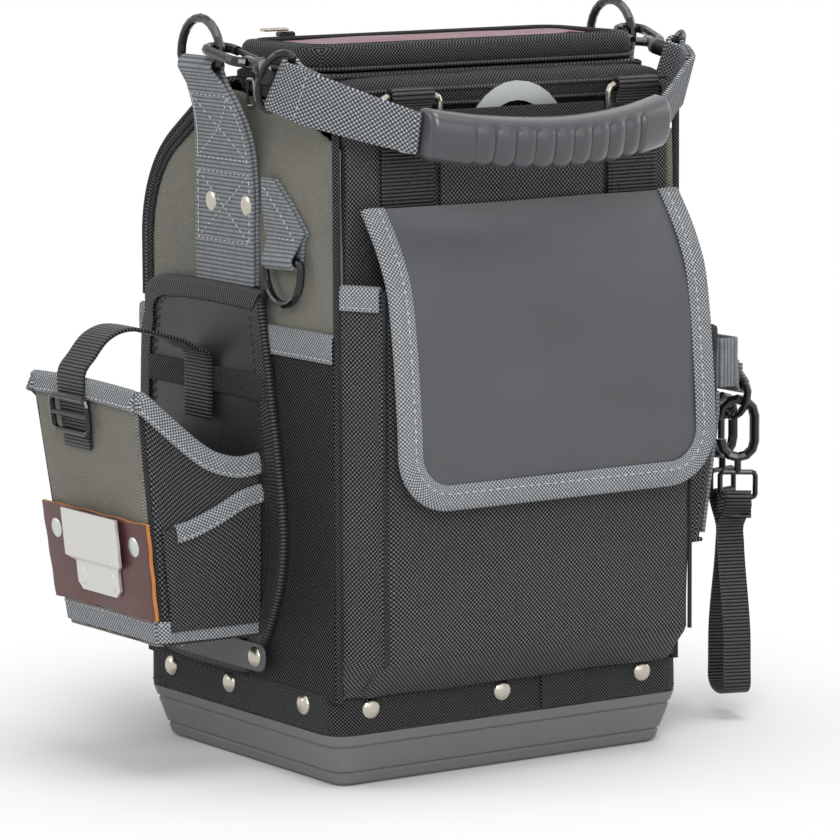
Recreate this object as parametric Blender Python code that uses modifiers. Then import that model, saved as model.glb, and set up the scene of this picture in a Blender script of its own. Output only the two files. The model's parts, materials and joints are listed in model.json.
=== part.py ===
"""Tool pouch: moulded base tub, sewn body with a zipped lid and a rear door, bellows pocket under a flap,
side holster, sleeve pocket with a lanyard, and a rubber carrying handle on snap hooks.

Metres, +Z up. The origin is under the middle of the base and the front faces -Y."""

import math

import bmesh
import bpy
from mathutils import Matrix, Vector

# Gaps: between touching pieces and between two layers of one folded webbing, and how far sewn webbing sinks in
CLEAR = 0.0003
LAYER_GAP = 0.0005
SEWN_SINK = 0.0004
FREE_WRAP = math.radians(26)
SEWN_WRAP = math.radians(34)

# Base tub and the tape round its rim
RIM_HALF_X = 0.1050
RIM_HALF_Y = 0.0884
RIM_CENTRE_X = 0.0015
RIM_CENTRE_Y = 0.0036
CORNER_RADIUS = 0.0115
TUB_DRAFT = 0.0084
TUB_EDGE = 0.0015
TUB_STEP_Z = 0.0065
TUB_GROOVE_Z = 0.0200
TUB_GROOVE = 0.0011
TUB_RIM_Z = 0.0262
TUB_TOP_Z = 0.0430
TUB_WALL = 0.0040
TUB_FLOOR = 0.0040
TUB_LEDGE = 0.0070
TAPE = 0.0015
TAPE_LAP = 0.0010
TAPE_LAP_X = 0.0180
TAPE_LAP_WIDTH = 0.0260
RIVET_RADIUS = 0.0052
RIVET_DOME = 0.0024
RIVET_SINK = 0.0006
RIVET_FRONT_SHARES = (-0.80, -0.063, 0.862)
RIVET_SIDE_SHARES = (-0.69, 0.077, 0.70)

# Sewn body: padded panels standing on the tub
BODY_HALF_X = 0.1005
PANEL = 0.0050
FRONT_Y = 0.0850
FRONT_TOP_Z = 0.3240
FRONT_CORNER = 0.0080
REAR_FOOT_Y = 0.0890
REAR_Y = 0.0920
POCKET_LINE_Z = 0.2200
CREST_Y = 0.0280
CREST_Z = 0.3340
CREST_DROP = 0.0230
DOOR_ARC_Z = 0.2550
DOOR_ARC_RADIUS = 0.0650
DOOR_TURN = math.radians(56)
DOOR_END_Y = 0.0173
DOOR_LIP = 0.0065
DOOR_WALL = 0.0040
DIVIDER_Y = 0.0070
DIVIDER = 0.0040
SIDE_POCKET = 0.0025

# Mouth of the main compartment, collar roll and lid
BAND_SIDE_GAP = 0.0025
BAND_HALF_X = BODY_HALF_X - BAND_SIDE_GAP
BAND_FRONT_Y = 0.0660
BAND_BACK_Y = 0.0120
BAND_WALL = 0.0060
BAND_CORNER = 0.0120
LID_BOTTOM_Z = 0.3445
COLLAR_HALF_X = 0.0965
COLLAR_DEPTH = 0.0180
COLLAR_HEIGHT = 0.0190
COLLAR_TAPER = 0.0080
LID_OVERHANG = 0.0010
LID_HALF_X = BAND_HALF_X + LID_OVERHANG
LID_FRONT_Y = 0.0640
LID_BACK_Y = 0.0160
LID_HEIGHT = 0.0130
LID_RIM = 0.0080
LID_CORNER = 0.0200
LID_ROUND = 0.0030
LID_PANEL = 0.0060
LID_CROWN = 0.0012
LID_CROWN_INSET = 0.0180

# Zip sliders and their pull tabs
SLIDER_LENGTH = 0.0090
SLIDER_WIDTH = 0.0060
SLIDER_HEIGHT = 0.0024
PULL_LENGTH = 0.0130
PULL_WIDTH = 0.0060
PULL_WIRE = 0.0008
PULL_LIFT = 0.0
LID_SLIDER_X = 0.0670
LID_SLIDER_INSET = 0.0052
SIDE_SLIDER_Y = 0.0120
SIDE_SLIDER_DROP = 0.0050

# Tool pockets inside the main compartment
SLOT_COUNT = 5
SLOT_WIDTH = 0.0300
SLOT_DEPTH = 0.0110
SLOT_WALL = 0.0025
INNER_LOW_Z = 0.0900
INNER_HIGH_Z = 0.2100
INNER_SIDE_GAP = 0.0030

# Bellows pocket on the front
POCKET_BACK_HALF = 0.1000
POCKET_FRONT_HALF = 0.0920
POCKET_SHIFT = 0.0022
POCKET_DEPTH = 0.0236
POCKET_CROWN = 0.0060
POCKET_WALL = 0.0025
POCKET_CORNER = 0.0060
POCKET_FOOT_Z = 0.0460
POCKET_SLOPE_Z = 0.0630
POCKET_TOP_Z = 0.2440
POCKET_FOOT_DEPTH = 0.0042
POCKET_ROWS = 8

# Flap over the bellows pocket
FLAP_HALF_X = 0.0935
FLAP_SHIFT = 0.0040
FLAP_TOP_Z = 0.2810
FLAP_DROP = 0.1425
FLAP_OUT = 0.0318
FLAP_CORNER = 0.0280
FLAP_THICKNESS = 0.0022
FLAP_BINDING = 0.0120
FLAP_BINDING_THICKNESS = 0.0034
FLAP_PROFILE_SHARES = ((0.0, 0.0), (0.340, 0.100), (0.575, 0.190), (0.725, 0.275), (0.845, 0.430), (0.925, 0.600), (0.98, 0.760), (1.0, 1.0))

# Webbing straps, rings and the slot pocket on the front panel
FRONT_STRAP_X = 0.0668
FRONT_STRAP_SHIFT = 0.0060
FRONT_STRAP_WIDTH = 0.0300
FRONT_STRAP_FOLD = 0.0240
FRONT_STRAP_FOOT_Z = 0.2750
FRONT_WEB = 0.0020
FRONT_BAR_Z = 0.3340
FRONT_WIRE = 0.0016
FRONT_RING_HALF = 0.0166
FRONT_RING_LEG = 0.0100
SLOT_POCKET_DEPTH = 0.0012
SLOT_POCKET_TOP_Z = 0.3260
SLOT_POCKET_FOOT_Z = 0.2670
SLOT_POCKET_MARGIN = 0.0010
STEEL_RING_X = 0.0033
STEEL_RING_Z = 0.3084
STEEL_RING_RADIUS = 0.0300
STEEL_RING_BORE = 0.0205
STEEL_RING_THICKNESS = 0.0015

# Standing rings, side straps, snap hooks and handle. A strap station is (share of its height, outward lean, near y, far y)
RING_OUT = 0.0195
RIGHT_RING_OUT = 0.0265
RING_Y = 0.0042
RING_Z = 0.3510
RING_HALF = 0.0181
RING_LEG = 0.0048
RING_WIRE = 0.00225
WEB = 0.0021
STRAP_TOP_WIDTH = 0.0290
STRAP_RIVET_SHARE = 0.403
STRAP_RIVET_SPREAD = 0.0124
STRAP_RIVET_DOME = 0.0012
STRAP_CENTRE_Y = 0.0085
STRAP_FOOT_GAP = 0.0015
STRAP_TOP_GAP = 0.0087
STRAP_STATIONS = ((0.0, 0.0000, -0.0176, 0.0350), (0.2576, 0.0000, -0.0176, 0.0350), (0.4697, 0.0006, -0.0188, 0.0338),
                  (0.6616, 0.0032, -0.0202, 0.0296), (0.7727, 0.0064, -0.0208, 0.0246), (0.8939, 0.0112, -0.0196, 0.0192),
                  (1.0, 0.0148, -0.0148, 0.0182))
HOOK_TILT = math.radians(9.7)
RIGHT_LEAN = math.radians(17)
LEAN_PIVOT = 0.0165
HOOK_OFFSET = 0.0065
HOOK_TIP = 0.0086
HOOK_WIRE = 0.0025
HOOK_HALF = 0.0075
HOOK_NECK = 0.0460
HOOK_BLOCK = 0.0060
HOOK_NOSE = 0.0210
GATE_WIRE = 0.0016
GATE_PIVOT = 0.0400
BARREL_RADIUS = 0.0042
BARREL_LENGTH = 0.0040
EYE_REACH = 0.0740
EYE_DROP = 0.0041
EYE_LEAN = math.radians(27)
EYE_HALF = 0.0172
EYE_TURN = math.radians(44)
EYE_LEG = 0.0028
EYE_RISE_SHARE = 0.50
EYE_WIRE = 0.0018
HANDLE_WEB = 0.0024
HANDLE_WEB_WIDTH = 0.0292
HANDLE_WEB_END_WIDTH = 0.0205
HANDLE_TAIL_SHARE = 0.40
GRIP_HALF = 0.0700
GRIP_SHIFT = 0.0054
GRIP_REACH = 0.1283
GRIP_DROP = 0.0108
GRIP_DIP = 0.0052
GRIP_SAG = 0.0120
GRIP_HEIGHT = 0.0250
GRIP_THICKNESS = 0.0200
GRIP_ROUND = 0.0030
GRIP_RECESS = 0.0016
GRIP_RIBS = 9
GRIP_RIB_SHARE = 0.70
HANDLE_WEB_SHARES = ((0.15, 0.00, 0.08, 0.86), (0.36, 0.10, 0.24, 0.62), (0.48, 0.28, 0.40, 0.46), (0.68, 0.57, 0.68, 0.26),
                     (0.90, 0.90, 0.95, 0.10), (0.955, 0.955, 1.00, 0.08), (0.975, 1.00, 1.00, 0.08))

# Side ring on its tab. A tab station is (height above the ring's bar, near y, far y)
TAB_CENTRE_Y = 0.0450
TAB_RISE = 0.0170
TAB_WIDTH = 0.0250
TAB_TILT = math.radians(2)
TAB_STATIONS = ((0.0390, -0.0345, -0.0255), (0.0260, -0.0505, -0.0262), (0.0140, -0.0630, -0.0285), (0.0095, -0.0590, -0.0305))
SIDE_RING_HALF = 0.0158
SIDE_RING_LEG = 0.0055
SIDE_RING_WIRE = 0.0020

# Holster on the left side
HOLSTER_BACK = 0.0034
HOLSTER_BACK_LOW_Z = 0.0480
HOLSTER_BACK_HEIGHT = 0.1890
HOLSTER_BACK_LOW_Y = -0.0450
HOLSTER_BACK_WIDTH = 0.1310
HOLSTER_OUTLINE_SHARES = ((0.23, 0.02), (0.34, 0.0), (0.74, 0.0), (0.85, 0.03), (0.93, 0.13), (1.0, 0.42), (0.99, 0.80), (0.96, 0.90),
                          (0.87, 0.995), (0.18, 1.0), (0.15, 0.97), (0.08, 0.72), (0.01, 0.44), (0.02, 0.28), (0.10, 0.14))
HOLSTER_PLATE = 0.0014
HOLSTER_PLATE_Y = -0.0300
HOLSTER_PLATE_WIDTH = 0.0860
HOLSTER_PLATE_LOW_Z = 0.0500
HOLSTER_PLATE_HIGH_Z = 0.0640
HOLSTER_PLATE_CORNER = 0.0060
HOLSTER_RIVET_INSET = 0.0090
BAND_STRIP = 0.0014
BAND_STRIP_Y = -0.0310
BAND_STRIP_WIDTH = 0.1080
BAND_STRIP_LOW_Z = 0.1843
BAND_STRIP_HEIGHT = 0.0125
POUCH_LOW_Z = 0.0680
POUCH_BACK_Z = 0.1540
POUCH_NEAR_Z = 0.1915
POUCH_FAR_Z = 0.1915
POUCH_ARCH = 0.0022
POUCH_FOOT_OUT = 0.0560
POUCH_TOP_OUT = 0.0690
POUCH_FOOT_NEAR_Y = -0.0230
POUCH_FOOT_FAR_Y = 0.0665
POUCH_TOP_NEAR_Y = -0.0250
POUCH_TOP_FAR_Y = 0.0785
POUCH_EDGE_SHARES = ((0.0, 0.08), (0.17, 0.05), (0.35, 0.14), (0.48, 0.284), (0.62, 0.493), (0.80, 0.78))
POUCH_WALL = 0.0025
POUCH_CORNER = 0.0070
POUCH_ROWS = 6
OUTER_POCKET = 0.0022
OUTER_POCKET_LOW_Z = 0.0750
OUTER_POCKET_HIGH_Z = (0.1420, 0.1395, 0.1340, 0.1305, 0.1275, 0.1255, 0.1250)
LEATHER = 0.0030
LEATHER_LOW_Z = 0.0810
LEATHER_HIGH_Z = 0.1290
LEATHER_OVERHANG = 0.0020
CLIP_PLATE = 0.0015
CLIP_STAND = 0.0024
CLIP_WIDTH = 0.0520
CLIP_FOOT_WIDTH = 0.0400
CLIP_HEIGHT = 0.0400
CLIP_RAISE = 0.0080
CLIP_FOOT = 0.0140
CLIP_RIVET_DOME = 0.0011
CLIP_RIVET_RADIUS = 0.0045
HOLSTER_WEB = 0.0018
HOLSTER_WEB_WIDTH = 0.0250
HOLSTER_STRAP_Y = 0.0270
HOLSTER_STRAP_END_Y = 0.0340
HOLSTER_STRAP_RISE = 0.0200
HOLSTER_STRAP_LOW_Z = 0.1705
HOLSTER_STRAP_FOOT_Z = 0.2005
HOLSTER_TAIL_LOW_Z = 0.1600
HOLSTER_ARCH_SHARES = ((0.1, 0.30), (0.2, 0.53), (0.3, 0.67), (0.4, 0.79), (0.5, 0.91), (0.62, 1.0), (0.72, 0.97), (0.82, 0.80), (0.91, 0.45))
STRAP_SLIDER_WIDTH = 0.0340
STRAP_SLIDER_HEIGHT = 0.0170
STRAP_SLIDER_WIRE = 0.0016
STRAP_SLIDER_Z = 0.1765

# Right side: sleeve pocket, webbing loop, tab and lanyard
SLEEVE_LOW_Z = 0.0960
SLEEVE_BEND_Z = 0.1600
SLEEVE_HIGH_Z = 0.2050
SLEEVE_OUT = 0.0430
SLEEVE_FOOT_OUT = 0.0330
SLEEVE_NEAR_Y = -0.0630
SLEEVE_FAR_Y = -0.0020
SLEEVE_WALL = 0.0025
SLEEVE_CORNER = 0.0060
SLEEVE_TAIL_Y = -0.0480
SLEEVE_TAIL_LOW_Z = 0.1000
TOOL_LOOP_OUT = 0.0140
TOOL_LOOP_WALL = 0.0020
TOOL_LOOP_NEAR_Y = -0.0610
TOOL_LOOP_WIDTH = 0.0270
TOOL_LOOP_LOW_Z = 0.1740
TOOL_LOOP_HIGH_Z = 0.1990
LANYARD_Y = -0.0475
LANYARD_BAR_Z = 0.1740
LANYARD_TAB_TOP_Z = 0.1870
LANYARD_WEB = 0.0018
LANYARD_WEB_WIDTH = 0.0220
LANYARD_RING_HALF = 0.0145
LANYARD_RING_LEG = 0.0030
LANYARD_RING_WIRE = 0.0020
CLIP_SPREAD = 0.0065
CLIP_TURN_A = math.radians(-38)
CLIP_TURN_B = math.radians(12)
CLIP_RING_HALF = 0.0085
CLIP_RING_LONG = 0.0300
CLIP_RING_WIRE = 0.0026
CLIP_HOLD = 0.0094
CLIP_GATE_WIRE = 0.0018
CLIP_GATE_TOP = 0.0100
CLIP_GATE_FOOT = 0.0205
LOOP_HALF = 0.0090
LOOP_HEIGHT = 0.0130
LOOP_WIRE = 0.0014
LOOP_STEM = 0.0034
WRIST_WEB = 0.0016
WRIST_WEB_WIDTH = 0.0140
WRIST_PINCH_Z = 0.1000
WRIST_LOW_Z = 0.0180
WRIST_BULGE = 0.0125
WRIST_ROWS = 9
WRIST_TURN = math.radians(-20)
WRIST_FOLD = 0.0110
WRIST_SWELL_SHARE = 1.3

PARTS = "tool_pouch"
CUTTERS = "cutters"


def clear_scene():
    """Removes what the scene holds and makes the two collections."""
    for old in list(bpy.data.objects):
        bpy.data.objects.remove(old, do_unlink=True)
    for name in (PARTS, CUTTERS):
        group = bpy.data.collections.new(name)
        bpy.context.scene.collection.children.link(group)


def linear(channel):
    """One sRGB channel from 0 to 255 as a linear value."""
    value = channel / 255
    return value / 12.92 if value <= 0.04045 else ((value + 0.055) / 1.055) ** 2.4


def finish(name, colour, roughness, metallic=0.0):
    """A Principled material of one sRGB colour, made once."""
    made = bpy.data.materials.get(name)
    if made:
        return made
    made = bpy.data.materials.new(name)
    made.use_nodes = True
    shader = made.node_tree.nodes["Principled BSDF"]
    rgb = [linear(int(colour[i:i + 2], 16)) for i in (0, 2, 4)]
    shader.inputs["Base Color"].default_value = (*rgb, 1.0)
    shader.inputs["Roughness"].default_value = roughness
    shader.inputs["Metallic"].default_value = metallic
    return made


def tub_plastic():
    return finish("grey_tub_plastic", "6E6F6E", 0.55)


def black_webbing():
    return finish("black_webbing", "1E1E20", 0.85)


def grey_webbing():
    return finish("grey_webbing", "7E8486", 0.85)


def black_nylon():
    return finish("black_nylon", "2A2A2B", 0.80)


def khaki_fabric():
    return finish("khaki_fabric", "6B6A5C", 0.85)


def coated_fabric():
    return finish("dark_coated_fabric", "45474A", 0.50)


def burgundy_vinyl():
    return finish("burgundy_vinyl", "6E4F54", 0.55)


def rubber():
    return finish("charcoal_rubber", "3D3F43", 0.60)


def gunmetal():
    return finish("gunmetal", "3A3B3E", 0.30, 1.0)


def nickel():
    return finish("nickel", "C9C7C2", 0.25, 1.0)


def brushed_steel():
    return finish("brushed_steel", "BFC3C2", 0.35, 1.0)


def leather():
    return finish("brown_leather", "4A3232", 0.55)


def place(name, mesh, material, group=PARTS):
    """A new object of this mesh in one of the two collections."""
    made = bpy.data.objects.new(name, mesh)
    if material:
        mesh.materials.clear()
        mesh.materials.append(material)
    bpy.data.collections[group].objects.link(made)
    if group == CUTTERS:
        made.hide_render = True
        made.display_type = "WIRE"
    return made


def settle(made, origin=None):
    """Shades a piece smooth between sharp edges and puts its origin on its joint's axis."""
    mesh = made.data
    mesh.shade_smooth()
    mesh.set_sharp_from_angle(angle=math.radians(38))
    if origin is not None:
        mesh.transform(Matrix.Translation(-Vector(origin)))
        made.location = origin
    return made


def from_bmesh(name, shape, material, group=PARTS):
    """An object of a bmesh whose faces are turned outwards."""
    bmesh.ops.recalc_face_normals(shape, faces=shape.faces)
    mesh = bpy.data.meshes.new(name)
    shape.to_mesh(mesh)
    shape.free()
    return place(name, mesh, material, group)


def box(name, low, high, material, edge=0.0, group=PARTS):
    """A box between two corners, with its edges rounded by a Bevel."""
    low, high = Vector(low), Vector(high)
    shape = bmesh.new()
    size = high - low
    matrix = Matrix.Translation((low + high) / 2) @ Matrix.Diagonal((*size, 1.0))
    bmesh.ops.create_cube(shape, size=1.0, matrix=matrix)
    made = from_bmesh(name, shape, material, group)
    if edge:
        round_edges(made, edge)
    return made


def round_edges(made, width, segments=1):
    bevel = made.modifiers.new("rounded_edges", "BEVEL")
    bevel.width = width
    bevel.segments = segments
    bevel.limit_method = "ANGLE"
    bevel.angle_limit = math.radians(40)
    return made


def loft(name, loops, material, ring=False, group=PARTS):
    """Skins closed loops of as many points each. A ring joins the last loop to the first, else the ends are capped."""
    shape = bmesh.new()
    rows = [[shape.verts.new(point) for point in loop] for loop in loops]
    pairs = list(zip(rows, rows[1:]))
    if ring:
        pairs.append((rows[-1], rows[0]))
    for first, second in pairs:
        for i in range(len(first)):
            j = (i + 1) % len(first)
            shape.faces.new((first[i], first[j], second[j], second[i]))
    if not ring:
        shape.faces.new(list(reversed(rows[0])))
        shape.faces.new(rows[-1])
    return from_bmesh(name, shape, material, group)


def sheet(name, rows, thickness, material, side=0.0, group=PARTS):
    """A surface through rows of points, made a solid by Solidify. side is -1 to 1, 0 for both sides."""
    shape = bmesh.new()
    grid = [[shape.verts.new(point) for point in row] for row in rows]
    for first, second in zip(grid, grid[1:]):
        for i in range(len(first) - 1):
            shape.faces.new((first[i], first[i + 1], second[i + 1], second[i]))
    mesh = bpy.data.meshes.new(name)
    shape.to_mesh(mesh)
    shape.free()
    made = place(name, mesh, material, group)
    solid = made.modifiers.new("thickness", "SOLIDIFY")
    solid.thickness = thickness
    solid.offset = side
    solid.use_even_offset = True
    return made


def ribbon(name, spine, across, widths, thickness, material, group=PARTS):
    """Webbing along a spine: its width lies along across, one width for each point."""
    across = Vector(across).normalized()
    rows = [[Vector(point) - across * width / 2, Vector(point) + across * width / 2] for point, width in zip(spine, widths)]
    return sheet(name, rows, thickness, material, group=group)


def join(made, others):
    """Unites pieces that are sewn, riveted or welded together into one solid."""
    for number, other in enumerate(others):
        union = made.modifiers.new(f"join_{number}", "BOOLEAN")
        union.operation = "UNION"
        union.solver = "EXACT"
        union.object = other
    return made


def cut(made, cutter):
    difference = made.modifiers.new("cut", "BOOLEAN")
    difference.operation = "DIFFERENCE"
    difference.solver = "EXACT"
    difference.object = cutter
    return made


PLANES = {
    "side": Matrix(((0, 0, 1, 0), (1, 0, 0, 0), (0, 1, 0, 0), (0, 0, 0, 1))),
    "front": Matrix(((1, 0, 0, 0), (0, 0, -1, 0), (0, 1, 0, 0), (0, 0, 0, 1))),
    "plan": Matrix.Identity(4),
}


def plate(name, outlines, plane, low, high, material, edge=0.0, group=PARTS):
    """A flat outline, with any holes, as a filled 2D curve of some thickness.

    side takes (y, z) and lies between two x, front takes (x, z) and lies between two y, and plan takes (x, y)."""
    curve = bpy.data.curves.new(name, "CURVE")
    curve.dimensions = "2D"
    curve.fill_mode = "BOTH"
    curve.extrude = abs(high - low) / 2
    for outline in outlines:
        spline = curve.splines.new("POLY")
        spline.points.add(len(outline) - 1)
        for point, (u, v) in zip(spline.points, outline):
            point.co = (u, v, 0.0, 1.0)
        spline.use_cyclic_u = True
    guide = bpy.data.objects.new(name + "_curve", curve)
    bpy.data.collections[CUTTERS].objects.link(guide)
    graph = bpy.context.evaluated_depsgraph_get()
    mesh = bpy.data.meshes.new_from_object(guide.evaluated_get(graph))
    bpy.data.objects.remove(guide)
    shape = bmesh.new()
    shape.from_mesh(mesh)
    bmesh.ops.remove_doubles(shape, verts=shape.verts, dist=CLEAR / 100)
    bmesh.ops.dissolve_limit(shape, angle_limit=math.radians(1), verts=shape.verts, edges=shape.edges)
    middle = (low + high) / 2
    shift = Matrix.Translation({"side": (middle, 0, 0), "front": (0, middle, 0), "plan": (0, 0, middle)}[plane])
    bmesh.ops.transform(shape, matrix=shift @ PLANES[plane], verts=shape.verts)
    made = from_bmesh(name, shape, material, group)
    if edge:
        round_edges(made, edge)
    return made


def wire(name, points, radius, material, closed=False, sides=2, group=PARTS):
    """A round wire along points, as a welded mesh."""
    curve = bpy.data.curves.new(name, "CURVE")
    curve.dimensions = "3D"
    curve.bevel_depth = radius
    curve.bevel_resolution = sides
    curve.use_fill_caps = not closed
    spline = curve.splines.new("POLY")
    spline.points.add(len(points) - 1)
    for point, place_at in zip(spline.points, points):
        point.co = (*place_at, 1.0)
    spline.use_cyclic_u = closed
    guide = bpy.data.objects.new(name + "_curve", curve)
    bpy.data.collections[CUTTERS].objects.link(guide)
    graph = bpy.context.evaluated_depsgraph_get()
    mesh = bpy.data.meshes.new_from_object(guide.evaluated_get(graph))
    bpy.data.objects.remove(guide)
    shape = bmesh.new()
    shape.from_mesh(mesh)
    bmesh.ops.remove_doubles(shape, verts=shape.verts, dist=CLEAR / 100)
    return from_bmesh(name, shape, material, group)


def arc(centre, radius, start, end, steps):
    """Points (u, v) of an arc, ends included."""
    return [(centre[0] + radius * math.cos(start + (end - start) * i / steps),
             centre[1] + radius * math.sin(start + (end - start) * i / steps)) for i in range(steps + 1)]


def rounded_rectangle(low_u, high_u, low_v, high_v, radius, steps=4):
    """Points (u, v) of a rectangle with round corners, anticlockwise."""
    quarter = math.pi / 2
    corners = ((high_u - radius, low_v + radius, -quarter), (high_u - radius, high_v - radius, 0.0),
               (low_u + radius, high_v - radius, quarter), (low_u + radius, low_v + radius, 2 * quarter))
    points = []
    for u, v, start in corners:
        points += arc((u, v), radius, start, start + quarter, steps)
    return points


def divided(outline, longest):
    """The closed outline with its long edges split, so that it can follow a curved edge."""
    points = []
    for (x, y), (x2, y2) in zip(outline, outline[1:] + outline[:1]):
        count = max(1, math.ceil(math.hypot(x2 - x, y2 - y) / longest))
        points += [(x + (x2 - x) * i / count, y + (y2 - y) * i / count) for i in range(count)]
    return points


def lifted(outline, z):
    return [Vector((x, y, z)) for x, y in outline]


def smooth_outline(points, steps=3):
    """A closed Catmull-Rom curve through the points of an outline."""
    count = len(points)
    smooth = []
    for i in range(count):
        a, b, c, d = (Vector(points[(i + k) % count]) for k in (-1, 0, 1, 2))
        for step in range(steps):
            t = step / steps
            smooth.append(((2 * b) + (c - a) * t + (2 * a - 5 * b + 4 * c - d) * t * t + (3 * b - a - 3 * c + d) * t ** 3) / 2)
    return smooth


def smooth_path(points, steps=4):
    """An open Catmull-Rom curve through points, ends included."""
    points = [Vector(point) for point in points]
    padded = [2 * points[0] - points[1]] + points + [2 * points[-1] - points[-2]]
    path = []
    for a, b, c, d in zip(padded, padded[1:], padded[2:], padded[3:]):
        for step in range(steps):
            t = step / steps
            path.append(((2 * b) + (c - a) * t + (2 * a - 5 * b + 4 * c - d) * t * t + (3 * b - a - 3 * c + d) * t ** 3) / 2)
    return path + [points[-1]]


def fold(bar, out, side, wire_radius, web, lead=FREE_WRAP, trail=FREE_WRAP, steps=8):
    """Points of webbing folded round a bar, from the leg on the side towards side to the other leg.

    out points from the strap to the tip of the fold. The legs lie LAYER_GAP apart behind the bar, and lead and
    trail say how far the webbing wraps round the bar past its half circle."""
    bar, out, side = Vector(bar), Vector(out).normalized(), Vector(side).normalized()
    radius = wire_radius + LAYER_GAP + web / 2
    leg = (web + LAYER_GAP) / 2
    points = [bar - out * radius * 2 + side * leg]
    for i in range(steps + 1):
        angle = -lead + (math.pi + lead + trail) * i / steps
        points.append(bar + out * radius * math.sin(angle) + side * radius * math.cos(angle))
    points.append(bar - out * radius * 2 - side * leg)
    return points


def d_ring_path(centre, along, out, half, leg, corner, steps=10, rise_share=1.0):
    """Points of a closed D: a half circle about centre towards out, two legs and a straight bar.

    rise_share flattens the half circle."""
    centre, along, out = Vector(centre), Vector(along).normalized(), Vector(out).normalized()
    flat = [(u, v * rise_share) for u, v in arc((0.0, 0.0), half, 0.0, math.pi, steps)]
    flat += arc((-half + corner, -leg + corner), corner, math.pi, 1.5 * math.pi, 2)
    flat += arc((half - corner, -leg + corner), corner, -0.5 * math.pi, 0.0, 2)
    return [centre + along * u + out * v for u, v in flat]


def dome(name, centre, normal, radius, height, sink, group=CUTTERS):
    """The domed head of a rivet on a face, sunk a little into it."""
    shape = bmesh.new()
    bmesh.ops.create_uvsphere(shape, u_segments=12, v_segments=6, radius=1.0)
    bmesh.ops.bisect_plane(shape, geom=shape.verts[:] + shape.edges[:] + shape.faces[:], plane_co=(0, 0, 0),
                           plane_no=(0, 0, 1), clear_inner=True)
    rim = [edge for edge in shape.edges if edge.is_boundary]
    lower = bmesh.ops.extrude_edge_only(shape, edges=rim)["geom"]
    low = [item for item in lower if isinstance(item, bmesh.types.BMVert)]
    bmesh.ops.translate(shape, verts=low, vec=(0, 0, -sink / height))
    bmesh.ops.holes_fill(shape, edges=[edge for edge in shape.edges if edge.is_boundary])
    turn = Vector((0, 0, 1)).rotation_difference(Vector(normal)).to_matrix().to_4x4()
    scale = Matrix.Diagonal((radius, radius, height, 1.0))
    bmesh.ops.transform(shape, matrix=Matrix.Translation(centre) @ turn @ scale, verts=shape.verts)
    return from_bmesh(name, shape, nickel(), group)


def rod(name, start, end, radius, material, sides=12, group=CUTTERS):
    """A cylinder from start to end."""
    start, end = Vector(start), Vector(end)
    shape = bmesh.new()
    bmesh.ops.create_cone(shape, cap_ends=True, segments=sides, radius1=radius, radius2=radius, depth=1.0)
    turn = Vector((0, 0, 1)).rotation_difference(end - start).to_matrix().to_4x4()
    scale = Matrix.Diagonal((1.0, 1.0, (end - start).length, 1.0))
    bmesh.ops.transform(shape, matrix=Matrix.Translation((start + end) / 2) @ turn @ scale, verts=shape.verts)
    return from_bmesh(name, shape, material, group)


# Base tub and tape

def tub_inset(z):
    """How far the drafted wall of the tub lies inside its rim at a height."""
    return TUB_DRAFT * max(0.0, 1 - z / TUB_RIM_Z)


def tub_loop(z, inset):
    radius = max(CORNER_RADIUS - inset * 0.5, CORNER_RADIUS / 4)
    half_x, half_y = RIM_HALF_X - inset, RIM_HALF_Y - inset
    outline = rounded_rectangle(RIM_CENTRE_X - half_x, RIM_CENTRE_X + half_x, RIM_CENTRE_Y - half_y, RIM_CENTRE_Y + half_y, radius)
    return lifted(outline, z)


def base_tub():
    """The moulded shell: drafted wall with two grooves, and a flange that the tape goes round."""
    flange = TAPE + CLEAR
    outer = [(0.0, tub_inset(0.0) + TUB_EDGE), (TUB_EDGE, tub_inset(TUB_EDGE))]
    for middle in (TUB_STEP_Z, TUB_GROOVE_Z):
        outer.append((middle - TUB_GROOVE, tub_inset(middle - TUB_GROOVE)))
        outer.append((middle, tub_inset(middle) + TUB_GROOVE))
        outer.append((middle + TUB_GROOVE, tub_inset(middle + TUB_GROOVE)))
    outer += [(TUB_RIM_Z, 0.0), (TUB_RIM_Z, flange), (TUB_TOP_Z, flange)]
    inner = [(TUB_TOP_Z, flange + TUB_LEDGE), (TUB_FLOOR, tub_inset(TUB_FLOOR) + TUB_WALL)]
    return settle(loft("base_tub", [tub_loop(z, inset) for z, inset in outer + inner], tub_plastic()))


def rim_tape():
    """The tape band with its overlapped end and the rivets through it."""
    low, high = TUB_RIM_Z + CLEAR, TUB_TOP_Z
    band = loft("rim_tape", [tub_loop(low, 0.0), tub_loop(high, 0.0), tub_loop(high, TAPE), tub_loop(low, TAPE)],
                black_webbing(), ring=True)
    middle = (low + high) / 2
    front = RIM_CENTRE_Y - RIM_HALF_Y
    lap = box("tape_lap", (TAPE_LAP_X, front - TAPE_LAP, low + CLEAR), (TAPE_LAP_X + TAPE_LAP_WIDTH, front + TAPE / 2, high - CLEAR),
              black_webbing(), group=CUTTERS)
    heads = [lap]
    for share in RIVET_FRONT_SHARES:
        x = RIM_CENTRE_X + share * RIM_HALF_X
        heads.append(dome("rivet", (x, front, middle), (0, -1, 0), RIVET_RADIUS, RIVET_DOME, RIVET_SINK))
        heads.append(dome("rivet", (x, RIM_CENTRE_Y + RIM_HALF_Y, middle), (0, 1, 0), RIVET_RADIUS, RIVET_DOME, RIVET_SINK))
    for share in RIVET_SIDE_SHARES:
        y = RIM_CENTRE_Y + share * RIM_HALF_Y
        for sign in (-1, 1):
            heads.append(dome("rivet", (RIM_CENTRE_X + sign * RIM_HALF_X, y, middle), (sign, 0, 0), RIVET_RADIUS, RIVET_DOME, RIVET_SINK))
    return settle(join(band, heads))


# Sewn body

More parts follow.
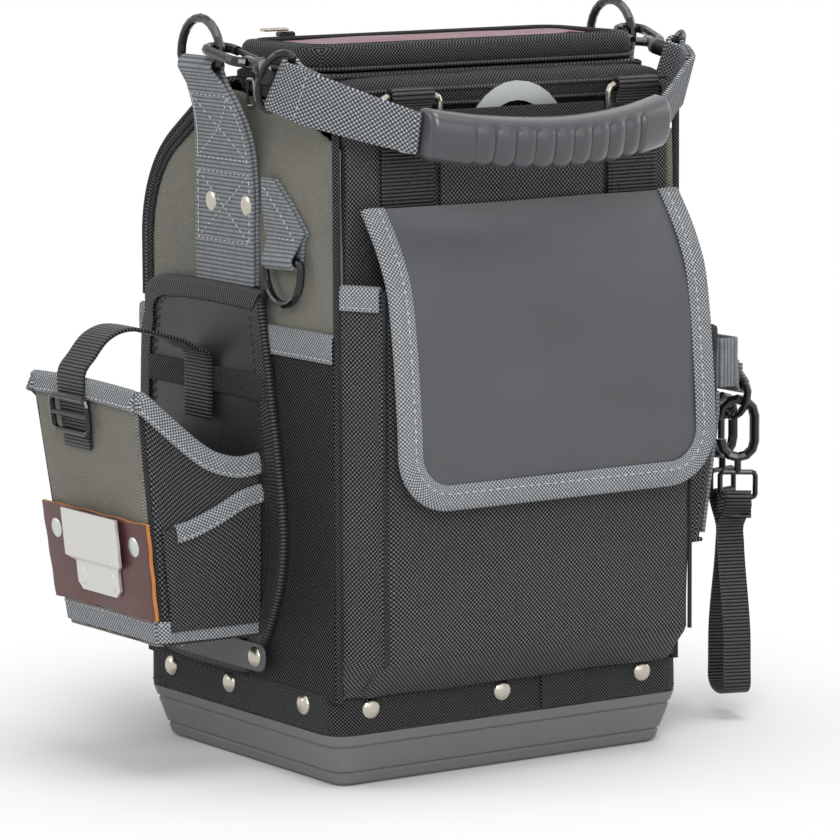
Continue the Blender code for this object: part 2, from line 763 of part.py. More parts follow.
def side_top(y):
    """Height of the crowned top edge of the side panels."""
    return CREST_Z - CREST_DROP * ((y - CREST_Y) / (CREST_Y + FRONT_Y)) ** 2


def door_stations():
    """Outer point (y, z) and inward normal at each station of the rear door's profile, from the bottom up."""
    centre = Vector((REAR_Y - DOOR_ARC_RADIUS, DOOR_ARC_Z))
    stations = [(Vector((REAR_Y, POCKET_LINE_Z + CLEAR)), Vector((-1.0, 0.0)))]
    steps = 7
    for i in range(steps + 1):
        angle = DOOR_TURN * i / steps
        normal = -Vector((math.cos(angle), math.sin(angle)))
        stations.append((centre - normal * DOOR_ARC_RADIUS, normal))
    point, normal = stations[-1]
    run = (point.x - DOOR_END_Y) / math.sin(DOOR_TURN)
    stations.append((point + run * Vector((-math.sin(DOOR_TURN), math.cos(DOOR_TURN))), normal))
    return stations


def side_outline():
    """Outline (y, z) of a side panel: front edge, crowned top, and the rear edge that the door's lip closes on."""
    inner = [point + normal * (DOOR_LIP + CLEAR) for point, normal in door_stations()]
    last = inner[-1]
    slope = math.cos(DOOR_TURN) / math.sin(DOOR_TURN)
    curve = CREST_DROP / (CREST_Y + FRONT_Y) ** 2
    rest = CREST_Z - last.y - slope * (last.x - CREST_Y)
    meet = CREST_Y + (slope - math.sqrt(slope ** 2 + 4 * curve * rest)) / (2 * curve)
    steps = 7
    top = [(-FRONT_Y + (meet + FRONT_Y) * i / steps) for i in range(steps + 1)]
    outline = [(-FRONT_Y, TUB_TOP_Z + CLEAR)]
    outline += [(y, side_top(y)) for y in top]
    outline += [tuple(point) for point in reversed(inner[1:-1])]
    outline += [(REAR_Y - DOOR_LIP - CLEAR, POCKET_LINE_Z), (REAR_Y, POCKET_LINE_Z), (REAR_FOOT_Y, TUB_TOP_Z + CLEAR)]
    return outline


def side_panel(name, sign):
    return settle(plate(name, [side_outline()], "side", sign * BODY_HALF_X, sign * (BODY_HALF_X - PANEL), khaki_fabric()))


def inner_half():
    """Half the width between the side panels, less the gap."""
    return BODY_HALF_X - PANEL - CLEAR


def front_panel():
    half, low = inner_half(), TUB_TOP_Z + CLEAR
    outline = [(half, low), (half, FRONT_TOP_Z - FRONT_CORNER)]
    outline += arc((half - FRONT_CORNER, FRONT_TOP_Z - FRONT_CORNER), FRONT_CORNER, 0.0, math.pi / 2, 4)[1:]
    outline += arc((-half + FRONT_CORNER, FRONT_TOP_Z - FRONT_CORNER), FRONT_CORNER, math.pi / 2, math.pi, 4)
    outline.append((-half, low))
    return settle(plate("front_panel", [outline], "front", -FRONT_Y, -FRONT_Y + PANEL, black_nylon()))


def rear_panel():
    low = TUB_TOP_Z + CLEAR
    outline = [(REAR_FOOT_Y - PANEL, low), (REAR_FOOT_Y, low), (REAR_Y, POCKET_LINE_Z), (REAR_Y - PANEL, POCKET_LINE_Z)]
    return settle(plate("rear_panel", [outline], "side", -inner_half(), inner_half(), black_nylon()))


def divider_panel():
    """The wall between the main and the rear compartment, narrowed at its foot to stand in the tub."""
    top = side_top(DIVIDER_Y) - CLEAR
    room = RIM_HALF_X - abs(RIM_CENTRE_X)
    foot = room - tub_inset(TUB_FLOOR) - TUB_WALL - 2 * CLEAR
    waist = min(room - TAPE - TUB_LEDGE - 3 * CLEAR, inner_half() - CLEAR)
    half, low, step = inner_half(), TUB_FLOOR + CLEAR, TUB_TOP_Z + CLEAR
    outline = [(-foot, low), (foot, low), (waist, step), (half, step), (half, top), (-half, top), (-half, step), (-waist, step)]
    return settle(plate("divider_panel", [outline], "front", DIVIDER_Y, DIVIDER_Y + DIVIDER, black_nylon()))


def side_pocket(name, sign):
    """The flat slip pocket over the lower part of a side."""
    foot, top = TUB_TOP_Z + CLEAR, POCKET_LINE_Z
    outline = [(-FRONT_Y, foot), (-FRONT_Y, top), (REAR_Y, top), (REAR_FOOT_Y, foot)]
    inner = BODY_HALF_X + CLEAR
    return settle(plate(name, [outline], "side", sign * inner, sign * (inner + SIDE_POCKET), black_nylon(), SIDE_POCKET / 4))


def mouth_band():
    """The gusset round the mouth: its foot follows the crowned top of the side panels."""
    outer = rounded_rectangle(-BAND_HALF_X, BAND_HALF_X, -BAND_FRONT_Y, BAND_BACK_Y, BAND_CORNER)
    outer = divided(outer, BAND_CORNER)
    inner = []
    for x, y in outer:
        inset_x = (BAND_HALF_X - BAND_WALL) / BAND_HALF_X
        middle, half = (BAND_BACK_Y - BAND_FRONT_Y) / 2, (BAND_BACK_Y + BAND_FRONT_Y) / 2
        inner.append((x * inset_x, middle + (y - middle) * (half - BAND_WALL) / half))
    top = LID_BOTTOM_Z - CLEAR
    foot = [[Vector((x, y, side_top(y) + CLEAR)) for x, y in outline] for outline in (outer, inner)]
    return settle(loft("mouth_band", [foot[0], lifted(outer, top), lifted(inner, top), foot[1]], black_nylon(), ring=True))


def collar_roll():
    """The padded roll on the top edge of the front panel."""
    centre_y = -FRONT_Y + CLEAR + COLLAR_DEPTH / 2
    centre_z = FRONT_TOP_Z + CLEAR + COLLAR_HEIGHT / 2
    loops = []
    stations = [(-COLLAR_HALF_X, 0.55), (-COLLAR_HALF_X + COLLAR_TAPER / 3, 0.85), (-COLLAR_HALF_X + COLLAR_TAPER, 1.0)]
    stations += [(-x, size) for x, size in reversed(stations)]
    for x, size in stations:
        half_y, half_z = COLLAR_DEPTH / 2 * size, COLLAR_HEIGHT / 2 * size
        section = rounded_rectangle(-half_y, half_y, -half_z, half_z, half_y * 0.75, 3)
        loops.append([Vector((x, centre_y + y, centre_z - COLLAR_HEIGHT / 2 * (1 - size) + z)) for y, z in section])
    return settle(loft("collar_roll", loops, black_webbing()))


def inner_pockets(name, low_y, high_y):
    """A row of open tool slots sewn to one wall of the main compartment."""
    half = inner_half() - INNER_SIDE_GAP
    middle = (low_y + high_y) / 2
    outlines = [[(-half, low_y), (half, low_y), (half, high_y), (-half, high_y)]]
    pitch = 2 * half / SLOT_COUNT
    for number in range(SLOT_COUNT):
        x = -half + pitch * (number + 0.5)
        outlines.append(rounded_rectangle(x - SLOT_WIDTH / 2, x + SLOT_WIDTH / 2, middle - SLOT_DEPTH / 2,
                                          middle + SLOT_DEPTH / 2, SLOT_DEPTH / 3, 2))
    return settle(plate(name, outlines, "plan", INNER_LOW_Z, INNER_HIGH_Z, black_nylon()))


def rear_door():
    """The rounded rear cover: a channel swept along the profile, with a lip down each side."""
    loops = []
    for point, normal in door_stations():
        section = [(BODY_HALF_X, 0.0), (BODY_HALF_X, DOOR_LIP), (BODY_HALF_X - DOOR_WALL, DOOR_LIP), (BODY_HALF_X - DOOR_WALL, DOOR_WALL),
                   (-BODY_HALF_X + DOOR_WALL, DOOR_WALL), (-BODY_HALF_X + DOOR_WALL, DOOR_LIP), (-BODY_HALF_X, DOOR_LIP), (-BODY_HALF_X, 0.0)]
        loops.append([Vector((x, point.x + normal.x * depth, point.y + normal.y * depth)) for x, depth in section])
    return settle(loft("rear_door", loops, black_nylon()), (0.0, REAR_Y, POCKET_LINE_Z))


def lid_origin():
    return (0.0, LID_BACK_Y + CLEAR, LID_BOTTOM_Z - CLEAR)


def lid_loop(inset, z):
    radius = max(LID_CORNER - inset, LID_CORNER / 4)
    return lifted(rounded_rectangle(-LID_HALF_X + inset, LID_HALF_X - inset, -LID_FRONT_Y + inset, LID_BACK_Y - inset, radius, 5), z)


def lid_rim():
    low, high = LID_BOTTOM_Z, LID_BOTTOM_Z + LID_HEIGHT
    profile = [(LID_ROUND, low), (0.0, low + LID_ROUND), (0.0, high - LID_ROUND), (LID_ROUND, high),
               (LID_RIM - LID_ROUND / 2, high), (LID_RIM, high - LID_ROUND / 2), (LID_RIM, low)]
    return settle(loft("lid_rim", [lid_loop(inset, z) for inset, z in profile], black_webbing(), ring=True), lid_origin())


def lid_panel():
    inset = LID_RIM + CLEAR
    high = LID_BOTTOM_Z + LID_HEIGHT - LID_ROUND / 2
    profile = [(inset, high - LID_PANEL), (inset, high), (inset + LID_CROWN_INSET, high + LID_CROWN)]
    return settle(loft("lid_panel", [lid_loop(inset_at, z) for inset_at, z in profile], burgundy_vinyl()), lid_origin())


def zip_slider(name, base, along, up, origin=None):
    """The body of a zip slider with its bridge, lying on a face."""
    base, along, up = Vector(base), Vector(along).normalized(), Vector(up).normalized()
    across = up.cross(along)
    frame = Matrix((along, across, up)).transposed().to_4x4()
    frame.translation = base
    section = rounded_rectangle(-SLIDER_LENGTH / 2, SLIDER_LENGTH / 2, -SLIDER_WIDTH / 2, SLIDER_WIDTH / 2, SLIDER_WIDTH / 4, 2)
    loops = [[frame @ Vector((u * size, v * size, h)) for u, v in section] for size, h in ((1.0, 0.0), (1.0, SLIDER_HEIGHT * 0.7), (0.8, SLIDER_HEIGHT))]
    return settle(loft(name, loops, nickel()), origin)


def pull_tab(name, base, along, up):
    """The wire loop of a zip pull, lying along the slider, with its origin on its hinge."""
    base, along, up = Vector(base), Vector(along).normalized(), Vector(up).normalized()
    across = up.cross(along)
    height = SLIDER_HEIGHT + CLEAR + PULL_WIRE + PULL_LIFT
    corner = PULL_WIDTH / 4
    outline = rounded_rectangle(0.0, PULL_LENGTH, -PULL_WIDTH / 2, PULL_WIDTH / 2, corner, 3)
    points = [base + along * u + across * v + up * (height - PULL_LIFT * u / PULL_LENGTH) for u, v in outline]
    return settle(wire(name, points, PULL_WIRE, nickel(), closed=True, sides=1), base + up * height)


# Front bellows pocket and flap

def pocket_loop(z, depth, inner_depth, crown):
    """One level of the bellows pocket: the outer path round the front, then the inner path back."""
    def path(back_half, front_half, reach, corner, bulge):
        steps = 6
        right = arc((POCKET_SHIFT + front_half - corner, -reach + corner), corner, -math.pi / 2, 0.0, 3)
        front = []
        for i in range(1, steps):
            x = -(front_half - corner) + 2 * (front_half - corner) * i / steps
            front.append((POCKET_SHIFT + x, -reach - bulge * math.cos(math.pi * x / (2 * front_half))))
        left = [(2 * POCKET_SHIFT - x, y) for x, y in reversed(right)]
        return [(-back_half, 0.0)] + left + front + right + [(back_half, 0.0)]

    corner = min(POCKET_CORNER, depth * 0.6)
    outer = path(POCKET_BACK_HALF, POCKET_FRONT_HALF, depth, corner, crown)
    inner_corner = min(POCKET_CORNER - POCKET_WALL / 2, inner_depth * 0.6)
    inner = path(POCKET_BACK_HALF - POCKET_WALL, POCKET_FRONT_HALF - POCKET_WALL, inner_depth, inner_corner, crown)
    level = outer + list(reversed(inner))
    return [Vector((x, -FRONT_Y - CLEAR + y, z)) for x, y in level]


def front_pocket():
    thin = POCKET_FOOT_DEPTH - POCKET_WALL * 0.8
    loops = [pocket_loop(POCKET_FOOT_Z, POCKET_FOOT_DEPTH, thin, 0.0)]
    for i in range(POCKET_ROWS + 1):
        share = i / POCKET_ROWS
        z = POCKET_SLOPE_Z + (POCKET_TOP_Z - POCKET_SLOPE_Z) * share
        loops.append(pocket_loop(z, POCKET_DEPTH, POCKET_DEPTH - POCKET_WALL, POCKET_CROWN * math.sin(math.pi * share)))
    return settle(loft("front_pocket", loops, black_nylon()))


def flap_face_y():
    """Where the flap's back lies at its top edge: against the slot pocket."""
    return -FRONT_Y - CLEAR - STEEL_RING_THICKNESS - CLEAR - SLOT_POCKET_DEPTH - CLEAR


def flap_path():
    """The flap's outer profile (y, z), from its top edge down."""
    top_y = flap_face_y() - FLAP_THICKNESS
    points = [Vector((top_y - FLAP_OUT * out, FLAP_TOP_Z - FLAP_DROP * down)) for out, down in FLAP_PROFILE_SHARES]
    return smooth_path(points, 3)


def along_path(path, distance):
    """The point at a distance along a path, carried on straight past its end."""
    for first, second in zip(path, path[1:]):
        step = (second - first).length
        if distance <= step or second is path[-1]:
            return first + (second - first) * distance / step
        distance -= step
    return path[-1]


def path_length(path):
    return sum((b - a).length for a, b in zip(path, path[1:]))


def flap_point(path, x, distance):
    point = along_path(path, distance)
    return Vector((FLAP_SHIFT + x, point.x, point.y))


def flap_edge(length, inset):
    """Points (x, distance) of the flap's edge from top left round to top right, set in by inset."""
    half, end, radius = FLAP_HALF_X - inset, length - inset, FLAP_CORNER - inset
    straight = length - FLAP_CORNER
    points = [(-half, straight * i / 9) for i in range(9)]
    points += [(-half + radius - radius * math.cos(a), end - radius + radius * math.sin(a)) for a in [math.pi / 2 * i / 6 for i in range(7)]]
    points += [(-FLAP_HALF_X / 3, end)]
    return points + [(-x, distance) for x, distance in reversed(points)]


def flap():
    """The coated flap, ruled across between the two sides of its edge."""
    path = flap_path()
    edge = flap_edge(path_length(path), FLAP_BINDING + CLEAR)
    columns = 6
    rows = []
    for x, distance in edge[:len(edge) // 2 - 1]:
        rows.append([flap_point(path, x - 2 * x * i / columns, distance) for i in range(columns + 1)])
    made = sheet("flap", rows, FLAP_THICKNESS, coated_fabric(), side=1.0)
    return settle(made, (0.0, flap_face_y(), FLAP_TOP_Z))


def flap_binding():
    """The webbing that edges the flap down both sides and along its bottom."""
    path = flap_path()
    length = path_length(path)
    inner, outer = flap_edge(length, FLAP_BINDING), flap_edge(length, 0.0)
    rows = [[flap_point(path, *a), flap_point(path, *b)] for a, b in zip(inner, outer)]
    made = sheet("flap_binding", rows, FLAP_BINDING_THICKNESS, grey_webbing(), side=0.4)
    return settle(made, (0.0, flap_face_y(), FLAP_TOP_Z))


# Straps, rings and steel ring on the front

def front_strap(name, x):
    """A webbing strap on the front panel, folded at its top round the bar of a ring."""
    face = -FRONT_Y - CLEAR - FRONT_WEB / 2
    radius = FRONT_WIRE + LAYER_GAP + FRONT_WEB / 2
    bar = (x, face - radius, FRONT_BAR_Z)
    folded = fold(bar, (0, 0, 1), (0, 1, 0), FRONT_WIRE, FRONT_WEB, 0.0, SEWN_WRAP)
    back = [Vector((x, face, FRONT_STRAP_FOOT_Z)), Vector((x, face, FRONT_BAR_Z - 2 * radius))]
    spine = back + folded[1:-1] + [Vector((x, face - FRONT_WEB - LAYER_GAP, FRONT_BAR_Z - 2 * radius)),
                                   Vector((x, face - FRONT_WEB - LAYER_GAP, FRONT_BAR_Z - 3 * radius))]
    widths = [FRONT_STRAP_WIDTH, FRONT_STRAP_WIDTH] + [FRONT_STRAP_FOLD] * (len(spine) - 2)
    return settle(ribbon(name, spine, (1, 0, 0), widths, FRONT_WEB, black_webbing()))


def front_ring(name, x):
    radius = FRONT_WIRE + LAYER_GAP + FRONT_WEB / 2
    y = -FRONT_Y - CLEAR - FRONT_WEB / 2 - radius
    centre = (x, y, FRONT_BAR_Z - FRONT_RING_LEG)
    path = d_ring_path(centre, (1, 0, 0), (0, 0, -1), FRONT_RING_HALF, FRONT_RING_LEG, 2 * FRONT_WIRE, 8)
    return settle(wire(name, path, FRONT_WIRE, nickel(), closed=True), (x, y, FRONT_BAR_Z))


def slot_pocket():
    """The flat pocket that the steel ring stands in, between the two straps."""
    room = FRONT_RING_HALF + FRONT_WIRE + 2 * CLEAR
    left = -FRONT_STRAP_X + FRONT_STRAP_SHIFT + room
    right = FRONT_STRAP_X + FRONT_STRAP_SHIFT - room
    back = -FRONT_Y - CLEAR
    front = flap_face_y() + CLEAR
    made = box("slot_pocket", (left, front, SLOT_POCKET_FOOT_Z), (right, back, SLOT_POCKET_TOP_Z), black_nylon())
    reach = STEEL_RING_RADIUS + SLOT_POCKET_MARGIN
    low = STEEL_RING_Z - STEEL_RING_RADIUS - CLEAR
    cutter = box("steel_ring_room", (STEEL_RING_X - reach, front + SLOT_POCKET_DEPTH, low),
                 (STEEL_RING_X + reach, back + PANEL, SLOT_POCKET_TOP_Z + PANEL), None, group=CUTTERS)
    return settle(cut(made, cutter))


def steel_ring():
    """The flat steel ring that slides up out of the slot pocket."""
    back = -FRONT_Y - CLEAR
    steps = 28
    centre = (STEEL_RING_X, STEEL_RING_Z)
    loops = []
    for radius, y in ((STEEL_RING_RADIUS, back), (STEEL_RING_RADIUS, back - STEEL_RING_THICKNESS),
                      (STEEL_RING_BORE, back - STEEL_RING_THICKNESS), (STEEL_RING_BORE, back)):
        loops.append([Vector((x, y, z)) for x, z in arc(centre, radius, 0.0, 2 * math.pi, steps)[:-1]])
    return settle(loft("steel_ring", loops, brushed_steel(), ring=True), (STEEL_RING_X, back, STEEL_RING_Z))


# Side straps, standing rings, snap hooks and handle

def ring_x(sign):
    """How far the standing ring of a side stands out from the middle."""
    return BODY_HALF_X + (RING_OUT if sign < 0 else RIGHT_RING_OUT)


def side_strap(name, sign):
    """The wide strap up the side: it leans out, narrows and folds over the bar of the standing ring."""
    bar_z = RING_Z - RING_LEG
    foot_x = BODY_HALF_X + CLEAR + WEB + LAYER_GAP / 2
    foot_z = HOLSTER_BACK_LOW_Z + HOLSTER_BACK_HEIGHT + STRAP_FOOT_GAP
    rise = bar_z - STRAP_TOP_GAP - foot_z
    stretch = 1 + (ring_x(sign) - ring_x(-1)) / STRAP_STATIONS[-1][1]
    middle = [Vector((foot_x + lean * stretch, foot_z + rise * share)) for share, lean, _, _ in STRAP_STATIONS]
    edges = [(near, far) for _, _, near, far in STRAP_STATIONS]
    legs = []
    for side in (1, -1):
        leg = []
        for i, point in enumerate(middle):
            near, far = middle[max(i - 1, 0)], middle[min(i + 1, len(middle) - 1)]
            along = (far - near).normalized()
            normal = Vector((along.y, -along.x)) * side * (WEB + LAYER_GAP) / 2
            leg.append([Vector((sign * (point.x + normal.x), y, point.y + normal.y)) for y in edges[i]])
        legs.append(leg)
    tip = fold((sign * ring_x(sign), RING_Y, bar_z), (0, 0, 1), (sign, 0, 0), RING_WIRE, WEB)[1:-1]
    half = Vector((0.0, STRAP_TOP_WIDTH / 2, 0.0))
    rows = legs[0] + [[point - half, point + half] for point in tip] + list(reversed(legs[1]))
    made = sheet(name, rows, WEB, grey_webbing())
    rivets = []
    face = sign * (foot_x + WEB + LAYER_GAP / 2)
    for spread in (-STRAP_RIVET_SPREAD, STRAP_RIVET_SPREAD):
        centre = (face, STRAP_CENTRE_Y - WEB / 2 + spread, foot_z + rise * STRAP_RIVET_SHARE)
        rivets.append(dome("strap_rivet", centre, (sign, 0, 0), RIVET_RADIUS, STRAP_RIVET_DOME, WEB * 1.5))
    return settle(join(made, rivets))


def standing_ring(name, sign):
    centre = (sign * ring_x(sign), RING_Y, RING_Z)
    path = d_ring_path(centre, (0, 1, 0), (0, 0, 1), RING_HALF, RING_LEG, 2 * RING_WIRE, 12)
    return settle(wire(name, path, RING_WIRE, gunmetal(), closed=True), (sign * ring_x(sign), RING_Y, RING_Z - RING_LEG))


def upright_frame(sign):
    """Matrix from (reach, x, lift) to the world: reach runs out of the rings' axis, lift is square to it."""
    out = Vector((0.0, -math.cos(HOOK_TILT), -math.sin(HOOK_TILT)))
    lift = Vector((0.0, -math.sin(HOOK_TILT), math.cos(HOOK_TILT)))
    frame = Matrix((out, (sign, 0, 0), lift)).transposed().to_4x4()
    frame.translation = (sign * ring_x(sign), RING_Y, RING_Z)
    return frame


def handle_lean(sign, share=1.0):
    """The turn of a side's hook towards the middle, about the place where it holds the ring."""
    turn = Matrix.Rotation(-RIGHT_LEAN * share if sign > 0 else 0.0, 4, "Z")
    pivot = Matrix.Translation((LEAN_PIVOT, 0.0, 0.0))
    return pivot @ turn @ pivot.inverted()


def handle_frame(sign):
    return upright_frame(sign) @ handle_lean(sign)


def swivel_origin(sign):
    return tuple(handle_frame(sign) @ Vector((HOOK_NECK + HOOK_BLOCK, 0.0, HOOK_OFFSET)))


def snap_hook(name, sign):
    """The snap hook: a bent wire from its nose round the tip to the neck block, which holds the gate's hinge."""
    frame = handle_frame(sign)
    radius = HOOK_HALF
    tip = HOOK_TIP + HOOK_WIRE + radius
    flat = [(HOOK_NOSE, -radius)] + arc((tip, 0.0), radius, 1.5 * math.pi, 0.5 * math.pi, 8)
    flat += [(GATE_PIVOT - HOOK_WIRE, radius)]
    flat += arc((GATE_PIVOT - HOOK_WIRE, 0.0), radius, math.pi / 2, math.pi / 8, 3)[1:]
    points = [frame @ Vector((u, v, HOOK_OFFSET)) for u, v in flat]
    made = wire(name, points, HOOK_WIRE, gunmetal())
    section = rounded_rectangle(-HOOK_WIRE, HOOK_WIRE, -HOOK_WIRE, HOOK_WIRE, HOOK_WIRE / 2, 2)
    neck = []
    for u, half in ((HOOK_NECK - 2 * HOOK_WIRE, 1.0), (HOOK_NECK, 1.0), (HOOK_NECK + HOOK_BLOCK, 0.7)):
        neck.append([frame @ Vector((u, a * half * 1.1, HOOK_OFFSET + b * half)) for a, b in section])
    block = loft("neck", neck, gunmetal(), group=CUTTERS)
    hinge_points = [frame @ Vector((u, v, HOOK_OFFSET)) for u, v in ((HOOK_NECK, 0.0), (GATE_PIVOT + GATE_WIRE + HOOK_WIRE, -radius))]
    bracket = rod("hinge_arm", hinge_points[0], hinge_points[1], HOOK_WIRE * 0.9, gunmetal())
    return settle(join(made, [block, bracket]), swivel_origin(sign))


def snap_gate(name, sign):
    """The gate's spring bar, with its origin on its hinge."""
    frame = handle_frame(sign)
    ends = [(GATE_PIVOT, -HOOK_HALF), (HOOK_NOSE + CLEAR, -HOOK_HALF)]
    points = [frame @ Vector((u, v, HOOK_OFFSET)) for u, v in ends]
    middle = (points[0] + points[1]) / 2
    return settle(wire(name, [points[0], middle, points[1]], GATE_WIRE, gunmetal()), points[0])


def eye_axes():
    """The eye's bar, the way from the bar square to it towards the hook, and the bar's middle, all as (reach, x, lift)."""
    along = Vector((math.sin(EYE_LEAN), 0.0, math.cos(EYE_LEAN)))
    back = Vector((-math.cos(EYE_LEAN), 0.0, math.sin(EYE_LEAN)))
    return along, back, Vector((EYE_REACH, 0.0, HOOK_OFFSET - EYE_DROP))


def snap_eye(name, sign):
    """The swivel barrel and the D-shaped eye that the handle's webbing goes through."""
    frame = handle_frame(sign)
    along, back, bar = eye_axes()
    out = back * math.cos(EYE_TURN) + Vector((0.0, math.sin(EYE_TURN), 0.0))
    start = HOOK_NECK + HOOK_BLOCK + CLEAR
    apex = bar + out * (EYE_LEG + EYE_HALF * EYE_RISE_SHARE)
    shaft = [Vector((start, 0.0, HOOK_OFFSET)), Vector((start + BARREL_LENGTH, 0.0, HOOK_OFFSET)), apex - out * EYE_WIRE]
    made = wire(name, [frame @ point for point in shaft], BARREL_RADIUS, gunmetal())
    path = d_ring_path(bar + out * EYE_LEG, along, out, EYE_HALF, EYE_LEG, EYE_WIRE * 1.3, 10, EYE_RISE_SHARE)
    ring = wire("eye", [frame @ point for point in path], EYE_WIRE, gunmetal(), closed=True, group=CUTTERS)
    return settle(join(made, [ring]))


def grip_axis(x):
    """Reach and lift of the grip's centre line at a distance from its middle."""
    share = x / GRIP_HALF
    return GRIP_REACH + GRIP_SAG * (1 - share * share), -GRIP_DROP - GRIP_DIP * (1 - share * share)


def handle_web(name, sign):
    """The webbing from the eye, where it is folded and sewn, to the end of the grip, untwisting on its way."""
    frame = upright_frame(sign)
    lean_in = handle_lean(sign)
    along, back, bar = eye_axes()
    reach, lift = grip_axis(GRIP_HALF)
    end = Vector((reach, sign * (sign * GRIP_HALF - GRIP_SHIFT) - ring_x(sign) + CLEAR + HANDLE_WEB / 8, lift))
    leg = (HANDLE_WEB + LAYER_GAP) / 2
    half = along * HANDLE_WEB_WIDTH / 2
    tip = fold(bar, back, (0, -1, 0), EYE_WIRE, HANDLE_WEB)[1:-1]
    rows = [[lean_in @ (point - half), lean_in @ (point + half)] for point in tip]
    tail = []
    bar = lean_in @ bar
    for run, turn, fall, lean in HANDLE_WEB_SHARES:
        way = (end.x - bar.x, end.y - bar.y, end.z - bar.z)
        middle = bar + Vector((way[0] * run, way[1] * turn, way[2] * fall))
        width = HANDLE_WEB_WIDTH + (HANDLE_WEB_END_WIDTH - HANDLE_WEB_WIDTH) * fall
        angle = EYE_LEAN * lean
        turned = handle_lean(sign, lean).to_3x3()
        across = turned @ Vector((math.sin(angle), 0.0, math.cos(angle))) * width / 2
        side = turned @ Vector((0.0, leg * (1 - turn), 0.0))
        rows.append([middle + side - across, middle + side + across])
        if run < HANDLE_TAIL_SHARE:
            tail.insert(0, [middle - side - across, middle - side + across])
    rows = [[frame @ point for point in row] for row in tail + rows]
    return settle(sheet(name, rows, HANDLE_WEB, grey_webbing()), (0.0, RING_Y, RING_Z))


def handle_grip():
    """The moulded rubber grip: bowed outwards, with a recessed finger zone of raised ribs."""
    frame = upright_frame(1)
    frame.translation = (-GRIP_SHIFT, RING_Y, RING_Z)
    sides = 16
    zone = GRIP_HALF * GRIP_RIB_SHARE
    pitch = 2 * zone / GRIP_RIBS
    stations = [(-GRIP_HALF, 1), (-GRIP_HALF + GRIP_ROUND, 0), (-zone - pitch * 0.2, 0)]
    for rib in range(GRIP_RIBS):
        start = -zone + pitch * rib
        stations += [(start + pitch * 0.08, 2), (start + pitch * 0.42, 2), (start + pitch * 0.50, 3), (start + pitch * 0.92, 3)]
    stations += [(zone + pitch * 0.2, 0), (GRIP_HALF - GRIP_ROUND, 0), (GRIP_HALF, 1)]
    loops = []
    for x, kind in stations:
        reach, lift = grip_axis(x)
        loop = []
        for i in range(sides):
            angle = 2 * math.pi * i / sides
            c, s = math.cos(angle), math.sin(angle)
            front = max(0.0, min(1.0, (0.35 + c - 0.9 * s)))
            depth = {0: 0.0, 1: GRIP_ROUND, 2: GRIP_RECESS * front, 3: GRIP_RECESS * 0.35 * front}[kind]
            power = 0.75
            a = (GRIP_THICKNESS / 2 - depth) * math.copysign(abs(c) ** power, c)
            b = (GRIP_HEIGHT / 2 - depth) * math.copysign(abs(s) ** power, s)
            loop.append(frame @ Vector((reach + a, x, lift + b)))
        loops.append(loop)
    return settle(loft("handle_grip", loops, rubber()), (0.0, RING_Y, RING_Z))


# Side ring on its tab

def tab_directions():
    down = Vector((0.0, -math.sin(TAB_TILT), -math.cos(TAB_TILT)))
    along = Vector((0.0, math.cos(TAB_TILT), -math.sin(TAB_TILT)))
    return down, along


def tab_face_x():
    return -BODY_HALF_X - CLEAR - WEB / 2


def side_ring_bar():
    radius = SIDE_RING_WIRE + LAYER_GAP + WEB / 2
    return Vector((tab_face_x() - radius, -TAB_CENTRE_Y, HOLSTER_BACK_LOW_Z + HOLSTER_BACK_HEIGHT + TAB_RISE))


def ring_tab():
    """The webbing tab, folded round the bar of the side ring, with both layers cut to a slanted top."""
    down, along = tab_directions()
    bar = side_ring_bar()
    half = along * TAB_WIDTH / 2
    tip = fold(bar, down, (1, 0, 0), SIDE_RING_WIRE, WEB, 0.0, SEWN_WRAP)[1:-1]
    legs = []
    for face in (tab_face_x(), tab_face_x() - WEB - LAYER_GAP):
        legs.append([[Vector((face, near, bar.z + rise)), Vector((face, far, bar.z + rise))] for rise, near, far in TAB_STATIONS])
    rows = legs[0] + [[point - half, point + half] for point in tip] + list(reversed(legs[1]))
    return settle(sheet("ring_tab", rows, WEB, grey_webbing()))


def side_ring():
    down, along = tab_directions()
    bar = side_ring_bar()
    path = d_ring_path(bar + down * SIDE_RING_LEG, along, down, SIDE_RING_HALF, SIDE_RING_LEG, 1.5 * SIDE_RING_WIRE, 10)
    return settle(wire("side_ring", path, SIDE_RING_WIRE, gunmetal(), closed=True), bar)


# Holster on the left side

def holster_face_x():
    """The outer face of the holster's backing panel."""
    return -BODY_HALF_X - CLEAR - SIDE_POCKET - CLEAR - HOLSTER_BACK


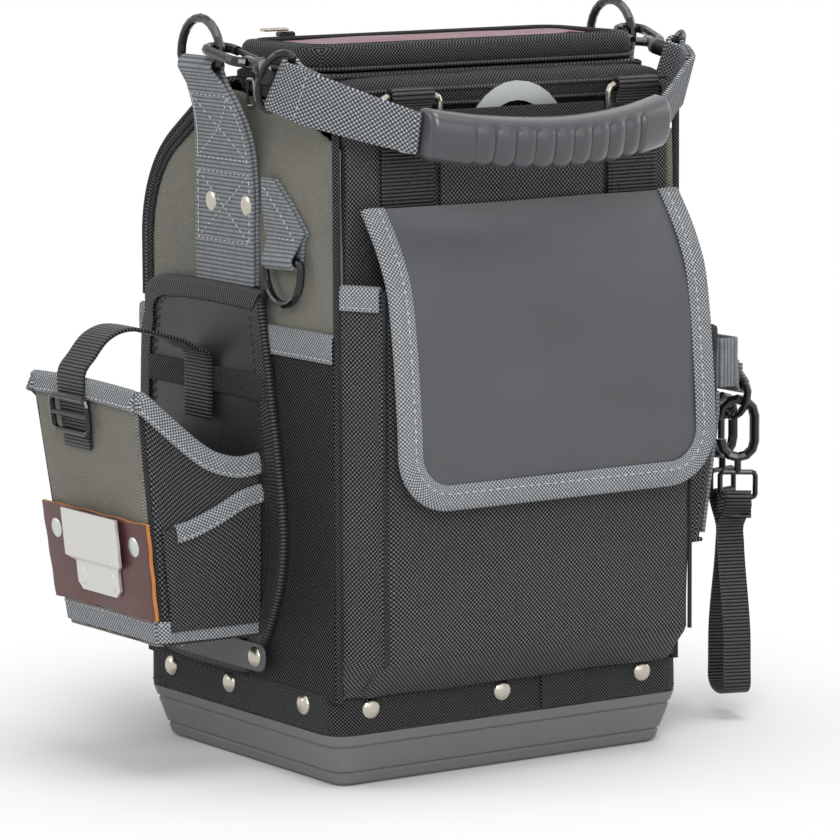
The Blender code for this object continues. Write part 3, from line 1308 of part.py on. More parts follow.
def holster_back():
    """The backing panel: waisted outline with round corners, a webbing band across it and a riveted plate at its foot."""
    points = [(HOLSTER_BACK_LOW_Y + HOLSTER_BACK_WIDTH * u, HOLSTER_BACK_LOW_Z + HOLSTER_BACK_HEIGHT * v) for u, v in HOLSTER_OUTLINE_SHARES]
    outline = [tuple(point) for point in smooth_outline(points, 2)]
    outer = holster_face_x()
    made = plate("holster_back", [outline], "side", outer, outer + HOLSTER_BACK, coated_fabric(), HOLSTER_BACK / 4)
    low, high = BAND_STRIP_LOW_Z, BAND_STRIP_LOW_Z + BAND_STRIP_HEIGHT
    band = [(BAND_STRIP_Y, low), (BAND_STRIP_Y + BAND_STRIP_WIDTH, low), (BAND_STRIP_Y + BAND_STRIP_WIDTH, high), (BAND_STRIP_Y, high)]
    foot = rounded_rectangle(HOLSTER_PLATE_Y, HOLSTER_PLATE_Y + HOLSTER_PLATE_WIDTH, HOLSTER_PLATE_LOW_Z, HOLSTER_PLATE_HIGH_Z, HOLSTER_PLATE_CORNER, 3)
    sewn = [plate("band", [band], "side", outer - BAND_STRIP, outer + BAND_STRIP, black_webbing(), group=CUTTERS),
            plate("foot", [foot], "side", outer - HOLSTER_PLATE, outer + HOLSTER_PLATE, coated_fabric(), group=CUTTERS)]
    middle = (HOLSTER_PLATE_LOW_Z + HOLSTER_PLATE_HIGH_Z) / 2
    for y in (HOLSTER_PLATE_Y + HOLSTER_RIVET_INSET, HOLSTER_PLATE_Y + HOLSTER_PLATE_WIDTH - HOLSTER_RIVET_INSET):
        sewn.append(dome("plate_rivet", (outer - HOLSTER_PLATE, y, middle), (-1, 0, 0), RIVET_RADIUS, RIVET_DOME, RIVET_SINK))
    return settle(join(made, sewn))


def pouch_path(out, near, far, corner):
    """Points (x, y) round the pouch from its near back edge, past the front, to its far back edge."""
    back = holster_face_x() - CLEAR
    front = back - out
    points = [(back - out * share, near) for share, _ in POUCH_EDGE_SHARES]
    points += arc((front + corner, near + corner), corner, 1.5 * math.pi, math.pi, 3)
    points += [(front, near + (far - near) * 0.5)]
    points += arc((front + corner, far - corner), corner, math.pi, 0.5 * math.pi, 3)
    return points + [(back - out * share, far) for share, _ in reversed(POUCH_EDGE_SHARES)]


def pouch_heights():
    """Top edge of the pouch at each point of its path: low at the back, high at the front."""
    side = [[POUCH_BACK_Z + (top - POUCH_BACK_Z) * share for _, share in POUCH_EDGE_SHARES] for top in (POUCH_NEAR_Z, POUCH_FAR_Z)]
    near, far = POUCH_NEAR_Z, POUCH_FAR_Z
    front = [near - POUCH_ARCH, near, near, near + POUCH_ARCH / 2]
    middle = [(near + far) / 2 + POUCH_ARCH]
    return side[0] + front + middle + [far + POUCH_ARCH / 2, far, far, far - POUCH_ARCH] + list(reversed(side[1]))


def pouch_size(share):
    """How far the pouch stands out, and its near and far y, at a share of its height."""
    out = POUCH_FOOT_OUT + (POUCH_TOP_OUT - POUCH_FOOT_OUT) * share
    near = POUCH_FOOT_NEAR_Y + (POUCH_TOP_NEAR_Y - POUCH_FOOT_NEAR_Y) * share
    far = POUCH_FOOT_FAR_Y + (POUCH_TOP_FAR_Y - POUCH_FOOT_FAR_Y) * share
    return out, near, far


def pouch_points(share, shift, base_z):
    """The path at a share of the height, moved inwards by shift, each point at its own height under the top edge."""
    out, near, far = pouch_size(share)
    path = pouch_path(out - shift, near + shift, far - shift, max(POUCH_CORNER - shift / 2, POUCH_CORNER / 4))
    return [Vector((x, y, base_z + (top - base_z) * share)) for (x, y), top in zip(path, pouch_heights())]


def holster_pouch():
    """The open pouch: a wall round three sides, from a solid floor up to the curved top edge."""
    floor_z = POUCH_LOW_Z + POUCH_WALL
    shares = [i / POUCH_ROWS for i in range(POUCH_ROWS + 1)]
    shape = bmesh.new()
    outer = [[shape.verts.new(p) for p in pouch_points(0.0, 0.0, POUCH_LOW_Z)]]
    outer += [[shape.verts.new(p) for p in pouch_points(share, 0.0, floor_z)] for share in shares]
    inner = [[shape.verts.new(p) for p in pouch_points(share, POUCH_WALL, floor_z)] for share in shares]
    strips = list(zip(outer, outer[1:])) + list(zip(inner, inner[1:])) + [(outer[-1], inner[-1])]
    for first, second in strips:
        for i in range(len(first) - 1):
            shape.faces.new((first[i], first[i + 1], second[i + 1], second[i]))
    for i in (0, -1):
        for out, room, out_next, room_next in zip(outer[1:], inner, outer[2:], inner[1:]):
            shape.faces.new((out[i], room[i], room_next[i], out_next[i]))
    shape.faces.new(outer[0])
    shape.faces.new(inner[0])
    shape.faces.new((outer[0][0], outer[1][0], inner[0][0], inner[0][-1], outer[1][-1], outer[0][-1]))
    return settle(from_bmesh("holster_pouch", shape, khaki_fabric()))


def outer_pocket():
    """The small flat pocket on the pouch's near side."""
    lift = -CLEAR - OUTER_POCKET
    rows = []
    for i in range(4):
        row = []
        for column, high in enumerate(OUTER_POCKET_HIGH_Z):
            z = OUTER_POCKET_LOW_Z + (high - OUTER_POCKET_LOW_Z) * i / 3
            share = (z - POUCH_LOW_Z) / (pouch_heights()[column] - POUCH_LOW_Z)
            row.append(pouch_points(share, lift + OUTER_POCKET / 2, POUCH_LOW_Z)[column])
        rows.append(row)
    for row in rows:
        row[0].x -= CLEAR
    return settle(sheet("outer_pocket", rows, OUTER_POCKET, black_nylon()))


def front_face(y, z, stand):
    """A point on the holster's front face, standing off it."""
    share = (z - POUCH_LOW_Z) / ((POUCH_NEAR_Z + POUCH_FAR_Z) / 2 - POUCH_LOW_Z)
    out = POUCH_FOOT_OUT + (POUCH_TOP_OUT - POUCH_FOOT_OUT) * share
    return Vector((holster_face_x() - CLEAR - out - stand, y, z))


def front_normal():
    """The outward normal of the holster's front face."""
    rise = front_face(0.0, POUCH_NEAR_Z, 0.0) - front_face(0.0, POUCH_LOW_Z, 0.0)
    return Vector((-rise.z, 0.0, rise.x)).normalized()


def face_slab(name, outline, stand, thickness, material, group=PARTS):
    """A slab of an outline (y, z) that follows the lean of the holster's front face."""
    loops = [[front_face(y, z, stand + depth) for y, z in outline] for depth in (0.0, thickness)]
    return loft(name, loops, material, group=group)


def pouch_limits(z):
    """Near and far y of the holster's front at a height."""
    share = (z - POUCH_LOW_Z) / ((POUCH_NEAR_Z + POUCH_FAR_Z) / 2 - POUCH_LOW_Z)
    near = POUCH_FOOT_NEAR_Y + (POUCH_TOP_NEAR_Y - POUCH_FOOT_NEAR_Y) * share
    far = POUCH_FOOT_FAR_Y + (POUCH_TOP_FAR_Y - POUCH_FOOT_FAR_Y) * share
    return near, far


def leather_patch():
    """The leather across the foot of the holster's front, with two rivets."""
    low_near, low_far = pouch_limits(LEATHER_LOW_Z)
    near, far = pouch_limits(LEATHER_HIGH_Z)
    over = LEATHER_OVERHANG
    outline = [(low_near - over, LEATHER_LOW_Z), (low_far + over, LEATHER_LOW_Z), (far + over, LEATHER_HIGH_Z), (near - over, LEATHER_HIGH_Z)]
    made = face_slab("leather_patch", outline, CLEAR, LEATHER, leather())
    rivets = []
    for y in (near + RIVET_RADIUS * 2.2, far - RIVET_RADIUS * 2.2):
        centre = front_face(y, LEATHER_HIGH_Z - RIVET_RADIUS * 2.4, CLEAR + LEATHER)
        rivets.append(dome("patch_rivet", centre, front_normal(), RIVET_RADIUS, CLIP_RIVET_DOME, LEATHER / 2))
    return settle(join(made, rivets))


def clip_plate():
    """The steel clip plate: its foot is riveted flat and its upper part stands off the leather."""
    near, far = pouch_limits(LEATHER_HIGH_Z)
    middle = (near + far) / 2 - RIVET_RADIUS / 2
    low = LEATHER_LOW_Z + CLIP_RAISE
    high = low + CLIP_HEIGHT
    stand = CLEAR + LEATHER + CLEAR
    profile = [(low, 0.0, CLIP_FOOT_WIDTH * 0.8), (low + CLIP_FOOT / 4, 0.0, CLIP_FOOT_WIDTH), (low + CLIP_FOOT, 0.0, CLIP_FOOT_WIDTH),
               (low + CLIP_FOOT + CLIP_STAND, CLIP_STAND, CLIP_WIDTH), (high, CLIP_STAND, CLIP_WIDTH)]
    loops = []
    for z, off, width in profile:
        section = [(-width / 2, off), (width / 2, off), (width / 2, off + CLIP_PLATE), (-width / 2, off + CLIP_PLATE)]
        loops.append([front_face(middle + y, z, stand + depth) for y, depth in section])
    made = loft("clip_plate", loops, nickel())
    rivets = []
    for side in (-1, 1):
        centre = front_face(middle + side * (CLIP_FOOT_WIDTH / 2 - CLIP_RIVET_RADIUS * 1.3), low + CLIP_FOOT / 2, stand + CLIP_PLATE)
        rivets.append(dome("clip_rivet", centre, front_normal(), CLIP_RIVET_RADIUS, CLIP_RIVET_DOME, CLIP_PLATE / 2))
    return settle(join(made, rivets))


def holster_strap():
    """The adjusting strap: from the backing panel, over the mouth, to the slider on the front."""
    half = HOLSTER_WEB / 2
    start = Vector((holster_face_x() - BAND_STRIP - CLEAR - half, HOLSTER_STRAP_Y, HOLSTER_STRAP_LOW_Z))
    foot = Vector((start.x, start.y, HOLSTER_STRAP_FOOT_Z))
    top = front_face(HOLSTER_STRAP_END_Y, POUCH_FAR_Z + 2 * POUCH_ARCH, CLEAR + half)
    slide = front_face(HOLSTER_STRAP_END_Y, STRAP_SLIDER_Z, CLEAR + half)
    tail = front_face(HOLSTER_STRAP_END_Y, HOLSTER_TAIL_LOW_Z, CLEAR + half)
    spine = [start, foot]
    for share, rise in HOLSTER_ARCH_SHARES:
        spine.append(foot.lerp(top, share) + Vector((0.0, 0.0, HOLSTER_STRAP_RISE * rise)))
    spine += [top, slide, tail]
    return settle(ribbon("holster_strap", spine, (0, 1, 0), [HOLSTER_WEB_WIDTH] * len(spine), HOLSTER_WEB, black_webbing()))


def strap_slider():
    """The bent wire frame of the slider, on the outside of the strap."""
    half = STRAP_SLIDER_WIDTH / 2
    stand = CLEAR + HOLSTER_WEB + CLEAR + STRAP_SLIDER_WIRE
    outline = rounded_rectangle(HOLSTER_STRAP_END_Y - half, HOLSTER_STRAP_END_Y + half, STRAP_SLIDER_Z - STRAP_SLIDER_HEIGHT / 2,
                                STRAP_SLIDER_Z + STRAP_SLIDER_HEIGHT / 2, STRAP_SLIDER_HEIGHT / 5, 2)
    points = [front_face(y, z, stand) for y, z in outline]
    made = wire("strap_slider", points, STRAP_SLIDER_WIRE, gunmetal(), closed=True)
    ends = [front_face(HOLSTER_STRAP_END_Y + side * half, STRAP_SLIDER_Z, stand) for side in (-1, 1)]
    return settle(join(made, [rod("slider_bar", ends[0], ends[1], STRAP_SLIDER_WIRE * 0.9, gunmetal())]))


# Right side: sleeve pocket and lanyard

def sleeve_face_x():
    """The inner side of the sleeve pocket, on the slip pocket."""
    return BODY_HALF_X + CLEAR + SIDE_POCKET + CLEAR


def sleeve_pocket():
    """The deep sleeve pocket: it tapers to its foot and is open at the top."""
    back = sleeve_face_x()

    def level(z, out, shift):
        return lifted(rounded_rectangle(back + shift, back + out - shift, SLEEVE_NEAR_Y + shift, SLEEVE_FAR_Y - shift,
                                        SLEEVE_CORNER - shift / 2, 3), z)

    loops = [level(SLEEVE_LOW_Z, SLEEVE_FOOT_OUT, 0.0), level(SLEEVE_BEND_Z, SLEEVE_OUT, 0.0), level(SLEEVE_HIGH_Z, SLEEVE_OUT, 0.0)]
    loops += [level(SLEEVE_HIGH_Z, SLEEVE_OUT, SLEEVE_WALL), level(SLEEVE_BEND_Z, SLEEVE_OUT, SLEEVE_WALL),
              level(SLEEVE_LOW_Z + SLEEVE_WALL, SLEEVE_FOOT_OUT, SLEEVE_WALL)]
    return settle(loft("sleeve_pocket", loops, black_nylon()))


def sleeve_tail():
    """The webbing tail that hangs down the outer face of the sleeve pocket."""
    face = sleeve_face_x() + CLEAR + WEB / 2
    lean = (SLEEVE_OUT - SLEEVE_FOOT_OUT) / (SLEEVE_BEND_Z - SLEEVE_LOW_Z)
    low_x = face + SLEEVE_OUT - lean * (SLEEVE_BEND_Z - SLEEVE_TAIL_LOW_Z) + CLEAR
    high_z = TOOL_LOOP_LOW_Z - WEB
    spine = [Vector((face + SLEEVE_OUT, SLEEVE_TAIL_Y, high_z)), Vector((face + SLEEVE_OUT, SLEEVE_TAIL_Y, SLEEVE_BEND_Z)),
             Vector((low_x, SLEEVE_TAIL_Y, SLEEVE_TAIL_LOW_Z))]
    return settle(ribbon("sleeve_tail", spine, (0, 1, 0), [LANYARD_WEB_WIDTH] * 3, WEB, black_webbing()))


def tool_loop_face_x():
    return sleeve_face_x() + SLEEVE_OUT + CLEAR + TOOL_LOOP_OUT


def tab_middle_x():
    """The middle of the tab's sewn layer, which is sunk a little into the loop."""
    return tool_loop_face_x() + LANYARD_WEB / 2 - SEWN_SINK


def lanyard_bar():
    radius = LANYARD_RING_WIRE + LAYER_GAP + LANYARD_WEB / 2
    return Vector((tab_middle_x() + radius, LANYARD_Y, LANYARD_BAR_Z))


def tool_loop():
    """The webbing loop on the sleeve pocket, and the tab sewn to it that is folded round the bar of the lanyard's ring."""
    back = sleeve_face_x() + SLEEVE_OUT + CLEAR
    front = back + TOOL_LOOP_OUT
    low, high = TOOL_LOOP_NEAR_Y, TOOL_LOOP_NEAR_Y + TOOL_LOOP_WIDTH
    wall = TOOL_LOOP_WALL
    outer = [(back, low), (front, low), (front, high), (back, high)]
    inner = [(back + wall, low + wall), (front - wall, low + wall), (front - wall, high - wall), (back + wall, high - wall)]
    made = plate("tool_loop", [outer, inner], "plan", TOOL_LOOP_LOW_Z, TOOL_LOOP_HIGH_Z, grey_webbing())
    bar, face = lanyard_bar(), tab_middle_x()
    radius = LANYARD_RING_WIRE + LAYER_GAP + LANYARD_WEB / 2
    tip = fold(bar, (0, 0, -1), (-1, 0, 0), LANYARD_RING_WIRE, LANYARD_WEB, 0.0, SEWN_WRAP)
    behind = Vector((face, LANYARD_Y, LANYARD_BAR_Z + 2 * radius))
    across = Vector((LANYARD_WEB + LAYER_GAP, 0.0, 0.0))
    high_end = Vector((face, LANYARD_Y, LANYARD_TAB_TOP_Z))
    spine = [high_end, behind] + tip[1:-1] + [behind + across, high_end + across - Vector((0.0, 0.0, LANYARD_WEB))]
    tab = ribbon("lanyard_tab", spine, (0, 1, 0), [LANYARD_WEB_WIDTH] * len(spine), LANYARD_WEB, grey_webbing(), CUTTERS)
    return settle(join(made, [tab]))


def lanyard_ring():
    bar = lanyard_bar()
    centre = bar - Vector((0.0, 0.0, LANYARD_RING_LEG))
    path = d_ring_path(centre, (0, 1, 0), (0, 0, -1), LANYARD_RING_HALF, LANYARD_RING_LEG, LANYARD_RING_LEG * 0.9, 10)
    return settle(wire("lanyard_ring", path, LANYARD_RING_WIRE, gunmetal(), closed=True), bar)


def lanyard_hold():
    """The lowest point of the lanyard ring's wire, which both clips hang on."""
    return lanyard_bar() - Vector((0.0, 0.0, LANYARD_RING_LEG + LANYARD_RING_HALF))


def clip_frame(turn, spread):
    """Matrix of a clip: its first axis is its width, the second runs down its length."""
    wide = Vector((math.cos(turn), math.sin(turn), 0.0))
    frame = Matrix((wide, (0, 0, -1), wide.cross(Vector((0, 0, -1))))).transposed().to_4x4()
    frame.translation = lanyard_hold() + Vector((0.0, spread, CLIP_HOLD))
    return frame


def lanyard_clip(name, turn, spread):
    """A clip: long wire ring with the gate's gap in its left run, and the eye for the wrist webbing below."""
    frame = clip_frame(turn, spread)
    half = CLIP_RING_HALF
    lower = CLIP_RING_LONG - half
    flat = [(-half, CLIP_GATE_TOP)] + arc((0.0, half), half, math.pi, 2 * math.pi, 6) + arc((0.0, lower), half, 0.0, math.pi, 6)
    flat.append((-half, CLIP_GATE_FOOT))
    made = wire(name, [frame @ Vector((u, v, 0.0)) for u, v in flat], CLIP_RING_WIRE, gunmetal())
    stem = [frame @ Vector((0.0, v, 0.0)) for v in (CLIP_RING_LONG, loop_top())]
    outline = rounded_rectangle(-LOOP_HALF, LOOP_HALF, loop_top(), loop_top() + LOOP_HEIGHT, LOOP_WIRE * 1.3, 2)
    eye = wire("eye", [frame @ Vector((u, v, 0.0)) for u, v in outline], LOOP_WIRE, gunmetal(), closed=True, group=CUTTERS)
    return settle(join(made, [rod("stem", stem[0], stem[1], CLIP_RING_WIRE * 0.7, gunmetal()), eye]), lanyard_hold())


def lanyard_gate(name, turn, spread):
    frame = clip_frame(turn, spread)
    ends = [frame @ Vector((-CLIP_RING_HALF, v, 0.0)) for v in (CLIP_GATE_FOOT - CLEAR, CLIP_GATE_TOP + CLEAR)]
    return settle(wire(name, [ends[0], (ends[0] + ends[1]) / 2, ends[1]], CLIP_GATE_WIRE, gunmetal()), ends[0])


def loop_top():
    return CLIP_RING_LONG + LOOP_STEM + CLIP_RING_WIRE + CLEAR + LOOP_WIRE


def wrist_loop():
    """The wrist loop: from one eye down through the pinch, round the foot and up to the other eye."""
    radius = LOOP_WIRE + LAYER_GAP + WRIST_WEB / 2
    apart = (WRIST_WEB + LAYER_GAP) / 2
    frames = [clip_frame(CLIP_TURN_A, -CLIP_SPREAD), clip_frame(CLIP_TURN_B, CLIP_SPREAD)]
    bars = [frame @ Vector((0.0, loop_top() + LOOP_HEIGHT, 0.0)) for frame in frames]
    middle = (bars[0] + bars[1]) / 2
    up = Vector((0.0, 0.0, 1.0))
    ends = []
    for frame, bar in zip(frames, bars):
        wide = (frame.to_3x3() @ Vector((1, 0, 0))).normalized()
        away = up.cross(wide)
        outer = -1 if bar is bars[0] else 1
        legs = [bar - away * outer * apart - up * WRIST_FOLD] + fold(bar, up, -away * outer, LOOP_WIRE, WRIST_WEB)
        ends.append([(point, wide) for point in legs])
    wide = Vector((math.cos(WRIST_TURN), math.sin(WRIST_TURN), 0.0))
    away = up.cross(wide)
    pinch = Vector((middle.x, middle.y, WRIST_PINCH_Z))
    front, back = [], []
    for i in range(WRIST_ROWS + 1):
        share = i / WRIST_ROWS
        drop = (WRIST_PINCH_Z - WRIST_LOW_Z) * share
        swell = math.sin(math.pi / 2 * min(1.0, share * WRIST_SWELL_SHARE)) ** 2
        front.append((pinch - up * drop - away * (apart + WRIST_BULGE * swell), wide))
        back.append((pinch - up * drop + away * (apart + WRIST_BULGE * swell), wide))
    low = pinch - up * (WRIST_PINCH_Z - WRIST_LOW_Z + WRIST_BULGE / 3)
    foot = [(low - away * WRIST_BULGE * 0.55, wide), (low + away * WRIST_BULGE * 0.55, wide)]
    rows = []
    for point, across in ends[0] + front + foot + list(reversed(back)) + list(reversed(ends[1])):
        half = across * WRIST_WEB_WIDTH / 2
        rows.append([point - half, point + half])
    return settle(sheet("wrist_loop", rows, WRIST_WEB, black_webbing()), lanyard_hold())


def build_body():
    base_tub()
    rim_tape()
    side_panel("left_panel", -1)
    side_panel("right_panel", 1)
    front_panel()
    rear_panel()
    divider_panel()
    side_pocket("left_side_pocket", -1)
    side_pocket("right_side_pocket", 1)
    mouth_band()
    collar_roll()
    depth = SLOT_DEPTH + 2 * SLOT_WALL
    inner_pockets("rear_tool_slots", DIVIDER_Y - CLEAR - depth, DIVIDER_Y - CLEAR)
    inner_pockets("front_tool_slots", -FRONT_Y + PANEL + CLEAR, -FRONT_Y + PANEL + CLEAR + depth)
    rear_door()


def build_lid():
    lid_rim()
    lid_panel()
    top = LID_BOTTOM_Z + LID_HEIGHT + CLEAR
    base = (-LID_SLIDER_X, LID_BACK_Y - LID_SLIDER_INSET, top)
    zip_slider("lid_slider", base, (1, 0, 0), (0, 0, 1), lid_origin())
    pull_tab("lid_pull", base, (-1, 0, 0), (0, 0, 1))
    side = (-BAND_HALF_X - CLEAR, -SIDE_SLIDER_Y, LID_BOTTOM_Z - SIDE_SLIDER_DROP)
    zip_slider("side_slider", side, (0, 0, -1), (-1, 0, 0))
    pull_tab("side_pull", side, (0, 0, -1), (-1, 0, 0))


def build_front():
    front_pocket()
    flap()
    flap_binding()
    left, right = -FRONT_STRAP_X + FRONT_STRAP_SHIFT, FRONT_STRAP_X + FRONT_STRAP_SHIFT
    front_strap("left_front_strap", left)
    front_strap("right_front_strap", right)
    front_ring("left_front_ring", left)
    front_ring("right_front_ring", right)
    slot_pocket()
    steel_ring()


def build_handle():
    for side, sign in (("left", -1), ("right", 1)):
        side_strap(f"{side}_strap", sign)
        standing_ring(f"{side}_ring", sign)
        snap_hook(f"{side}_hook", sign)
        snap_gate(f"{side}_gate", sign)
        snap_eye(f"{side}_eye", sign)
        handle_web(f"{side}_handle_web", sign)
    handle_grip()
    ring_tab()
    side_ring()


def build_holster():
    holster_back()
    holster_pouch()
    outer_pocket()
    leather_patch()
    clip_plate()
    holster_strap()
    strap_slider()


def build_right_side():
    sleeve_pocket()
    sleeve_tail()
    tool_loop()
    lanyard_ring()
    for letter, turn, spread in (("a", CLIP_TURN_A, -CLIP_SPREAD), ("b", CLIP_TURN_B, CLIP_SPREAD)):
        lanyard_clip(f"clip_{letter}", turn, spread)
        lanyard_gate(f"clip_gate_{letter}", turn, spread)
    wrist_loop()


def main():
    clear_scene()
    build_body()
    build_lid()
    build_front()
    build_handle()
    build_holster()
    build_right_side()


main()
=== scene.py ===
"""The looks of a tool pouch: moulded tub, padded fabric body, zipped lid, bellows pocket under a coated flap,
side holster, sleeve pocket with a lanyard, and a ribbed rubber handle on snap hooks.

Everything is in metres in the CAD part's own frame: +Z up, the front faces -Y and the holster hangs on -X.
"""

import json
import logging
import math
from dataclasses import dataclass
from enum import Enum
from typing import Any, Callable, Optional, Sequence

import bmesh
import bpy
import numpy as np
from mathutils import Matrix, Vector

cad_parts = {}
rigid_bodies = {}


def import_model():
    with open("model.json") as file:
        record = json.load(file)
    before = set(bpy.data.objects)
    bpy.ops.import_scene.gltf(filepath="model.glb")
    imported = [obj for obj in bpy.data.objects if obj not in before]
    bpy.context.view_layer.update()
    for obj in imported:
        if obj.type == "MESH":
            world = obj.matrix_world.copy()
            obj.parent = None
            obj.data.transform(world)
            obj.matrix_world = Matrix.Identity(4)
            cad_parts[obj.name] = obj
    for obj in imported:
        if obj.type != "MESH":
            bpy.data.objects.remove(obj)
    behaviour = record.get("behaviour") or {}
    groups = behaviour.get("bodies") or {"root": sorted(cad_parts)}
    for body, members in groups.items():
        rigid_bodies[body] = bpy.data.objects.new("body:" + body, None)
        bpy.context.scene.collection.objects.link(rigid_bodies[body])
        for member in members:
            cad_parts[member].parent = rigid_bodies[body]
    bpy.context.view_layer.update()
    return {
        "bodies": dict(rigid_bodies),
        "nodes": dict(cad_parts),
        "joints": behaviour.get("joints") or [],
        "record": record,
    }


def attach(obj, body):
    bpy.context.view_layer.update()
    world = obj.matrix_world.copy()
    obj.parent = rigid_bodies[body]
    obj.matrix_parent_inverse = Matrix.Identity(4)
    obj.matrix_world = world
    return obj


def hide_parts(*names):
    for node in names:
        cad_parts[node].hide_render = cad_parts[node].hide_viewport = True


LOG = logging.getLogger("tool_pouch")

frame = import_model()

# Gaps of the CAD part, which the dressed pieces keep
CLEAR = 0.0003
LAYER_GAP = 0.0005
FREE_WRAP = math.radians(26)
SEWN_WRAP = math.radians(34)

# Planes that several sub-assemblies hang on
BODY_HALF_X = 0.1005
LID_BOTTOM_Z = 0.3445
FRONT_Y = 0.0850
REAR_Y = 0.0920
REAR_FOOT_Y = 0.0890
TUB_TOP_Z = 0.0430
POCKET_LINE_Z = 0.2200
SIDE_POCKET = 0.0025
RIVET_RADIUS = 0.0052

# Cloth: how far its cut edges are rounded, and how much thinner it is drawn than its CAD wall
FINE_EDGE = 0.0004
THINNER = 0.0004

# Stitches: length, gap and radius of the thread
LOCK_STITCH = (0.0027, 0.0011, 0.00036)
TAPE_STITCH = (0.0030, 0.0014, 0.00030)
FLAP_STITCH = (0.0034, 0.0013, 0.00038)
STRAP_STITCH = (0.0028, 0.0012, 0.00032)
SIDE_STITCH = (0.0029, 0.0011, 0.00036)
HANDLE_STITCH = (0.0028, 0.0012, 0.00036)
HEM_STITCH = (0.0028, 0.0014, 0.00034)

SIDES = (("left", -1), ("right", 1))
UP, DOWN = Vector((0, 0, 1)), Vector((0, 0, -1))
FORTH, LEFT = Vector((0, -1, 0)), Vector((-1, 0, 0))
WHITE = (1.0, 1.0, 1.0, 1.0)

Rows = list[list[Vector]]
Piece = bpy.types.Object
Tree = bpy.types.NodeTree
Socket = bpy.types.NodeSocket


# Mesh tools


def deselect() -> None:
    """Leaves edit mode if need be and deselects every object."""
    if bpy.context.object and bpy.context.object.mode != "OBJECT":
        bpy.ops.object.mode_set(mode="OBJECT")
    for other in bpy.context.view_layer.objects:
        other.select_set(False)


def pick(piece: Piece) -> None:
    """Selects one piece alone and makes it the active one."""
    deselect()
    piece.select_set(True)
    bpy.context.view_layer.objects.active = piece


def worked(piece: Piece, kind: str, **settings: Any) -> Piece:
    """Adds one modifier to a piece and applies it at once.

    Args:
        piece: The piece to work on.
        kind: Blender's name for the modifier type.
        settings: The modifier's own settings by name.

    Returns:
        The same piece.
    """
    pick(piece)
    modifier = piece.modifiers.new(kind.lower(), kind)
    for key, value in settings.items():
        setattr(modifier, key, value)
    bpy.ops.object.modifier_apply(modifier=modifier.name)
    return piece


def tidied(piece: Piece, merge: float = 0.00002, quads: bool = False, fill: bool = False) -> Piece:
    """Merges doubles, closes open ends if asked and turns all faces outwards.

    Args:
        piece: The piece to tidy.
        merge: Points closer than this become one.
        quads: Whether pairs of triangles become quads.
        fill: Whether open loops get a face.

    Returns:
        The same piece.
    """
    pick(piece)
    bpy.ops.object.mode_set(mode="EDIT")
    bpy.ops.mesh.select_all(action="SELECT")
    bpy.ops.mesh.remove_doubles(threshold=merge)
    if quads:
        bpy.ops.mesh.tris_convert_to_quads(face_threshold=math.radians(3), shape_threshold=math.radians(60))
    if fill:
        bpy.ops.mesh.fill_holes(sides=0)
        bpy.ops.mesh.select_all(action="SELECT")
    bpy.ops.mesh.normals_make_consistent(inside=False)
    bpy.ops.object.mode_set(mode="OBJECT")
    return piece


def copied(node: str, name: str) -> Piece:
    """A new object on a copy of a CAD node's mesh, with its loose triangles merged."""
    piece = bpy.data.objects.new(name, bpy.data.objects[node].data.copy())
    bpy.context.scene.collection.objects.link(piece)
    piece.data.name = name
    piece.data.materials.clear()
    pick(piece)
    if piece.data.has_custom_normals:
        bpy.ops.mesh.customdata_custom_splitnormals_clear()
    return tidied(piece, quads=True)


def listed(items: Any, name: str, kind: type, width: int = 1) -> np.ndarray:
    """One attribute of all of a mesh's points, corners or faces, as an array."""
    values = np.zeros(len(items) * width, kind)
    items.foreach_get(name, values)
    return values.reshape(-1, width) if width > 1 else values


def mapped(mesh: bpy.types.Mesh, flat: np.ndarray) -> None:
    """Writes the UV map: one (u, v) in metres for each face corner."""
    layer = mesh.uv_layers.get("UVMap") or mesh.uv_layers.new(name="UVMap")
    layer.data.foreach_set("uv", flat.astype(np.float32).reshape(-1))


def laid(name: str, rows: Rows) -> Piece:
    """A grid primitive laid over rows of points.

    Args:
        name: Name of the piece.
        rows: Rows of as many points each; a row runs across the cloth and the rows follow its length.

    Returns:
        The piece, with a UV map in metres: u across from the middle, v along from the first row.
    """
    deselect()
    across, along = len(rows[0]), len(rows)
    bpy.ops.mesh.primitive_grid_add(x_subdivisions=across - 1, y_subdivisions=along - 1, size=0.1)
    piece = bpy.context.object
    piece.name = piece.data.name = name
    points = np.array([[tuple(point) for point in row] for row in rows])
    mesh = piece.data
    mesh.vertices.foreach_set("co", points.reshape(-1).astype(np.float32))
    wide = np.cumsum(np.pad(np.linalg.norm(np.diff(points, axis=1), axis=2), ((0, 0), (1, 0))), axis=1)
    wide -= wide[:, -1:] / 2
    middle = points[:, across // 2]
    long = np.cumsum(np.pad(np.linalg.norm(np.diff(middle, axis=0), axis=1), (1, 0)))
    flat = np.stack([wide, np.repeat(long[:, None], across, axis=1)], axis=2).reshape(-1, 2)
    mapped(mesh, flat[listed(mesh.loops, "vertex_index", np.int32)])
    mesh.update()
    piece.matrix_world = Matrix.Identity(4)
    return piece


def boxed(piece: Piece) -> Piece:
    """Gives a piece a UV map in metres, each face seen square on along its main axis."""
    mesh = piece.data
    points = listed(mesh.vertices, "co", np.float32, 3)[listed(mesh.loops, "vertex_index", np.int32)]
    main = np.abs(listed(mesh.polygons, "normal", np.float32, 3)).argmax(axis=1)
    axis = np.repeat(main, listed(mesh.polygons, "loop_total", np.int32))
    mapped(mesh, np.take_along_axis(points, np.array([[1, 2], [0, 2], [0, 1]])[axis], axis=1))
    return piece


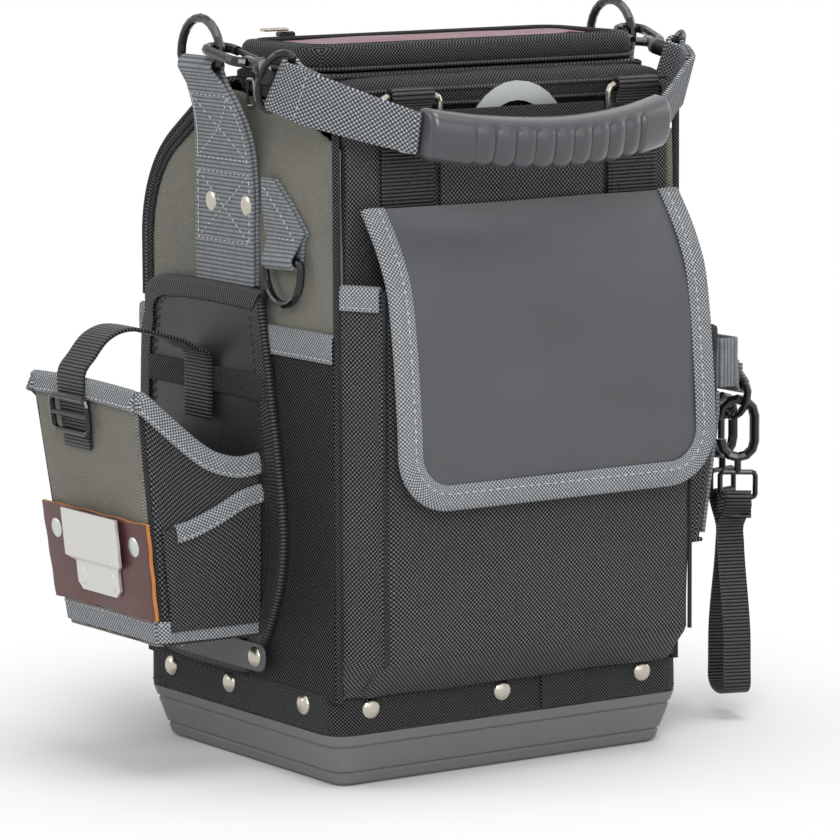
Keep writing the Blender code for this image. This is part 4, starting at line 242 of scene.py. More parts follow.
def thickened(piece: Piece, thickness: float, edge: float = 0.0) -> Piece:
    """Gives cloth its thickness on both sides and, if asked, rounds its edges."""
    worked(piece, "SOLIDIFY", thickness=thickness, offset=0.0, use_quality_normals=True)
    if edge:
        worked(piece, "BEVEL", width=edge, segments=2, limit_method="ANGLE", angle_limit=math.radians(50))
    return piece


def facing(piece: Piece, way: Sequence[float]) -> Piece:
    """Flips the faces of an open piece if most of them look away from a direction."""
    total = sum((face.normal * face.area for face in piece.data.polygons), Vector())
    if total.dot(Vector(way)) < 0:
        pick(piece)
        bpy.ops.object.mode_set(mode="EDIT")
        bpy.ops.mesh.select_all(action="SELECT")
        bpy.ops.mesh.flip_normals()
        bpy.ops.object.mode_set(mode="OBJECT")
    return piece


def moved(piece: Piece, shift: Callable[[Vector, Vector], Vector]) -> Piece:
    """Moves each point of a piece by what a rule of its place and normal gives, as a soft brush does."""
    shifts = [shift(vertex.co.copy(), vertex.normal.copy()) for vertex in piece.data.vertices]
    for vertex, step in zip(piece.data.vertices, shifts):
        vertex.co += step
    piece.data.update()
    return piece


def rumpled(piece: Piece, depth: float, size: float, seed: float = 0.0) -> Piece:
    """Presses soft shallow folds of a size into a piece along its normals."""
    def fold_shift(place: Vector, normal: Vector) -> Vector:
        """A sum of three slow waves that cross each other."""
        x, y, z = (place * (math.tau / size))
        wave = math.sin(x + 0.7 * z + seed) + math.sin(1.3 * y - 0.8 * z + 2.1 * seed)
        wave += math.sin(0.9 * z + 0.6 * (x + y) - seed)
        return normal * (depth * wave / 3)
    return moved(piece, fold_shift)


def smoothed(piece: Piece, degrees: float = 40.0) -> Piece:
    """Shades a piece smooth except at its sharp edges."""
    pick(piece)
    bpy.ops.object.shade_smooth_by_angle(angle=math.radians(degrees))
    return piece


def softened(node: str, name: str, levels: int = 2, crease: float = 0.55, angle: float = 32.0) -> Piece:
    """A finer copy of a soft CAD solid, whose hard edges turn into tight soft ones.

    Args:
        node: The CAD node to copy.
        name: Name of the new piece.
        levels: How often each face is divided.
        crease: How firm the hard edges stay, from 0 to 1.
        angle: Edges sharper than this many degrees are hard.

    Returns:
        The new piece with a box UV map.
    """
    piece = copied(node, name)
    pick(piece)
    bpy.ops.object.mode_set(mode="EDIT")
    bpy.ops.mesh.select_all(action="DESELECT")
    bpy.ops.mesh.edges_select_sharp(sharpness=math.radians(angle))
    bpy.ops.transform.edge_crease(value=crease)
    bpy.ops.object.mode_set(mode="OBJECT")
    worked(piece, "SUBSURF", levels=levels, render_levels=levels)
    return boxed(piece)


def stuffed(node: str, name: str, voxel: float, rounds: int = 3) -> Piece:
    """A copy of a padded CAD solid with an even fine mesh and rounded edges, ready for folds."""
    piece = copied(node, name)
    worked(piece, "REMESH", mode="VOXEL", voxel_size=voxel)
    worked(piece, "SMOOTH", factor=0.6, iterations=rounds)
    return boxed(piece)


def ringed(path: Sequence[Vector], radius: float, sides: int, closed: bool) -> Rows:
    """Rings of points round a path, each carried on from the last without a twist."""
    points = [Vector(point) for point in path]
    count = len(points)
    normal: Optional[Vector] = None
    rings: Rows = []
    for i, point in enumerate(points):
        before = points[i - 1] if i or closed else point
        after = points[(i + 1) % count] if i + 1 < count or closed else point
        tangent = (after - before).normalized()
        if normal is None:
            normal = tangent.orthogonal()
        normal = (normal - tangent * normal.dot(tangent)).normalized()
        side = tangent.cross(normal)
        turns = [math.tau * k / sides for k in range(sides)]
        ring = [point + (normal * math.cos(turn) + side * math.sin(turn)) * radius for turn in turns]
        rings.append(ring + ring[:1])
    if closed:
        rings.append(rings[0])
    return rings


def rolled(name: str, path: Sequence[Vector], radius: float, sides: int = 10, closed: bool = False) -> Piece:
    """A round cord along a path, rolled up from a grid and closed at its ends."""
    piece = laid(name, ringed(path, radius, sides, closed))
    return tidied(piece, merge=radius / 50, fill=not closed)


def turned(name: str, profile: Sequence[tuple[float, float]], steps: int = 20) -> Piece:
    """A round piece about +Z from its profile of (radius, height), as on a lathe."""
    rows = [[Vector((radius * math.cos(turn), radius * math.sin(turn), height)) for radius, height in profile]
            for turn in spaced(0.0, math.tau, steps)]
    return tidied(laid(name, rows), merge=0.00001, fill=True)


def duplicate(template: Piece, name: str, place: Matrix) -> Piece:
    """A copy of a piece with its own mesh, moved to its place in the mesh itself."""
    piece = bpy.data.objects.new(name, template.data.copy())
    piece.data.transform(place)
    piece.data.name = name
    bpy.context.scene.collection.objects.link(piece)
    return piece


def stood_on(centre: Sequence[float], normal: Sequence[float]) -> Matrix:
    """The place of a piece modelled about +Z that stands on a face."""
    turn = UP.rotation_difference(Vector(normal)).to_matrix().to_4x4()
    return Matrix.Translation(Vector(centre)) @ turn


# Paths


def spaced(start: float, end: float, steps: int) -> list[float]:
    """Evenly spaced values from start to end, both included."""
    return [start + (end - start) * i / steps for i in range(steps + 1)]


def divided(points: Sequence[Sequence[float]], count_of: Callable[[float], int]) -> list[Vector]:
    """A closed outline whose sides are cut into as many steps as a rule gives for their length."""
    fine: list[Vector] = []
    for a, b in zip(map(Vector, points), map(Vector, [*points[1:], points[0]])):
        count = count_of((b - a).length)
        fine += [a.lerp(b, i / count) for i in range(count)]
    return fine


def heading(path: Sequence[Vector], i: int) -> Vector:
    """The run of a path at one of its points, from the point before to the point after."""
    return path[min(i + 1, len(path) - 1)] - path[max(i - 1, 0)]


def arc(centre: Sequence[float], radius: float, start: float, end: float,
        steps: int) -> list[tuple[float, float]]:
    """Points (u, v) of an arc, ends included."""
    return [(centre[0] + radius * math.cos(angle), centre[1] + radius * math.sin(angle))
            for angle in spaced(start, end, steps)]


def rounded_rectangle(low_u: float, high_u: float, low_v: float, high_v: float, radius: float,
                      steps: int = 4) -> list[tuple[float, float]]:
    """Points (u, v) of a rectangle with round corners, anticlockwise."""
    quarter = math.pi / 2
    points: list[tuple[float, float]] = []
    for u, v, start in ((high_u - radius, low_v + radius, -quarter),
                        (high_u - radius, high_v - radius, 0.0),
                        (low_u + radius, high_v - radius, quarter),
                        (low_u + radius, low_v + radius, 2 * quarter)):
        points += arc((u, v), radius, start, start + quarter, steps)
    return points


def smooth_path(points: Sequence[Sequence[float]], steps: int = 4, closed: bool = False) -> list[Vector]:
    """A Catmull-Rom curve through points; an open one includes its ends."""
    points = [Vector(point) for point in points]
    if closed:
        padded = [points[-1]] + points + points[:2]
    else:
        padded = [2 * points[0] - points[1]] + points + [2 * points[-1] - points[-2]]
    path = []
    for a, b, c, d in zip(padded, padded[1:], padded[2:], padded[3:]):
        for step in range(steps):
            t = step / steps
            bend, twist = (2 * a - 5 * b + 4 * c - d) * t * t, (3 * b - a - 3 * c + d) * t ** 3
            path.append((2 * b + (c - a) * t + bend + twist) / 2)
    return path if closed else path + [points[-1]]


def along_path(path: Sequence[Vector], distance: float) -> Vector:
    """The point at a distance along a path, carried on straight past its end."""
    for first, second in zip(path, path[1:]):
        step = (second - first).length
        if distance <= step or second is path[-1]:
            return first + (second - first) * distance / step
        distance -= step
    return path[-1]


def path_length(path: Sequence[Vector]) -> float:
    """Length of a path."""
    return sum((b - a).length for a, b in zip(path, path[1:]))


def fold(bar: Sequence[float], out: Sequence[float], side: Sequence[float], wire_radius: float, web: float,
         lead: float = FREE_WRAP, trail: float = FREE_WRAP, steps: int = 12) -> list[Vector]:
    """Points of webbing folded round a bar, from the leg on the side towards side to the other leg.

    Args:
        bar: Middle of the bar.
        out: From the strap to the tip of the fold.
        side: Towards the first leg.
        wire_radius: Radius of the bar.
        web: Thickness of the webbing.
        lead: How far the first leg wraps round past the half circle.
        trail: How far the other leg does.
        steps: Number of steps round the bar.

    Returns:
        The points round the bar, without the legs.
    """
    centre, out, side = Vector(bar), Vector(out).normalized(), Vector(side).normalized()
    radius = wire_radius + LAYER_GAP + web / 2
    angles = [-lead + (math.pi + lead + trail) * i / steps for i in range(steps + 1)]
    return [centre + out * radius * math.sin(angle) + side * radius * math.cos(angle) for angle in angles]


def ribbon(spine: Sequence[Vector], half: Vector) -> Rows:
    """The two edge points of webbing at each point of its spine."""
    return [[point - half, point + half] for point in spine]


@dataclass
class Strip:
    """Webbing or tape between two edges.

    rows holds the two edge points at each station along it.
    """

    rows: Rows

    def smooth(self, steps: int = 3) -> "Strip":
        """The same strip with more stations on a smooth curve through the old ones."""
        edges = [smooth_path([row[side] for row in self.rows], steps) for side in (0, 1)]
        return Strip([[left, right] for left, right in zip(*edges)])

    def length(self) -> float:
        """Length of its middle line."""
        return path_length([(left + right) / 2 for left, right in self.rows])

    def build(self, name: str, thickness: float, columns: int = 6) -> Piece:
        """The strip as a thick piece with rounded edges.

        Args:
            name: Name of the piece.
            thickness: Thickness of the webbing.
            columns: Number of faces across it.

        Returns:
            The piece with its UV map in metres.
        """
        shares = spaced(0.0, 1.0, columns)
        rows = [[left.lerp(right, share) for share in shares] for left, right in self.rows]
        return thickened(laid(name, rows), thickness, thickness * 0.28)

    def at(self, share: float, distance: float, lift: float) -> tuple[Vector, Vector]:
        """A point over the strip and the way off its face.

        Args:
            share: Place across it, 0 at the first edge and 1 at the other.
            distance: Place along its middle line.
            lift: Height over its middle surface.

        Returns:
            The point and the unit normal, which points to the side that across x along gives.
        """
        middles = [(left + right) / 2 for left, right in self.rows]
        travelled = 0.0
        last = len(middles) - 2
        for i in range(last + 1):
            step = (middles[i + 1] - middles[i]).length
            if travelled + step >= distance or i == last:
                t = max(0.0, min(1.0, (distance - travelled) / step))
                left = self.rows[i][0].lerp(self.rows[i + 1][0], t)
                right = self.rows[i][1].lerp(self.rows[i + 1][1], t)
                normal = (right - left).cross(middles[i + 1] - middles[i]).normalized()
                return left.lerp(right, share) + normal * lift, normal
            travelled += step
        return middles[-1], UP


Seam = list[tuple[Vector, Vector]]


def seam_on(strip: Strip, corners: Sequence[tuple[float, float]], lift: float) -> Seam:
    """A seam of straight runs between corners (share across, distance along) of a strip."""
    seam: Seam = []
    for (share, distance), (share2, distance2) in zip(corners, corners[1:]):
        width = (strip.rows[0][1] - strip.rows[0][0]).length
        count = max(2, round(math.hypot((share2 - share) * width, distance2 - distance) / 0.002))
        for i in range(count + (1 if (share2, distance2) == corners[-1] else 0)):
            t = i / count
            seam.append(strip.at(share + (share2 - share) * t, distance + (distance2 - distance) * t, lift))
    return seam


def scattered(piece: Piece, name: str, places: Sequence[tuple[Sequence[Vector], Vector]]) -> Piece:
    """Turns a small piece into one mesh of many copies of it.

    Args:
        piece: The piece, modelled on the origin.
        name: Name of the result.
        places: The three axes, with their scale, and the centre of each copy.

    Returns:
        The same object with the copies as its mesh.
    """
    points = np.array([tuple(vertex.co) for vertex in piece.data.vertices])
    faces = [tuple(face.vertices) for face in piece.data.polygons]
    copies = [points @ np.array([tuple(axis) for axis in axes]) + np.array(tuple(centre))
              for axes, centre in places]
    polygons = [[number * len(points) + corner for corner in face] for number in range(len(places))
                for face in faces]
    mesh = bpy.data.meshes.new(name)
    mesh.from_pydata(np.concatenate(copies).tolist(), [], polygons)
    piece.name, piece.data = name, mesh
    piece.matrix_world = Matrix.Identity(4)
    return piece


def edge_seam(path: Sequence[Vector], outs: Sequence[Vector], downs: Sequence[Vector], lift: float,
              drop: float) -> Seam:
    """A seam beside an edge, lifted off the cloth and a drop below the edge."""
    return [(point + out * lift + down * drop, out) for point, out, down in zip(path, outs, downs)]


def bound_edge(name: str, path: Sequence[Vector], outs: Sequence[Vector], downs: Sequence[Vector],
               width: float, wall: float, stand: float = 0.0006, inner: float = 0.6) -> Piece:
    """Binding tape folded over the edge of a wall.

    Args:
        name: Name of the piece.
        path: Points along the outer corner of the edge.
        outs: The way out of the wall's outer face at each point.
        downs: The way from the edge into the wall at each point.
        width: How far the tape comes down the outer face.
        wall: Thickness of the wall.
        stand: How far the tape's middle lies off the wall.
        inner: Share of the width on the inner face.

    Returns:
        The folded tape as a thick piece.
    """
    rows: Rows = []
    for point, out, down in zip(path, outs, downs):
        over = wall / 2 + stand
        centre = point - out * wall / 2
        row = [point + out * stand + down * width, point + out * stand * 1.3 + down * width * 0.5,
               point + out * stand + down * over * 0.6]
        for angle in (35, 90, 145):
            turn = math.radians(angle)
            row.append(centre + out * over * math.cos(turn) - down * (over * math.sin(turn) - over * 0.25))
        inside = point - out * (wall + stand)
        row += [inside + down * over * 0.6, inside + down * width * inner]
        rows.append(row)
    return thickened(laid(name, rows), stand * 1.1)


# Finishes


def add(tree: Tree, kind: str, settings: Optional[dict[Any, Any]] = None) -> bpy.types.Node:
    """Adds a node with its settings and links.

    Args:
        tree: The material's or world's node tree.
        kind: Blender's name for the node type.
        settings: Values or sockets by input name or number, and the node's options by lower-case name.

    Returns:
        The node.
    """
    node = tree.nodes.new(kind)
    for key, value in (settings or {}).items():
        if isinstance(value, Socket):
            tree.links.new(value, node.inputs[key])
        elif isinstance(key, int) or key[0].isupper():
            node.inputs[key].default_value = value
        else:
            setattr(node, key, value)
    return node


def noise(tree: Tree, place: Socket, scale: float, detail: float = 2.0, roughness: float = 0.5) -> Socket:
    """Cloudy noise, from 0 to 1."""
    settings = {"Scale": scale, "Detail": detail, "Roughness": roughness, "Vector": place}
    return add(tree, "ShaderNodeTexNoise", settings).outputs["Fac"]


def blend(tree: Tree, share: Socket, low: Any, high: Any) -> Socket:
    """A colour between two, each a value or a socket."""
    return add(tree, "ShaderNodeMix", {"data_type": "RGBA", 0: share, 6: low, 7: high}).outputs[2]


def spread(tree: Tree, value: Socket, low: float, high: float, start: float = 0.3,
           end: float = 0.7) -> Socket:
    """A value stretched from start..end to low..high, and held between them and below 1."""
    settings = {0: value, 1: start, 2: end, 3: min(1.0, low), 4: min(1.0, high)}
    return add(tree, "ShaderNodeMapRange", settings).outputs[0]


def bumped(tree: Tree, height: Socket, distance: float, strength: float,
           over: Optional[Socket] = None) -> Socket:
    """A normal bent by a height, over another bump if one is given."""
    settings = {"Strength": strength, "Distance": distance, "Height": height}
    if over is not None:
        settings["Normal"] = over
    return add(tree, "ShaderNodeBump", settings).outputs["Normal"]


def calc(tree: Tree, operation: str, first: Any, second: Any = 0.0) -> Socket:
    """One sum or function of one or two values, each a number or a socket."""
    return add(tree, "ShaderNodeMath", {"operation": operation, 0: first, 1: second}).outputs[0]


def shade(hex_colour: str, light: float = 1.0) -> tuple[float, float, float, float]:
    """An sRGB hex colour as linear values, made lighter or darker by a factor."""
    channels = [int(hex_colour[i:i + 2], 16) / 255 for i in (0, 2, 4)]
    line = [c / 12.92 if c <= 0.04045 else ((c + 0.055) / 1.055) ** 2.4 for c in channels]
    return (*[min(1.0, c * light) for c in line], 1.0)


class Weave(Enum):
    """How the threads of a fabric or tape cross."""

    PLAIN = "plain"
    RIB = "rib"


@dataclass(frozen=True)
class Finish:
    """A plain moulded or cast finish with a fine grain: a colour, its gloss and small bumps."""

    name: str
    colour: str
    roughness: float = 0.5
    metallic: float = 0.0
    ior: float = 1.5
    grain: float = 0.0004
    relief: float = 0.00003
    mottle: float = 0.06
    coat: float = 0.0
    sheen: float = 0.0

    def make(self) -> bpy.types.Material:
        """The Blender material, made once."""
        old = bpy.data.materials.get(self.name)
        if old:
            return old
        made = bpy.data.materials.new(self.name)
        made.use_nodes = True
        tree = made.node_tree
        inputs = tree.nodes["Principled BSDF"].inputs
        for key, value in {"Roughness": self.roughness, "Metallic": self.metallic, "Coat Weight": self.coat,
                           "Coat Roughness": 0.22, "Sheen Weight": self.sheen}.items():
            inputs[key].default_value = value
        if self.metallic == 0.0:
            inputs["IOR"].default_value = self.ior
        for key, socket in self.detail(tree, add(tree, "ShaderNodeTexCoord").outputs["Object"]).items():
            tree.links.new(socket, inputs[key])
        return made

    def tint(self, light: float) -> tuple[float, float, float, float]:
        """The colour, made lighter or darker by a factor."""
        return shade(self.colour, light)

    def detail(self, tree: Tree, place: Socket) -> dict[str, Socket]:
        """The grain: slow mottling of the colour and fine bumps, as sockets by the shader's input names."""
        slow = noise(tree, place, 24.0, 3.0, 0.6)
        fine = noise(tree, place, 1 / self.grain)
        return {"Base Color": blend(tree, slow, self.tint(1 - self.mottle), self.tint(1 + self.mottle)),
                "Roughness": spread(tree, slow, self.roughness * 0.88, self.roughness * 1.12),
                "Normal": bumped(tree, fine, self.relief, 0.6)}


@dataclass(frozen=True)
class Woven(Finish):
    """A woven fabric or tape: threads of a pitch cross in one of the weaves, with painted shade darkening the
    gaps between them and painted highlights lightening the thread tops.
    """

    weave: Weave = Weave.PLAIN
    pitch: float = 0.0012
    # gap: colour factor of the gaps between the threads, a painted shade; the painted highlight on the thread
    # tops is worked out from it too
    gap: float = 0.45
    depth: float = 0.00025

    def threads(self, tree: Tree) -> Socket:
        """Height of the threads from 0 in the gaps to 1 on top, from the piece's UV map in metres."""
        parts = add(tree, "ShaderNodeSeparateXYZ", {0: add(tree, "ShaderNodeTexCoord").outputs["UV"]})
        across, along = (calc(tree, "MULTIPLY", parts.outputs[i], math.pi / self.pitch) for i in (0, 1))
        if self.weave is Weave.RIB:
            return calc(tree, "ABSOLUTE", calc(tree, "SINE", along))
        knots = calc(tree, "MULTIPLY", calc(tree, "COSINE", across), calc(tree, "COSINE", along))
        settings = {"interpolation_type": "SMOOTHSTEP", 0: knots, 1: -0.25, 2: 0.75}
        return add(tree, "ShaderNodeMapRange", settings).outputs[0]

    def detail(self, tree: Tree, place: Socket) -> dict[str, Socket]:
        """The weave: gaps darkened by painted shade that don't shine, thread tops lightened by painted
        highlights, uneven threads and slow fading.
        """
        height = self.threads(tree)
        slow = noise(tree, place, 16.0, 3.0, 0.6)
        yarn = noise(tree, place, 0.6 / self.pitch)
        # Painted highlight: the thread tops are tinted lighter than the cloth, the more so the darker the
        # gaps are
        top = 1 + (1 - self.gap) * 0.95
        # Painted shade: the gaps are tinted darker by the gap factor, fading slowly and unevenly
        dark = blend(tree, slow, self.tint(self.gap * 0.6), self.tint(self.gap * 1.4))
        light = blend(tree, yarn, self.tint(top * 1.45), self.tint(top * 0.65))
        return {"Base Color": blend(tree, height, dark, light),
                "Roughness": spread(tree, height, self.roughness * 1.1, self.roughness * 0.9, 0.0, 1.0),
                "Specular IOR Level": spread(tree, height, 0.0, 0.55, 0.0, 1.0),
                "Normal": bumped(tree, yarn, self.depth / 2, 0.25, bumped(tree, height, self.depth, 0.7))}


@dataclass(frozen=True)
class Hide(Finish):
    """Leather or vinyl: cells of a pebbled grain with fine creases between them."""

    cell: float = 0.0011
    # crease: colour factor of the creases between the cells, a painted shade
    crease: float = 0.7

    def detail(self, tree: Tree, place: Socket) -> dict[str, Socket]:
        """The pebbled grain, with creases darkened by painted shade and rubbed lighter patches."""
        settings = {"feature": "DISTANCE_TO_EDGE", "Scale": 1 / self.cell, "Randomness": 0.9, "Vector": place}
        cells = add(tree, "ShaderNodeTexVoronoi", settings).outputs["Distance"]
        height = spread(tree, cells, 0.0, 1.0, 0.0, 0.22)
        rubbed = noise(tree, place, 38.0, 4.0, 0.65)
        worn = blend(tree, rubbed, self.tint(1 - self.mottle * 1.6), self.tint(1 + self.mottle * 1.6))
        # Painted shade: the creases between the cells are tinted darker by the crease factor
        return {"Base Color": blend(tree, height, self.tint(self.crease), worn),
                "Roughness": spread(tree, rubbed, self.roughness * 0.8, self.roughness * 1.15),
                "Normal": bumped(tree, height, self.relief, 0.5)}


@dataclass(frozen=True)
class Brushed(Finish):
    """Brushed metal: long fine scratches along one axis."""

    def detail(self, tree: Tree, place: Socket) -> dict[str, Socket]:
        """The scratches in the gloss and the bumps."""
        drawn = add(tree, "ShaderNodeMapping", {"Scale": (1.0, 1.0, 0.04), "Vector": place}).outputs[0]
        lines = noise(tree, drawn, 1 / self.grain, 3.0)
        return {"Base Color": blend(tree, lines, self.tint(1 - self.mottle), self.tint(1 + self.mottle)),
                "Roughness": spread(tree, lines, self.roughness * 0.75, self.roughness * 1.3),
                "Normal": bumped(tree, lines, self.relief, 0.3)}


# Ballistic nylon: thick shiny yarns, seen as staggered light oval loops 2.2 mm apart on near black: painted
# highlights on the yarns, and black cloth darkened further by painted shade in the gaps
BALLISTIC = Woven("ballistic_nylon_woven", "4D4D4E", 0.50, sheen=0.03, pitch=0.0011, gap=0.20, depth=0.00045)
# The same cloth where it is dyed deep black, on the side pockets and inside
LINING = Woven("black_nylon_woven", "2C2C2D", 0.55, sheen=0.03, pitch=0.0011, gap=0.12, depth=0.00040)
# Oxford nylon, olive khaki: real threads of 0.4 mm are drawn at 0.8 mm so that they still show
KHAKI = Woven("khaki_oxford_nylon_woven", "7C7A71", 0.85, sheen=0.08, pitch=0.0008, gap=0.62, depth=0.00014)
# Polyester binding tape, grey: rows of small knots 2 mm apart, lightened by painted highlights, with painted
# shade between them
GREY_TAPE = Woven("grey_binding_tape_woven", "94989B", 0.75, sheen=0.06, pitch=0.0010, gap=0.34,
                  depth=0.00040)
# Polyester binding tape, black: the same knots, closer and deeper
BLACK_TAPE = Woven("black_binding_tape_woven", "38383A", 0.55, sheen=0.03, pitch=0.0009, gap=0.25,
                   depth=0.00045)
# Nylon webbing, light grey: coarse knots in staggered rows, 2.4 mm apart, lightened by painted highlights,
# with painted shade between them
GREY_WEBBING = Woven("grey_diamond_webbing_woven", "878A8E", 0.65, sheen=0.06, pitch=0.0012, gap=0.26,
                     depth=0.00060)
# Nylon webbing, grey and ribbed across, for the side straps and tabs
GREY_RIBBED = Woven("grey_ribbed_webbing_woven", "6C7073", 0.80, sheen=0.06, weave=Weave.RIB, pitch=0.0021,
                    gap=0.58, depth=0.00045)
# Grosgrain and strap webbing, black: ribs across of 1.7 mm with a painted highlight on top and painted shade
# between them
BLACK_RIBBED = Woven("black_ribbed_webbing_woven", "232324", 0.50, sheen=0.03, weave=Weave.RIB, pitch=0.0018,
                     gap=0.08, depth=0.00070)
# Polyurethane-coated fabric, dark grey and calendered: a dull skin, clouded where it is rubbed
COATED = Finish("coated_fabric_calendered", "4A4B4E", 0.46, grain=0.0007, relief=0.00005, mottle=0.13)
# Vinyl, black and embossed, on the holster's back
BLACK_VINYL = Hide("black_vinyl_embossed", "28292C", 0.46, mottle=0.08, relief=0.00003, cell=0.0008,
                   crease=0.9)
# Vinyl, burgundy and embossed, on the lid
BURGUNDY_VINYL = Hide("burgundy_vinyl_embossed", "765058", 0.48, mottle=0.05, relief=0.00003, cell=0.0009,
                      crease=0.92)
# Bridle leather, dyed brown and waxed: a pebbled grain, rubbed lighter in places
LEATHER = Hide("brown_leather_waxed", "5A3634", 0.45, mottle=0.12, relief=0.00008, cell=0.0014, crease=0.72)
# Cut edge of that leather, left raw: orange tan and fibrous
RAW_EDGE = Finish("raw_leather_edge_cut", "BE7A3C", 0.80, grain=0.0008, relief=0.0002, mottle=0.22)
# Synthetic rubber, moulded, charcoal: a satin skin with a faint sheen
RUBBER = Finish("charcoal_rubber_moulded", "34363A", 0.36, ior=1.52, coat=0.65, grain=0.0007, relief=0.00004,
                mottle=0.05)
# Thermoplastic rubber of the tub, moulded in mid grey with an eggshell texture
TUB_RUBBER = Finish("grey_tub_rubber_moulded", "6B6B6A", 0.55, ior=1.5, grain=0.0006, relief=0.00006,
                    mottle=0.04)
# Steel, blackened and oiled: dark with sharp white highlights
GUNMETAL = Finish("gunmetal_blackened_steel", "2E2F31", 0.24, metallic=0.85, grain=0.0010, relief=0.00001,
                  mottle=0.05, coat=0.3)
# Steel, nickel plated: warm white and mirror-like with slight scratches
NICKEL = Brushed("nickel_plated_steel", "BDB7AC", 0.24, metallic=1.0, grain=0.0006, relief=0.00001,
                 mottle=0.05)
# Stainless steel sheet, brushed: pale and satin
SATIN_STEEL = Brushed("stainless_steel_brushed", "C9CDCB", 0.36, metallic=1.0, grain=0.0004, relief=0.00002,
                      mottle=0.05)
# Steel sheet, painted with a pale clear lacquer
PALE_STEEL = Brushed("lacquered_steel_sheet", "D2D0CB", 0.34, metallic=0.55, grain=0.0005, relief=0.000002,
                     mottle=0.015)
# Polyester sewing thread in three dyes: short glossy twisted beads
WHITE_THREAD = Finish("white_polyester_thread_spun", "BCBFC0", 0.60, grain=0.0003, relief=0.00008, sheen=0.1)
BLACK_THREAD = Finish("black_polyester_thread_spun", "1C1C1D", 0.55, grain=0.0003, relief=0.00008, sheen=0.1)
# Acetal zip teeth, moulded black
ZIP_ACETAL = Finish("black_acetal_zip_teeth_moulded", "1B1B1C", 0.35, ior=1.48, grain=0.0008, mottle=0.04)


def dressed(piece: Piece, finish: Finish, body: str, *nodes: str, degrees: float = 60.0) -> Piece:
    """Shades a new piece smooth and gives it its finish and body.

    Args:
        piece: The piece.
        finish: What it is made of.
        body: The body that it rides on.
        nodes: The CAD nodes that it stands for.
        degrees: Edges sharper than this stay sharp; 0 leaves the shading as it is.

    Returns:
        The same piece.
    """
    if degrees:
        smoothed(piece, degrees)
    if not piece.data.materials:
        piece.data.materials.append(finish.make())
    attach(piece, body)
    if nodes:
        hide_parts(*nodes)
    LOG.info("%s: %d faces on %s, for %s", piece.name, len(piece.data.polygons), body, nodes or "no CAD node")
    return piece


def corded(name: str, path: Sequence[Vector], radius: float, finish: Finish, body: str, sides: int = 8,
           closed: bool = False) -> Piece:
    """A round piping cord along a path, with its finish and body."""
    return dressed(rolled(name, path, radius, sides, closed), finish, body)


def sewn(name: str, seams: Sequence[Seam], thread: Finish, body: str,
         stitch: tuple[float, float, float] = LOCK_STITCH) -> Piece:
    """One piece of sewing thread: a small bead of thread for every stitch of some seams.

    Args:
        name: Name of the piece.
        seams: Each seam as points on the cloth with the normal there.
        thread: What it is made of.
        body: The body that it rides on.
        stitch: Length of one stitch, the gap to the next one and the thread's radius.

    Returns:
        The piece; each stitch has 20 faces.
    """
    length, gap, radius = stitch
    deselect()
    bpy.ops.mesh.primitive_ico_sphere_add(subdivisions=1, radius=1.0)
    places = []
    for seam in seams:
        path = [point for point, _ in seam]
        steps = [0.0]
        for a, b in zip(path, path[1:]):
            steps.append(steps[-1] + (b - a).length)
        travelled = gap
        while travelled + length < steps[-1]:
            middle = travelled + length / 2
            i = min(max(0, int(np.searchsorted(steps, middle)) - 1), len(path) - 2)
            t = (middle - steps[i]) / max(steps[i + 1] - steps[i], 1e-9)
            along, normal = (path[i + 1] - path[i]).normalized(), seam[i][1]
            side = normal.cross(along).normalized()
            places.append(((along * length / 2, side * radius, normal * radius),
                           path[i].lerp(path[i + 1], t)))
            travelled += length + gap
    bead = scattered(bpy.context.object, name, places)
    bead.data.shade_smooth()
    return dressed(bead, thread, body, degrees=0)


def taped(stem: str, path: Sequence[Vector], outs: Sequence[Vector], downs: Sequence[Vector],
          tape: tuple[float, float, float, float], seam: tuple[float, float]) -> None:
    """Folds grey tape over an edge of the bag and sews it down with white thread.

    Args:
        stem: Start of the two pieces' names.
        path: Points along the edge.
        outs: The way out of the cloth at each point.
        downs: The way from the edge into the cloth at each point.
        tape: Width of the fold, the wall's thickness, how far it stands off and its inner share.
        seam: How far the seam is lifted off and how far it is set down from the edge.
    """
    dressed(bound_edge(f"{stem}_binding", path, outs, downs, *tape), GREY_TAPE, "bag")
    sewn(f"{stem}_seam", [edge_seam(path, outs, downs, *seam)], WHITE_THREAD, "bag")


def cushion(node: str, name: str, finish: Finish, body: str, levels: int, crease: float,
            folds: tuple[float, float, float] = (0.0, 1.0, 0.0), degrees: float = 60.0) -> Piece:
    """A dressed soft copy of a CAD node, divided by levels, with shallow folds of a depth, size and seed."""
    piece = rumpled(softened(node, name, levels, crease), *folds)
    return dressed(boxed(piece), finish, body, node, degrees=degrees)


def refinished(node: str, finish: Finish) -> None:
    """Gives a rigid CAD node whose shape is right its better material."""
    piece = bpy.data.objects[node]
    for slot in piece.material_slots:
        slot.material = finish.make()
    LOG.info("%s: CAD node, %s", node, finish.name)


